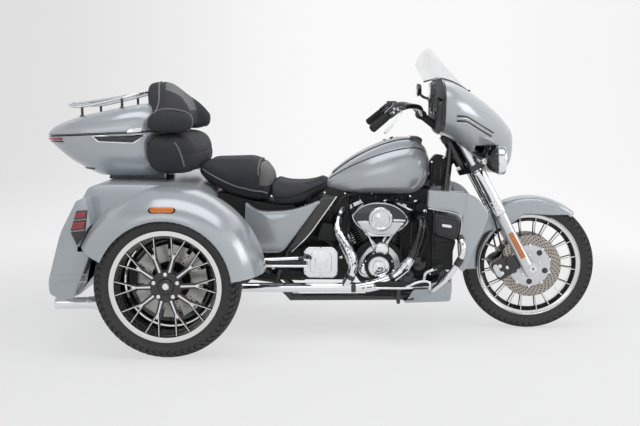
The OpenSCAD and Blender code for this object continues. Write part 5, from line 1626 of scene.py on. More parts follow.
class TRIKE_OT_controls(bpy.types.Operator):
    """Handlebar with switch boxes and levers, grips with ribs, and the mirrors"""
    bl_idname = "trike.controls"
    bl_label = "Handlebar, grips and mirrors"

    def execute(self, context):
        half = 440.0
        start, end = np.array([TANK_X - 193, half - 58, 1068]), np.array([TANK_X - 278, half - 10, 998])
        bar, grips = Shape(), Shape()
        for side in (1, -1):
            m = np.array([1, side, 1])
            line = bent_line([[TANK_X - 36, 0, 1046], [TANK_X - 36, 90, 1046], [TANK_X - 60, half * .55, 1086],
                              [TANK_X - 120, half * .78, 1096], start, end], 45, 10)
            bar.sweep(line * m, 12.6, 18)
            bar.sweep([np.array([TANK_X - 36, 60, 1046]) * m, in_fork([0, 60 * side, YOKES[1] + 14])], 17, 18, mark=1)
            bar.lathe(np.array([TANK_X - 36, 60, 1046]) * m, rod(23, -17, 17, 2, 3), 28, mark=1)
            # Switch box: two rounded halves with buttons, turned to the grip
            along = (end - start) / np.linalg.norm(end - start)
            lift = np.cross(along, [0, 1, 0])
            lift /= np.linalg.norm(lift)
            out = np.cross(lift, along)

            def held(p, m=m, along=along, lift=lift, out=out):
                q = start + p[..., 0:1] * along + p[..., 1:2] * out + p[..., 2:3] * lift
                return q * m
            box = round_outline(oblong(-30, -21, 26, 21), 9)
            bar.slab(box, -22, 22, 6, 4, to=held)
            bar.plate(oblong(-29, -1, 25, 1), .5, -22.6, 22.6, .4, mark=2, to=held)
            for a0, b0 in ((-18, 8), (-6, -8), (8, 6)):
                bar.plate(oblong(a0 - 5, b0 - 4, a0 + 5, b0 + 4), 2, 20, 26, 1.5, mark=2, to=held)
            lever = bent_line([start + [40, 0, 6], start + [34, 26, -6], start + [22, 44, -30], end + [52, 26, -20]],
                              24, 8)
            width = np.interp(np.linspace(0, 1, len(lever)), [0, .2, .9, 1], [7, 6, 5, 7.5])
            bar.sweep(lever * m, width, 14, mark=2, squash=.62)
            reservoir = start + np.array([30, -34, 26])
            bar.plate(oblong(reservoir[0] - 26, reservoir[2] - 12, reservoir[0] + 26, reservoir[2] + 14), 6,
                      (reservoir[1] - 18) * side, (reservoir[1] + 18) * side, 4)
            # Grip: ribs along a tube, with a chrome cap at its end
            u = np.linspace(0, 1, 90)
            path = start + (end - start) * (.3 + .73 * u)[:, None] * 0.995
            rib = 17.0 + 1.6 * (np.sin(u * 2 * np.pi * 13) > -.2) - 1.5 * (u < .03)
            grips.sweep(path * m, rib, 32)
            grips.sweep(np.array([end, start + (end - start) * 1.035]) * m, 15, 24, mark=1)
        bar.lathe((TANK_X - 36, 0, 1046), oblong(0, -40, 12.9, 40), 24, mark=2)
        bar.piece("handlebar", "steered_front", finishes("gloss black", "cast black", "alloy"), "handlebar",
                  "black_steel", outward=True)
        grips.piece("grips", "steered_front", finishes("rubber", "chrome"), "grips", "rubber", outward=True)

        mirrors = Shape()
        for side in (-1, 1):
            y = side * (FAIRING_HALF - 15)
            at = np.array([TANK_X - 18, y, 1165.0])
            a = circle(72)
            ring = xyz(0, 45 * spow(np.cos(a), .8), 34 * spow(np.sin(a), .8) + 4 * np.cos(a) * side)
            rows_ = [(14, 0.02), (14, .55), (10, .86), (0, 1.0), (-9, .99), (-12, .95)]
            body = np.array([at + ring * [1, k, k] + [dx, 0, 0] for dx, k in rows_])
            mirrors.grid(body, wrap=True)
            glass = np.array([at + ring * [1, k, k] + [dx, 0, 0]
                              for dx, k in ((-12, .95), (-10.5, .93), (-10.5, .5), (-10.5, .02))])
            mirrors.grid(glass, wrap=True, mark=1)
            mirrors.sweep(bent_line([at + [6, 0, -20], at + [20, -side * 6, -36],
                                     [TANK_X + 38, side * (FAIRING_HALF - 48), 1116]], 14), 7.5, 14)
            mirrors.lathe((TANK_X + 36, side * (FAIRING_HALF - 46), 1116),
                          [(0, -10), (13, -9), (14, -6), (14, 6), (13, 9), (0, 10)], 24, axis="x")
        mirrors.piece("mirrors", "steered_front", finishes("gloss black", "mirror glass"), "mirrors", "black_gloss",
                      outward=True)
        return {"FINISHED"}


class TRIKE_OT_fork(bpy.types.Operator):
    """Fork legs with covers and reflectors, axle, calipers and the front fender"""
    bl_idname = "trike.fork"
    bl_label = "Fork and front fender"

    def execute(self, context):
        legs = Shape()
        for side in (-1, 1):
            y = side * LEG_Y

            def leg(p, y=y):
                return in_fork(np.asarray(p) + [FORK_OFFSET, y, 0])

            def turn(profile, n, mark):
                part = Shape().lathe((0, 0, 0), profile, n, axis="z", mark=mark).move(leg)
                legs.join(part)
            turn([(0, -34), (24, -33), (28, -26), (29, -10), (27.5, 30), (26, 120), (27, 210), (29, 262), (30, 284),
                  (30, 300), (27, 306), (0, 306)], 40, 0)
            turn([(0, 304), (33, 306), (34, 312), (34, 520), (33, 532), (29, 538), (0, 538)], 40, 1)
            turn([(0, 536), (24.6, 536), (24.6, 768), (22, 774), (0, 774)], 32, 1)
            for z in (330, 352, 374):
                turn([(33.5, z - 3), (35.2, z), (33.5, z + 3)], 40, 1)
            lug = Shape().plate([(2, -30), (36, -26), (36, 26), (2, 34)], 10, -21, 21, 5).move(leg)
            legs.join(lug)
            for z in (-14, 16):
                bolt = Shape().lathe((30, 0, z), rod(7.5, -25, 25, 1.5, 2), 6, mark=1).move(leg)
                legs.join(bolt)
            # Long reflector along the lower leg, in a dark bezel
            for r0, m_, grow in ((0, 4, 1.0), (1.6, 3, .86)):
                strip = round_outline(np.array(oblong(-12, 66, 12, 204)) * [grow, 1], 7)
                outer = 26.5 + r0
                body = Shape().slab(strip, side * outer * .93, side * (outer + 3.5), 1.5, mark=m_).move(leg)
                legs.join(body)
        legs.lathe((FRONT_X, 0, FRONT_Z),
                   [(7, -152), (11, -152), (12, -150), (12, 150), (11, 152), (7, 152), (7, -152)], 40, mark=1)
        for side in (-1, 1):
            legs.lathe((FRONT_X, side * 150, FRONT_Z), [(12, -4), (19, -3), (20, 0), (19, 3), (8, 3)] if side > 0
                       else [(8, -3), (19, -3), (20, 0), (19, 3), (12, 4)], 6, mark=1)
        legs.piece("fork_legs", "steered_front", finishes("alloy", "chrome", "plastic", "amber lens", "gloss black"),
                   "fork_legs", "alloy", outward=True)

        pads = Shape()
        for side in (-1, 1):
            body = round_outline([(-108, 14), (-96, 6), (-14, 12), (-12, 84), (-34, 108), (-92, 106), (-108, 90)],
                                 [14, 12, 12, 14, 18, 18, 16])
            for y0, y1 in ((79, 99), (50, 61)):
                pads.join(Shape().slab(body, side * y0, side * y1, 6, 4).move(in_fork))
            bridge = round_outline([(-110, 20), (-100, 12), (-92, 20), (-92, 96), (-100, 104), (-110, 90)], 5)
            pads.join(Shape().slab(bridge, side * 56, side * 96, 3).move(in_fork))
            cap = round_outline([(-106, 34), (-94, 22), (-80, 26), (-80, 88), (-92, 94), (-106, 84)], 7)
            pads.join(Shape().slab(cap, side * 98, side * 103, 3, mark=1).move(in_fork))
            for x_, z_ in ((-78, 38), (-72, 74), (-42, 52)):
                pads.join(Shape().lathe((x_, side * 102, z_),
                                        [(0, -6), (11, -6), (11, 2), (9, 5), (4, 5), (4, 2), (0, 2)] if side > 0 else
                                        [(0, -2), (4, -2), (4, -5), (9, -5), (11, -2), (11, 6), (0, 6)], 24,
                                        mark=2).move(in_fork))
            pads.join(Shape().plate([(-38, 24), (16, 20), (16, 88), (-38, 88)], 10, side * 89, side * 112,
                                    4).move(in_fork))
            hose = bent_line([in_fork([-40, side * 104, 104]), in_fork([-20, side * 120, 170]),
                              in_fork([10, side * 122, 300]), in_fork([20, side * 120, 470]),
                              in_fork([40, side * 110, 546])], 60, 10)
            pads.sweep(hose, 4.2, 10, mark=3)
        pads.piece("front_calipers", "steered_front", finishes("gloss black", "alloy", "chrome", "rubber"),
                   "front_calipers", "black_casting", outward=True)

        # Fender: section across the tyre carried round the axle, skirts down to an edge that changes with the angle
        edge = np.array([(48, 330), (52, 317), (60, 289), (70, 266), (80, 256), (92, 256), (99, 256), (103, 246),
                         (108, 232), (118, 226),
                         (126, 232), (135, 252), (143, 277), (160, 274), (184, 264)], float)
        angle = np.linspace(50.5, 183.5, 121)
        low = np.interp(angle, edge[:, 0], edge[:, 1])
        low = np.convolve(np.pad(low, 4, mode="edge"), np.ones(9) / 9, "valid")
        low = np.maximum(low, FRONT_R - 92)
        low[angle > 112] = np.maximum(low[angle > 112], FRONT_R - 88)
        s = np.linspace(-1, 1, 61)[None]
        w, r = FRONT_W / 2 + 12, FRONT_R
        taper = np.clip((angle - 50) / 16, 0, 1)[:, None] ** .6 * .22 + .78
        roof_share = np.clip(np.abs(s) / .62, 0, 1)
        y = np.sign(s) * w * taper * np.where(np.abs(s) < .62, np.sin(roof_share * np.pi / 2) ** .9, 1.0)
        top = r - 10 + 29 * np.cos(roof_share * np.pi / 2) ** .7
        skirt = np.clip((np.abs(s) - .62) / .38, 0, 1)
        rad = np.where(np.abs(s) < .62, top, (r - 10) + (low[:, None] - (r - 10)) * skirt)
        tail = np.clip((angle - 172) / 12, 0, 1)[:, None]
        rad = rad + tail ** 2 * 6 * (np.abs(s) < .62)
        a = np.radians(angle)[:, None]
        outer = xyz(FRONT_X + rad * np.cos(a), y, FRONT_Z + rad * np.sin(a))
        fender = Shape().grid(outer)
        fender.piece("front_fender", "steered_front", finish("paint"), "front_fender", "paint", wall=3.6, sharp=50)
        trim = Shape()
        for side in (0, -1):
            trim.sweep(outer[::2, side], 2.6, 8)
        for side in (-1, 1):
            ridge = xyz(FRONT_X + (r + 6.5) * np.cos(a[:, 0]), side * w * .86 * taper[:, 0],
                        FRONT_Z + (r + 6.5) * np.sin(a[:, 0]))
            trim.sweep(ridge[6:-6], 2.0, 8)
            stay = round_outline(at_x(FORK_OFFSET, [(-24, 266), (24, 266), (18, 297), (-18, 297)]), 7)
            trim.join(Shape().slab(stay, side * (w - 3), side * (LEG_Y - 17), 3).move(in_fork))
        trim.piece("front_fender_trim", "steered_front", finish("paint"), slot="paint", outward=True)
        return {"FINISHED"}


def tyre_rows(r, w, rim_r, rim_half, n):
    """Profile of a tyre: radius and distance from its middle at shares k from -1 to 1 of its wall."""
    k = np.linspace(-1, 1, n)
    a = 90 * (1 - (1 - np.abs(k)) ** 2)
    rad = rim_r - 14 + (r - rim_r + 14) * np.cos(np.radians(a)) ** .42
    y = np.sign(k) * w / 2 * np.sin(np.radians(a)) ** .75 * (1 - (1 - (rim_half - 6) / (w / 2)) * (a / 90) ** 6)
    return k, rad, y


def tyre(at, y0, r, w, rim_r, rim_half, depth, pitches, edge):
    """Tyre: its profile turned about the axle. Grooves run round it and slant out over the shoulders; side walls
    carry a raised bead ring and a ribbed band."""
    k, rad, y = tyre_rows(r, w, rim_r, rim_half, 105)
    n = pitches * 9
    turn = np.arange(n) / n
    ak = np.abs(k)[None]
    t = turn[:, None]
    on_tread = ak < edge
    side_shift = np.where(k[None] > 0, 0.5, 0.0)
    slant = (t * pitches + side_shift + ak * 2.6) % 1.0
    sipe = (np.abs(slant - .5) < .13) & (ak > edge * .30)
    rounds = (np.abs(ak - edge * .28) < edge * .035) | (np.abs(ak - edge * .62) < edge * .03)
    groove = np.where(on_tread & (sipe | rounds), depth, 0.0)
    groove = groove * np.clip((edge - ak) / (edge * .1), 0.35, 1)
    shoulder = (ak >= edge) & (ak < edge + .07) & (np.abs((t * pitches + side_shift + .1) % 1.0 - .5) < .16)
    groove = groove + np.where(shoulder, depth * .5, 0)
    ring = 1.2 * np.exp(-((ak - .80) / .012) ** 2) + 0.9 * np.exp(-((ak - .90) / .012) ** 2) - 0.6 * np.exp(-((ak
            - .72) / .012) ** 2)
    # Normal of the profile, so that grooves go in square to the wall
    dr, dy = np.gradient(rad), np.gradient(y)
    length = np.hypot(dr, dy)
    nr, ny = dy / length, -dr / length
    out = ring - groove
    rr, yy = rad[None] + nr[None] * out, y[None] + ny[None] * out
    a = 2 * np.pi * t
    p = xyz(at[0] + rr * np.cos(a), y0 + yy, at[2] + rr * np.sin(a))
    shape = Shape().grid(p, loop=True)
    inner = xyz(at[0] + (rr[:, [0, -1]] - [6, 6]) * np.cos(a), y0 + yy[:, [0, -1]] * 0.9,
                at[2] + (rr[:, [0, -1]] - [6, 6]) * np.sin(a))
    shape.grid(np.stack([p[:, 0], inner[:, 0], inner[:, 1], p[:, -1]], 1), loop=True, flip=True)
    return shape


def spoke_parts(hub, fork_r, rim, half_leg, half_angle, arm):
    """A split spoke's convex outlines along +X: its leg out to the fork, its two arms to the rim and the web
    between them, which leaves a rounded V."""
    leg = [(hub, -half_leg * 1.25), (fork_r, -half_leg), (fork_r + 12, -half_leg), (fork_r + 12, half_leg),
           (fork_r, half_leg), (hub, half_leg * 1.25)]
    parts = [leg]
    for s in (-1, 1):
        tip = np.array([rim * math.cos(half_angle), s * rim * math.sin(half_angle)])
        root = np.array([fork_r - 4, s * (half_leg - arm)])
        d = (tip - root) / np.linalg.norm(tip - root)
        side = np.array([-d[1], d[0]])
        q = [root - side * arm, tip - side * arm * .9, tip + side * arm * .9, root + side * arm]
        parts.append([tuple(v) for v in q])
    parts.append([(fork_r - 4, -half_leg * .9), (fork_r + 14, -half_leg * 1.15), (fork_r + 20, 0),
                  (fork_r + 14, half_leg * 1.15), (fork_r - 4, half_leg * .9)])
    return parts


def width_of(outline):
    """Shortest side of an outline."""
    p = np.asarray(outline, float)
    return np.linalg.norm(p - np.roll(p, -1, 0), axis=1).min()


def spokes(shape, at, face, count, first, parts, thick, sign, mark, crown=2.2, dish=0.0, hub=0.0, rim=1.0):
    """Split spokes round an axle, each of rounded bars whose faces are crowned; dish carries the outer end of
    each bar back from the face as the square of the radius."""
    for k in range(count):
        a = math.radians(first + 360 * k / count)
        c, s = math.cos(a), math.sin(a)

        def put(p, c=c, s=s):
            u = np.hypot(p[..., 0], p[..., 2])
            back = dish * np.clip((u - hub) / (rim - hub), 0, 1) ** 2
            return xyz(at[0] + p[..., 0] * c - p[..., 2] * s, p[..., 1] - sign * back,
                       at[2] + p[..., 0] * s + p[..., 2] * c)
        for outline in parts:
            shape.slab(round_outline(outline, min(2.5, 0.4 * width_of(outline)), 3), face - sign * thick, face,
                       min(3.0, 0.3 * width_of(outline)), 2,
                       mark=1, face=mark, crown=crown, to=put)


class TRIKE_OT_front_wheel(bpy.types.Operator):
    """Front wheel: tyre with its tread, turned rim with split spokes, and two drilled discs"""
    bl_idname = "trike.front_wheel"
    bl_label = "Front wheel"

    def execute(self, context):
        sizes = context.scene.trike_sizes
        at, rim_half = (FRONT_X, 0, FRONT_Z), FRONT_W * .34
        tyre(at, 0, FRONT_R, FRONT_W, FRONT_RIM, rim_half, sizes.tread_depth / MM, sizes.tread_pitches, .52).piece(
            "front_tyre", "front_wheel", finish("front tyre"), "front_tyre", "tyre", sharp=30)
        r, h = FRONT_RIM, rim_half
        rim = Shape()
        half = [(r - 40, 0), (r - 40, h * .45), (r - 30, h - 14), (r - 20, h - 7), (r - 8, h - 4.5), (r - 3, h + .6),
                (r - .5, h - .4),
                (r, h - 3), (r - 1, h - 5), (r - 13.5, h - 5.2), (r - 14, h - 18), (r - 30, h * .4)]
        profile = half + [(a, -b) for a, b in half[:0:-1]]
        rim.lathe(at, profile + [half[0]], 144)
        for side in (-1, 1):
            ring = [(r - 38, h * .5), (r - 24, h - 9.5), (r - 23, h - 8.3), (r - 20.5, h - 7.6)]
            rim.lathe(at, [(a, side * (b + .6)) for a, b in ring], 144, mark=1)
        parts = spoke_parts(30, 98, r - 22, 7, math.radians(8.2), 2.9)
        for side in (-1, 1):
            spokes(rim, at, side * 17, sizes.spokes, 2, parts, 8, side, 0, 1.6, dish=-17, hub=60, rim=r - 22)
        rim.lathe(at, [(13, -60), (34, -60), (38, -57), (40, -52), (40, -18), (56, -12), (60, 0), (56, 12), (40, 18),
                       (40, 52), (38, 57), (34, 60), (13, 60)], 72, mark=2)
        rim.piece("front_rim", "front_wheel", finishes("front turned", "gloss black", "alloy"), "front_rim", "alloy",
                  outward=True)
        discs = Shape()
        for side in (-1, 1):
            y = side * 69.5
            discs.lathe(at, [(104, y - 2.5), (148, y - 2.5), (150, y - 1.6), (150, y + 1.6), (148, y + 2.5),
                             (104, y + 2.5), (103, y), (104, y - 2.5)], 144)
            discs.lathe(at, [(13, side * 60.5), (40, side * 60.5), (62, side * 62), (100, side * 65.5),
                             (102, side * 67), (98, side * 68.2), (62, side * 66), (40, side * 64.5),
                             (13, side * 64.5)], 96, mark=1)
            for k in range(10):
                a = 2 * np.pi * (k + .5) / 10
                c = (at[0] + 101 * math.cos(a), side * 68, at[2] + 101 * math.sin(a))
                discs.lathe(c, rod(7.5, -4.4, 4.4, 1, 1.2), 18, mark=2)
            for k in range(5):
                # Windows in the carrier as black discs, painted shade for the openings, and a nut between each two
                a = 2 * np.pi * (k + .75) / 5
                c = (at[0] + 78 * math.cos(a), side * 66.5, at[2] + 78 * math.sin(a))
                discs.lathe(c, rod(14, -2.5, 2.5, 1, 1), 24, mark=3)
                a = 2 * np.pi * (k + .25) / 5
                c = (at[0] + 52 * math.cos(a), side * 66, at[2] + 52 * math.sin(a))
                discs.lathe(c, [(0, -4), (6, -4), (6, 4), (5, 5), (0, 5)] if side > 0
                            else [(0, -5), (5, -5), (6, -4), (6, 4), (0, 4)], 6, mark=2)
        discs.piece("front_discs", "front_wheel", finishes("front disc", "alloy", "chrome", "gloss black"),
                    "front_discs", "disc_steel", outward=True)
        return {"FINISHED"}


class TRIKE_OT_rear_wheels(bpy.types.Operator):
    """Rear wheels: wide tyres, deep rims with split spokes, nuts and caps, and their brake discs"""
    bl_idname = "trike.rear_wheels"
    bl_label = "Rear wheels"

    def execute(self, context):
        sizes = context.scene.trike_sizes
        for name, side in (("left", 1), ("right", -1)):
            body, y0, at = f"{name}_wheel", side * WHEEL_Y, (REAR_X, 0, REAR_Z)
            tyre(at, y0, REAR_R, REAR_W, REAR_RIM, REAR_W * .42, sizes.tread_depth / MM * 1.2, sizes.tread_pitches,
                 .56).piece(
                f"{name}_tyre", body, finish("rear tyre"), f"{name}_tyre", "tyre", sharp=30)
            r, h = REAR_RIM, REAR_W * .42
            rim = Shape()
            prof = [(r - 40, -h + 30), (r - 40, h - 46), (r - 32, h - 34), (r - 27, h - 20), (r - 25, h - 7),
                    (r - 22, h - 2.5), (r - 4, h + .8),
                    (r - 1, h + .2), (r, h - 2), (r - .6, h - 5), (r - 14, h - 5.2), (r - 14.5, h - 20),
                    (r - 30, h * .3), (r - 30, -h * .4),
                    (r - 14.5, -h + 18), (r - 14, -h + 5), (r, -h + 5), (r, -h), (r - 18, -h), (r - 22, -h + 8)]
            rim.lathe((at[0], y0, at[2]), [(a, b * side) for a, b in prof + prof[:1]], 144)
            # Black pocket behind the spokes, painted shade for the dark inside of the rim, and a bright ring at its
            # foot
            rim.lathe((at[0], y0, at[2]),
                      [(a, b * side) for a, b in ((r - 33, h - 36), (r - 40.5, h - 50), (r - 41, -h + 34))], 144,
                      mark=1)
            # Black spokes, each with a narrow bright face laid on it
            for leg, arm, lift, thick, mark in ((10.5, 4.6, 0, 15, 1), (4.6, 2.3, 1.2, 4, 0)):
                parts = spoke_parts(64, 132, r - 25, leg, math.radians(8.0), arm)
                spokes(rim, at, y0 + side * (71 + lift), sizes.spokes, 2, parts, thick, side, mark, 1.2, dish=-9,
                       hub=90, rim=r - 26)
            hub = [(17, -14), (40, -14), (66, 0), (70, 44), (70, 64), (67, 68), (40, 66), (36, 67), (33, 73),
                   (29, 76.5), (17, 76.5)]
            rim.lathe((at[0], y0, at[2]), [(a, b * side) for a, b in hub], 96, mark=2)
            cap = [(0.2, 77.4), (8, 77.4), (12.5, 76.6), (14, 75), (14, 66)]
            rim.lathe((at[0], y0, at[2]), [(a, b * side) for a, b in cap], 48, mark=3)
            for k in range(5):
                a = math.radians(90 + 72 * k)
                c = (at[0] + 54 * math.cos(a), y0, at[2] + 54 * math.sin(a))
                nut = [(0, 60), (10.5, 60), (10.5, 71), (9, 73.5), (6, 74.6), (0, 75)]
                rim.lathe(c, [(q, b * side) for q, b in nut], 6, mark=3)
            a = math.radians(-66)
            valve = np.array([at[0] + (r - 46) * math.cos(a), y0 + side * (h - 30), at[2] + (r - 46) * math.sin(a)])
            rim.sweep([valve, valve + [-6 * math.cos(a), side * 18, -6 * math.sin(a)]], 3.2, 10, mark=1)
            rim.piece(f"{name}_rim", body, finishes("rear turned", "gloss black", "gloss black", "chrome"),
                      f"{name}_rim", "alloy", outward=True)

            disc = Shape()
            a0 = side * (WHEEL_Y - 62)
            ys = sorted((a0, a0 + side * 7))
            disc.lathe(at, [(90, ys[0]), (144, ys[0]), (146, ys[0] + 1.5), (146, ys[1] - 1.5), (144, ys[1]),
                            (90, ys[1]), (90, ys[0])], 144)
            disc.lathe(at, [(q, side * (WHEEL_Y - 62) + side * b)
                            for q, b in ((17, 0), (58, 0), (60, 3), (60, 42), (90, 2), (92, 5), (62, 46), (17, 46))],
                       96, mark=1)
            disc.lathe(at, sorted_rows([(0, WHEEL_Y - 139), (15, WHEEL_Y - 139), (15.8, WHEEL_Y - 137),
                                        (15.8, WHEEL_Y + 70), (0, WHEEL_Y + 70)], side), 32, mark=2)
            # Black shield that closes the barrel behind the disc, painted shade for the dark inside of the wheel
            shield = ((60, 4), (r - 62, 4), (r - 48, 10), (r - 44, 22), (r - 50, 22), (r - 54, 14), (r - 64, 9),
                      (60, 9))
            disc.lathe(at, [(q, side * (WHEEL_Y - 84 + b)) for q, b in shield], 96, mark=1)
            # Vanes behind the spokes: light segments with dark gaps, their alloy darkened as painted shade
            for k in range(11):
                b = math.radians(8 + 360 / 11 * k)
                seg = [(92, -20), (164, -38), (164, 38), (92, 20)]
                put = lambda p, c=math.cos(b), s=math.sin(b): xyz(at[0] + p[..., 0] * c - p[..., 2] * s, p[..., 1],
                        at[2] + p[..., 0] * s + p[..., 2] * c)
                disc.slab(round_outline(seg, 3, 3), side * (WHEEL_Y - 62), side * (WHEEL_Y - 54), 1.2, 2, mark=3,
                          to=put)
            disc.piece(f"{name}_disc", body, finishes("rear disc", "gloss black", "alloy", "vane"), f"{name}_disc",
                       "disc_steel", outward=True)
        return {"FINISHED"}


def sorted_rows(rows, side):
    """A profile's distances on the left or the right."""
    return [(r, side * y) for r, y in rows]


class TRIKE_OT_engine(bpy.types.Operator):
    """V-twin: finned cylinders with heads, rocker covers and pushrod tubes, air cleaner, gearbox and covers"""
    bl_idname = "trike.engine"
    bl_label = "Engine"

    def execute(self, context):
        cx, cz = CRANK[0], CRANK[2]
        fins = context.scene.trike_sizes.fins
        motor = Shape()
        for lean in (-25, 25):
            a = math.radians(lean)

            def stand(p, c=math.cos(a), s=math.sin(a)):
                p = np.asarray(p, float)
                return xyz(cx + p[..., 0] * c + p[..., 2] * s, p[..., 1], cz - p[..., 0] * s + p[..., 2] * c)

            def flat(outline, z0, z1, r, mark, crown=0.0, groove=None):
                """Slab whose outline lies across the cylinder, from z0 to z1 along it."""
                part = Shape().slab(outline, z0, z1, r, 3, mark=mark, crown=crown, groove=groove)
                motor.join(part.move(lambda p: stand(xyz(p[..., 0], p[..., 2], p[..., 1]))))
            barrel = Shape().lathe((0, 0, 0), oblong(0, 119, 61, 268), 48, axis="z").move(stand)
            motor.join(barrel)
            for k in range(fins):
                z = 126 + k * (268 - 132) / (fins - 1)
                wide = 76 - 5 * (k < 2) + 1.5 * (k > fins - 4)
                flat(round_outline(oblong(-wide, -69, wide, 69), 20, 4), z, z + 3.6, 1.2, 0)
            flat(round_outline(oblong(-58, -66, 58, 66), 16), 268, 292, 3, 1)
            for k in range(4):
                flat(round_outline(oblong(-64, -68, 64, 68), 18, 4), 270 + k * 6.5, 272.6 + k * 6.5, .8, 0)
            flat(round_outline(oblong(-60, -67, 60, 67), 18), 293, 304, 3, 2)
            flat(round_outline(oblong(-55, -62, 55, 62), 20), 302, 313.5, 5, 2, crown=3.0, groove=(8, 7, 1.8))
            for x, y in ((-48, -54), (48, -54), (48, 54), (-48, 54)):
                bolt = Shape().lathe((x, y, 0), [(0, 304), (6, 304), (6, 314.5), (5, 316), (0, 316)], 12, axis="z",
                                     mark=2).move(stand)
                motor.join(bolt)
            for x in (-22, 22):
                low = np.array([cx + (14 + x * .7) * math.copysign(.6, lean), -150, cz + 74])
                high = stand(np.array([x * .8, -72, 268]))
                motor.sweep([low + (high - low) * .02, low + (high - low) * .98], 8.2, 16, mark=2)
                for share in (.1, .45, .9):
                    q = low + (high - low) * share
                    d = (high - low) / np.linalg.norm(high - low)
                    motor.sweep([q - d * 7, q + d * 7], 10.2, 16, mark=2)
            plug = stand(np.array([0.0, -72, 250]))
            motor.sweep([plug, plug + [0, -20, 6]], 9, 12, mark=3)
            motor.sweep(bent_line([plug + [0, -18, 6], plug + [-10, -40, 30], plug + [-30, -30, 80]], 20), 4, 10,
                        mark=3)
        motor.piece("cylinders", "chassis", finishes("gloss black", "cast black", "chrome", "rubber"), "cylinders",
                    "black_casting", outward=True)

        # Air cleaner: lens outline with a domed face, bright rim and a round cap with rings
        at = np.array([cx + 5, cz + 232])
        b = np.linspace(-1, 1, 33)
        half_l, half_h = 130, 72
        arch = half_h * (1 - np.abs(b) ** 2.3) ** .75
        outline = np.vstack([np.stack([at[0] + half_l * b, at[1] - arch], 1)[:-1],
                             np.stack([at[0] - half_l * b, at[1] + arch[::-1]], 1)[:-1]])
        tilt = lambda p: turned(p, np.array([at[0], 0, at[1]]), 4)
        air = Shape().slab(outline, -78, -214, 10, 5, crown=14, to=tilt)
        rim = np.insert(inset(outline, -0.5), 1, -206, axis=1)
        section = circle(8)
        out = rim - [at[0], -206, at[1]]
        out /= np.linalg.norm(out, axis=1, keepdims=True)
        air.grid(tilt(rim[:, None]
                      + 4.5 * (np.cos(section)[None, :, None] * out[:, None]
                               + np.sin(section)[None, :, None] * np.array([0, 1.0, 0]))),
                 mark=1, wrap=True, loop=True)
        centre = (at[0], 0, at[1])
        air.lathe(centre, [(0.2, -236), (20, -236), (22, -234.6), (40, -234), (43, -236.5), (50, -236.5), (56, -233),
                           (58, -228), (58, -214)], 72, mark=2)
        for k in range(3):
            q = math.radians(90 + 120 * k)
            air.lathe((at[0] + 31 * math.cos(q), 0, at[1] + 31 * math.sin(q)),
                      [(0, -238), (4, -238), (5, -236), (5, -232)], 12, mark=1)
        air.plate([(at[0] + 60, at[1] - 6), (at[0] + 118, at[1] - 2), (at[0] + 116, at[1] + 6),
                   (at[0] + 60, at[1] + 6)], 3, -216, -227, 3, mark=1, to=tilt)
        air.plate([(at[0] + 58, at[1] - 24), (at[0] + 110, at[1] - 18), (at[0] + 108, at[1] - 10),
                   (at[0] + 58, at[1] - 12)], 3, -214, -225, 3, mark=1, to=tilt)
        air.plate([(at[0] - 70, at[1] - 62), (at[0] + 70, at[1] - 62), (at[0] + 52, at[1] - 86),
                   (at[0] - 52, at[1] - 86)], 12, -140, -200, 6, mark=1)
        silver = [(at[0] - 112, at[1] - 10), (at[0] - 64, at[1] - 6), (at[0] + 64, at[1] - 12),
                  (at[0] + 112, at[1] - 14), (at[0] + 64, at[1] - 76),
                  (at[0] - 30, at[1] - 72), (at[0] - 86, at[1] - 44)]
        air.plate(silver, 8, -204, -224, 5, 4, mark=3, crown=5)
        air.piece("air_cleaner", "chassis", finishes("gloss black", "chrome", "cover turned", "alloy"), "air_cleaner",
                  "black_gloss", outward=True)

        # Crankcase covers: ribbed cam cover with bolts, oil filter and lifter blocks
        cover = Shape()
        rings = [(0.2, -199), (12, -199), (15, -197), (26, -197), (28, -200), (32, -200), (34, -197), (43, -196),
                 (45, -199), (49, -199), (51, -195),
                 (62, -192), (68, -184), (70, -172), (74, -168), (76, -160), (76, -128)]
        cover.lathe((cx, 0, cz), rings, 96)
        for k in range(8):
            q = math.radians(22.5 + 45 * k)
            cover.lathe((cx + 66 * math.cos(q), 0, cz + 66 * math.sin(q)),
                        [(0, -192), (4.5, -192), (5.5, -190), (5.5, -176)], 12)
        for dx, dz, r in ((14, 78, 36), (-66, -20, 30), (70, -46, 26)):
            cover.lathe((cx + dx, 0, cz + dz), [(0.2, -178), (r * .5, -178), (r - 6, -176), (r, -170), (r, -128)], 48)
        cover.plate(at_x(cx, [(-92, cz - 62), (96, cz - 66), (104, cz + 30), (52, cz + 96), (-40, cz + 96),
                              (-98, cz + 20)]), 34, -126, -142, 5, 4, mark=1)
        cover.lathe((cx + 132, 0, cz - 52), [(0.2, -150), (30, -150), (36, -146), (38, -138), (38, -60)], 48, mark=2)
        cover.piece("cam_cover", "chassis", finishes("chrome", "alloy", "gloss black"), slot="chrome", outward=True)

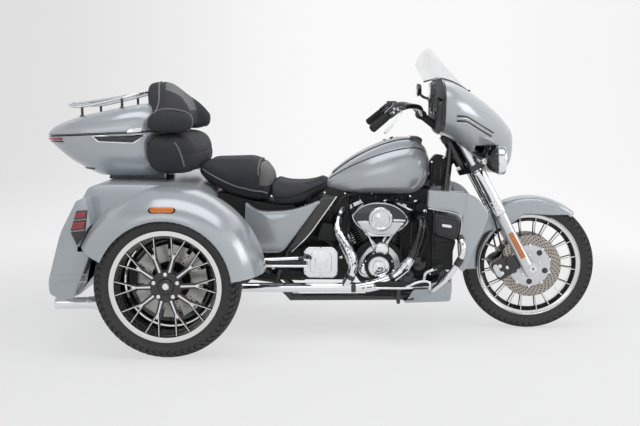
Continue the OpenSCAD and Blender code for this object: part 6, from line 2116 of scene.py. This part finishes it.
        # Gearbox with its side cover: an eight-sided chrome plate with a raised centre
        box = Shape()
        gx0, gx1 = cx - 372, cx - 112
        box.plate(oblong(gx0, 252, gx1, 420), 22, -117, 117, 10, 4)
        for z in np.linspace(268, 404, 6):
            box.sweep([[gx0 - 3, -90, z], [gx0 - 3, 90, z]], 4, 8)
        plate = round_outline([(-94, 300), (-94, 404), (-72, 426), (50, 426), (72, 404), (72, 296), (52, 276),
                               (-72, 276)], 10)
        box.slab(plate, -112, -190, 9, 5, mark=1, crown=3, groove=(6, 6, 2.2))
        box.plate([(-62, 312), (-62, 390), (-46, 402), (28, 402), (42, 390), (42, 310), (28, 300), (-46, 300)], 8,
                  -188, -203, 6, 4, mark=1, crown=2)
        box.plate([(-36, 330), (-36, 372), (-10, 386), (18, 372), (18, 330), (-10, 316)], 4, -201, -208, 3, 3, mark=1,
                  crown=1)
        for x, z in ((-84, 300), (-84, 402), (62, 402), (62, 300), (-10, 418), (-10, 284)):
            box.lathe((x, 0, z), [(0, -199), (5, -199), (6, -197), (6, -186)], 12, mark=1)
        box.piece("gearbox", "chassis", finishes("cast black", "chrome"), "gearbox", "black_casting", outward=True)

        # Primary cover on the left: two discs joined by a tapered slab, with a derby ring
        cover = Shape()
        a0 = np.radians(np.linspace(-88, 88, 32))
        f, t = np.array([cx + 8, 330.0]), np.array([cx - 330, 318.0])
        outline = np.vstack([f + 112 * np.stack([np.cos(a0), np.sin(a0)], 1),
                             t + 96 * np.stack([-np.cos(a0), np.sin(a0)], 1)[::-1]])
        cover.slab(outline, 128, 190, 12, 5, crown=5, groove=(5, 8, 2.0))
        cover.lathe((f[0], 0, f[1]), [(62, 188), (62, 200), (58, 204), (50, 205), (46, 202), (0.2, 203)], 72)
        cover.lathe((t[0], 0, t[1]), [(48, 188), (48, 198), (44, 202), (36, 203), (32, 200), (0.2, 201)], 72)
        for centre, r in ((f, 54), (t, 40)):
            for k in range(5):
                q = math.radians(90 + 72 * k)
                cover.lathe((centre[0] + r * math.cos(q), 0, centre[1] + r * math.sin(q)),
                            [(4.5, 200), (4.5, 207), (0, 207)], 12)
        cover.piece("primary_cover", "chassis", finishes("chrome"), "primary_cover", "chrome", outward=True)
        return {"FINISHED"}


class TRIKE_OT_engine_bay(bpy.types.Operator):
    """Dark housings between the frame's tubes: electrics box, coil tray, regulator and drive housing, with ribs,
    bolts, hoses and the passengers' bright tubes"""
    bl_idname = "trike.engine_bay"
    bl_label = "Engine bay"

    def execute(self, context):
        cx, rx = CRANK[0], REAR_X
        bay = Shape()

        def housing(outline, half, ribs, mark=0):
            """Rounded box of that outline and half width, with upright ribs and a bolt at each corner."""
            p = round_outline(outline, 14)
            bay.slab(p, -half, half, 8, 4, mark=mark, crown=3, groove=(9, 6, 2.5))
            x, z = p[:, 0], p[:, 1]
            for q in np.linspace(x.min() + 22, x.max() - 22, ribs):
                near = np.interp(q, [x.min(), x.max()], [0, 1])
                low, high = z.min() + 34, z.max() - 34 - 10 * near
                for side in (-1, 1):
                    bay.sweep([[q, side * (half + 1), low], [q + 4, side * (half + 1), high]], 4, 8, mark=2)
            for q in p[::8]:
                c = p.mean(0) + (q - p.mean(0)) * .88
                for side in (-1, 1):
                    bolt = [(0, -3), (6, -3), (6, 3), (4.5, 5), (0, 5)]
                    bay.lathe((c[0], side * half, c[1]), [(r, side * y) for r, y in bolt][::side], 12, mark=3)

        housing(at_x(cx, [(-470, 402), (-170, 402), (-128, 520), (-150, 694), (-250, 700), (-330, 640)]), 92, 5)
        housing(at_x(cx, [(-190, 590), (-100, 566), (130, 566), (226, 610), (250, 696), (-200, 696)]), 54, 6, 1)
        housing(at_x(cx, [(84, 262), (262, 236), (286, 470), (252, 694), (150, 694), (112, 520)]), 62, 4)
        housing(at_x(cx, [(-620, 250), (-350, 244), (-350, 408), (-440, 408), (-620, 330)]), 104, 6, 1)
        housing(at_x(cx, [(250, 702), (246, 820), (276, 856), (322, 848), (344, 770), (352, 702)]), 34, 3)
        # Lead box, horn cup and canister standing out of the housings
        for side in (-1, 1):
            bay.plate(at_x(cx, [(-318, 590), (-226, 590), (-206, 660), (-268, 672)]), 10, side * 90, side * 128, 6, 4,
                      mark=2, crown=2)
            bay.plate(at_x(cx, [(-300, 450), (-206, 444), (-200, 520), (-270, 540)]), 12, side * 90, side * 140, 6, 4,
                      crown=3)
            bay.lathe((cx + 196, 0, 330),
                      [(0, side * 60), (34, side * 60), (36, side * 92), (33, side * 98), (20, side * 101),
                       (0, side * 101)], 40, mark=2)
            bay.lathe((cx + 204, 0, 602),
                      [(0, side * 50), (26, side * 50), (28, side * 78), (25, side * 84), (0, side * 86)], 32, mark=1)
            hoses = [([[cx - 360, 96, 470], [cx - 250, 130, 452], [cx - 190, 124, 392], [cx - 168, 100, 330]], 9),
                     ([[cx - 300, 100, 610], [cx - 214, 132, 600], [cx - 166, 120, 664], [cx - 60, 84, 676],
                       [cx + 80, 70, 660]], 7),
                     ([[cx + 240, 60, 640], [cx + 214, 96, 560], [cx + 238, 92, 470], [cx + 206, 84, 372],
                       [cx + 150, 70, 300]], 10),
                     ([[cx - 30, 70, 630], [cx + 60, 96, 640], [cx + 150, 92, 622], [cx + 228, 74, 660]], 6),
                     ([[cx - 590, 108, 300], [cx - 480, 122, 312], [cx - 380, 118, 286], [cx - 300, 100, 300]], 8)]
            for points, r in hoses:
                line = bent_line(np.array(points, float) * [1, side, 1], 30, 8)
                bay.sweep(line, r, 14, mark=4)
                for end in (line[1], line[-2]):
                    bay.sweep([end - [5, 0, 2], end + [5, 0, 2]], r + 2, 14, mark=3)
        bay.piece("engine_bay", "chassis", finishes("cast black", "plastic", "gloss black", "chrome", "rubber"),
                  slot="black_plastic", outward=True)

        tubes = Shape()
        for side in (-1, 1):
            y = side * 234
            tubes.sweep(bent_line([[rx + 290, y, 360], [rx + 318, y, 361], [cx - 366, y, 374]], 10), 14.5, 28)
            tubes.sweep([[rx + 300, y, 362], [rx + 312, y, 362]], 17, 28, mark=1)
            tubes.sweep([[cx - 376, y, 373.6], [cx - 362, y, 374]], 17, 28, mark=1)
        tubes.piece("passenger_tubes", "chassis", finishes("chrome", "gloss black"), slot="chrome", outward=True)
        return {"FINISHED"}


class TRIKE_OT_exhaust(bpy.types.Operator):
    """Header pipes with slotted heat shields, clamps, and the two mufflers with their tips"""
    bl_idname = "trike.exhaust"
    bl_label = "Exhaust"

    def execute(self, context):
        cx, rx, y = CRANK[0], REAR_X, -232
        pipes = Shape()
        front = bent_line([[cx + 168, -76, 566], [cx + 214, -150, 540], [cx + 150, y, 366], [cx + 70, y, 282],
                           [cx - 50, y, 240], [rx + 214, y, 236]], 70, 12)
        rear = bent_line(at_x(cx, [[-170, -70, 596], [-212, -150, 520], [-140, y, 410], [-116, y, 330],
                                   [-160, y, 246]]), 60, 12)
        link = bent_line(at_x(rx, [[250, y, 236], [214, y + 40, 214], [214, -y, 214]]), 30, 10)
        k = int(.36 * len(front))
        pipes.sweep(front[:k + 1], 22, 28, mark=2)
        pipes.sweep(front[k:], 22, 28)
        pipes.sweep(rear, 22, 28)
        pipes.sweep(link, 19.5, 24, mark=1)
        for line, r in ((front, 24.5), (rear, 24.5)):
            steps = len(line)
            for share in (.04, .30, .62, .97):
                k = min(int(share * steps), steps - 2)
                q, d = line[k], line[k + 1] - line[k]
                d = d / max(np.linalg.norm(d), 1e-6)
                pipes.sweep([q - d * 6, q + d * 6], r, 28, mark=2)
        # Shields: half tubes outside the pipes, with a dark slot line
        for line, lo, hi in ((front, .38, .54), (front, .60, .95), (rear, .22, .80)):
            part = line[int(lo * len(line)):int(hi * len(line))]
            t = carried_axes(part)[0]
            a = np.linspace(-1.75, 1.75, 21)
            side = np.array([0, -1.0, 0])
            e1 = side[None] - t * (t @ side)[:, None]
            e1 /= np.linalg.norm(e1, axis=1, keepdims=True)
            e2 = np.cross(t, e1)
            taper = np.clip(np.minimum(np.arange(len(part)), np.arange(len(part))[::-1]) / 2.5, .86, 1)[:, None, None]
            ring = part[:, None] + 27 * taper * (np.cos(a)[None, :, None] * e1[:, None]
                                                 + np.sin(a)[None, :, None] * e2[:, None])
            inner = part[:, None] + 25 * taper * (np.cos(a)[None, :, None] * e1[:, None]
                                                  + np.sin(a)[None, :, None] * e2[:, None])
            pipes.grid(np.concatenate([ring, inner[:, ::-1]], 1), wrap=True)
            for k in np.linspace(2, len(part) - 3, 9).astype(int):
                c0, c1 = part[k] + e1[k] * 27.2, part[min(k + 1, len(part) - 1)] + e1[min(k + 1,
                        len(part) - 1)] * 27.2
                pipes.sweep([c0, c0 + (c1 - c0) * .75], 2.6, 8, mark=2)
        pipes.piece("exhaust_pipes", "chassis", finishes("chrome", "alloy", "gloss black"), "exhaust_pipes", "chrome",
                    outward=True)

        cans = Shape()
        for side in (-1, 1):
            m = np.array([1, side, 1])
            lead = bent_line(np.array([[rx + 218, 232, 222], [rx + 170, 275, 205], [rx + 122, 326, 188]]), 40, 9) * m
            cans.sweep(lead, 22.5, 24)
            shares = np.array([0, .02, .10, .16, .80, .86, .92, 1.0])
            radii = np.array([23, 26, 40, 44, 44, 42, 33, 29.0])
            a = np.array([rx + 136, 330, 186]) * m
            b = np.array([rx - 420, 330, 180]) * m
            u = np.linspace(0, 1, 60)
            can = a + (b - a) * u[:, None]
            cans.sweep(can, np.interp(u, shares, radii), 48)
            for q in (.14, .82):
                c = a + (b - a) * q
                cans.sweep([c + [4, 0, 0], c - [4, 0, 0]], 45.6, 48)
            tip = [(-400 - 10, 24), (-430, 27.5), (-560, 27.5), (-573, 28.5), (-576, 27.5), (-575, 25), (-560, 24),
                   (-470, 23.5)]
            t = Shape().lathe((0, 0, 0), [(r, x) for x, r in tip], 40, axis="x").move(
                lambda p, side=side: p + xyz(rx, side * 330, 180 + (p[:, 0] + 420) * .026))
            cans.join(t)
            cans.lathe((rx - 480, side * 330, 178), [(23.4, -6), (0.2, -6)], 32, axis="x", mark=1)
        cans.piece("mufflers", "chassis", finishes("chrome", "gloss black"), "mufflers", "chrome", outward=True)
        return {"FINISHED"}


class TRIKE_OT_covers(bpy.types.Operator):
    """Side covers, lower fairings, glove boxes, guard tube, chin spoiler, footboards and pedals"""
    bl_idname = "trike.covers"
    bl_label = "Covers, guard and footboards"

    def execute(self, context):
        sx, tx, cx = SEAT_X, TANK_X, CRANK[0]
        in_y, out_y = SEAT_HALF * .7, SEAT_HALF + 4
        covers = Shape()
        panel = round_outline(at_x(sx, [(-24, 648), (-156, 600), (-322, 590), (-384, 640), (-392, 392), (-208, 396)]),
                              [10, 60, 50, 14, 26, 30], 8)
        covers.slab(panel, in_y, out_y - 8, 12, 6, crown=7, groove=(4, 5, 1.8))
        # Black strip with a bright edge along the front of each cover
        strip = round_outline([(-14, 655), (-2, 660), (66, 668), (-72, 470), (-150, 396), (-186, 392)],
                              [6, 6, 10, 20, 14, 10], 6)
        covers.slab(strip, in_y - 10, out_y - 26, 6, 4, mark=1, crown=4)
        edge = bent_line([[64, out_y - 28, 664], [-70, out_y - 26, 474], [-150, out_y - 28, 400]], 50, 10)
        covers.sweep(edge, 3.4, 10, mark=2)
        covers.mirrored()
        covers.piece("side_covers", "chassis", finishes("paint", "gloss black", "chrome"), "side_covers", "paint",
                     outward=True)

        lower = Shape()
        shield = round_outline(at_x(tx, [(150, 700), (212, 670), (262, 605), (232, 513), (196, 443), (150, 334),
                                         (131, 337), (118, 473), (134, 574)]), [20, 26, 30, 30, 30, 10, 8, 34, 20], 8)
        band = round_outline(at_x(tx, [(-20, 712), (150, 700), (168, 640), (134, 574), (112, 606), (-24, 628)]),
                             [16, 10, 8, 12, 24, 16], 8)
        lower.slab(shield, 262, 318, 12, 6, crown=4)
        lower.slab(band, 262, 316, 12, 6, crown=3)
        lower.sweep(bent_line(at_x(tx, [[133, 317, 340], [121, 321, 473], [136, 321, 574], [113, 321, 605],
                                        [-20, 318, 628]]), 34, 10), 3.0, 10, mark=1)
        lower.mirrored()
        lower.piece("lower_fairings", "chassis", finishes("paint", "alloy"), "lower_fairings", "paint", outward=True)

        pods = Shape()
        pods.slab(round_outline(at_x(tx, [(6, 604), (110, 587), (128, 562), (112, 478), (14, 506)]),
                                [20, 22, 22, 26, 20], 8),
                  252, 332, 14, 6, crown=5, groove=(7, 5, 2))
        pods.plate(at_x(tx, [(40, 560), (84, 554), (86, 540), (42, 546)]), 5, 330, 341, 3, mark=1)
        pods.slab(round_outline(at_x(tx, [(14, 503), (112, 476), (76, 344), (2, 306)]), 14, 7), 264, 298, 8, 4,
                  mark=2, crown=2)
        for k in range(7):
            z = 360 + 18 * k
            x0, x1 = np.interp(z, [306, 344, 503], [2, 6, 18]), np.interp(z, [344, 476], [70, 104])
            pods.sweep([[tx + x0, 300, z - 6], [tx + x1, 300, z]], 3.2, 8, mark=2)
        pods.mirrored()
        pods.piece("glove_boxes", "chassis", finishes("grey plastic", "chrome", "plastic"), "glove_boxes",
                   "black_plastic", outward=True)

        guard = Shape()
        tube = bent_line([[cx + 316, 74, 560], [tx + 84, 150, 560], [tx + 92, 240, 540], [tx + 142, 352, 470],
                          [tx + 132, 352, 400], [tx + 60, 330, 296],
                          [tx + 10, 200, 216], [cx + 240, 112, 196]], 55, 12)
        guard.sweep(tube, 13.6, 20)
        for q in (.36, .60):
            k = int(q * len(tube))
            d = tube[k + 1] - tube[k]
            d /= np.linalg.norm(d)
            guard.sweep([tube[k] - d * 16, tube[k] + d * 16], 17, 20, mark=1)
        guard.mirrored()
        guard.piece("engine_guard", "chassis", finishes("chrome", "gloss black"), "engine_guard", "chrome",
                    outward=True)

        chin = Shape()
        s = np.linspace(-1, 1, 41)[:, None]
        path = round_outline(at_x(tx, [(112, 258), (122, 258), (125, 166), (-60, 147), (-116, 147), (-116, 153),
                                       (112, 170)]), [3, 3, 30, 20, 2, 2, 24], 6)
        body = xyz(tx + (path[None, :, 0] - tx) - 34 * np.abs(s) ** 3.2, 168 * s,
                   path[None, :, 1] + 10 * np.abs(s) ** 4)
        body[..., 0] = np.maximum(body[..., 0], tx - 118)
        chin.grid(body, wrap=True, ends=True)
        flank = round_outline(at_x(tx, [(-112, 151), (106, 160), (110, 256), (20, 252), (-76, 212)]),
                              [4, 16, 6, 20, 12], 6)
        for side in (-1, 1):
            chin.slab(flank, side * 156, side * 167, 3, 3, crown=2)
        chin.piece("chin_spoiler", "chassis", finish("paint"), "chin_spoiler", "paint", outward=True)

        boards = Shape()
        for side in (-1, 1):
            def floor_map(p, side=side):
                return xyz(p[..., 0], side * p[..., 2], p[..., 1])
            rider = round_outline(at_x(tx, [(-270, 264), (-40, 264), (-8, 290), (-8, 352), (-30, 377), (-262, 377)]),
                                  18)
            boards.slab(rider, 262, 271, 3, to=floor_map)
            boards.slab(inset(round_outline(at_x(tx, [(-262, 272), (-44, 272), (-18, 294), (-18, 350), (-34, 368),
                                                      (-256, 368)]), 14), 0), 270, 276, 2, mark=1, to=floor_map)
            for k in range(9):
                boards.plate(oblong(tx - 246 + 24 * k, 282, tx - 236 + 24 * k, 360), 4, 275, 279, 1.2, mark=1,
                             to=floor_map)
            rear = round_outline(at_x(tx, [(-830, 248), (-572, 248), (-572, 340), (-590, 341), (-812, 341),
                                           (-830, 325)]), 16)
            boards.slab(rear, 356, 366, 3, to=floor_map)
            boards.plate(at_x(tx, [(-822, 254), (-580, 254), (-580, 334), (-814, 334)]), 12, 365, 370, 2, mark=1,
                         to=floor_map)
            for k in range(9):
                boards.plate(oblong(tx - 808 + 25 * k, 262, tx - 798 + 25 * k, 326), 4, 369, 372.5, 1.2, mark=1,
                             to=floor_map)
            boards.sweep(bent_line(at_x(tx, [[-828, side * 340, 361], [-700, side * 343, 361],
                                             [-574, side * 340, 361]]), 10), 6.0, 12, mark=2)
            boards.sweep([[tx - 150, side * 118, 178], [tx - 150, side * 270, 178]], 9, 14)
            boards.sweep(bent_line(at_x(tx, [[-150, side * 268, 178], [-150, side * 272, 220],
                                             [-150, side * 274, 264]]), 12), 9, 14)
            boards.sweep([[tx - 700, side * 90, 363], [tx - 700, side * 250, 363]], 9, 14)
            boards.sweep(bent_line(at_x(tx, [[-262, side * 378, 268], [-140, side * 380, 268],
                                             [-14, side * 360, 270]]), 20), 5, 12, mark=2)
        pedal = bent_line(at_x(tx, [[-40, -320, 276], [-30, -320, 330], [20, -330, 352]]), 16)
        boards.sweep(pedal, 7, 14, mark=2)
        pad = round_outline(oblong(0, -350, 48, -308), 8)
        tilt = lambda p: turned(xyz(p[..., 0] + tx + 6, p[..., 2], p[..., 1] + 346), np.array([tx + 6, 0, 346]), -24)
        boards.slab(pad, 0, 11, 3, mark=1, to=tilt)
        for k in range(4):
            boards.plate(oblong(6 + 10 * k, -344, 11 + 10 * k, -314), 2, 10, 13.5, 1, mark=1, to=tilt)
        boards.piece("floorboards", "chassis", finishes("gloss black", "rubber", "chrome"), "floorboards",
                     "black_steel", outward=True)

        # Bright arch over each rider's board
        arch = Shape()
        line = bent_line(at_x(tx, [[-120, 372, 272], [-60, 376, 300], [-10, 374, 300], [-14, 366, 262]]), 26, 9)
        arch.sweep(line, 6, 12)
        arch.mirrored()
        arch.piece("board_arches", "chassis", finish("chrome"), slot="chrome", outward=True)
        return {"FINISHED"}


class TRIKE_OT_structure(bpy.types.Operator):
    """Finishes for the frame, axle, crankcase and the other parts whose shape stays as it is"""
    bl_idname = "trike.structure"
    bl_label = "Frame and castings"

    KEPT = {"frame": ["frame black"], "engine_case": ["cast black", "chrome"], "oil_cooler": ["cast black"],
            "seat_base": ["plastic"],
            "rear_axle": ["cast black", "gloss black"], "fork_yokes": ["frame black"], "fuel_door": ["chrome"]}

    def execute(self, context):
        for name, looks in self.KEPT.items():
            obj = frame["nodes"][name]
            slots = obj.material_slots
            if not slots:
                obj.data.materials.append(finish(looks[0]))
            for k, slot in enumerate(slots):
                slot.material = finish(looks[min(k, len(looks) - 1)])
        return {"FINISHED"}


class TRIKE_PT_panel(bpy.types.Panel):
    """Sidebar panel with the settings and a button for each group of pieces"""
    bl_idname = "TRIKE_PT_panel"
    bl_label = "Touring trike"
    bl_space_type = "VIEW_3D"
    bl_region_type = "UI"
    bl_category = "Trike"

    def draw(self, context):
        for group in (context.scene.trike_sizes, context.scene.trike_colours, context.scene.trike_studio):
            box = self.layout.box()
            for name in group.__annotations__:
                box.prop(group, name)
        for step in STEPS:
            self.layout.operator(step.bl_idname)


STEPS = (TRIKE_OT_stage, TRIKE_OT_structure, TRIKE_OT_tank, TRIKE_OT_seats, TRIKE_OT_rear_body, TRIKE_OT_top_case,
         TRIKE_OT_fairing,
         TRIKE_OT_lamps, TRIKE_OT_controls, TRIKE_OT_fork, TRIKE_OT_front_wheel, TRIKE_OT_rear_wheels,
         TRIKE_OT_engine, TRIKE_OT_engine_bay, TRIKE_OT_exhaust,
         TRIKE_OT_covers)
GROUPS = {"trike_sizes": TrikeSizes, "trike_colours": TrikeColours, "trike_studio": TrikeStudio}


def register():
    for group in GROUPS.values():
        bpy.utils.register_class(group)
    for name, group in GROUPS.items():
        setattr(bpy.types.Scene, name, bpy.props.PointerProperty(type=group))
    for step in (*STEPS, TRIKE_PT_panel):
        bpy.utils.register_class(step)


def unregister():
    for step in (TRIKE_PT_panel, *reversed(STEPS)):
        bpy.utils.unregister_class(step)
    for name, group in GROUPS.items():
        delattr(bpy.types.Scene, name)
        bpy.utils.unregister_class(group)


def main():
    """Builds every piece in order."""
    register()
    for step in STEPS:
        group, name = step.bl_idname.split(".")
        getattr(getattr(bpy.ops, group), name)()


if __name__ == "__main__":
    main()
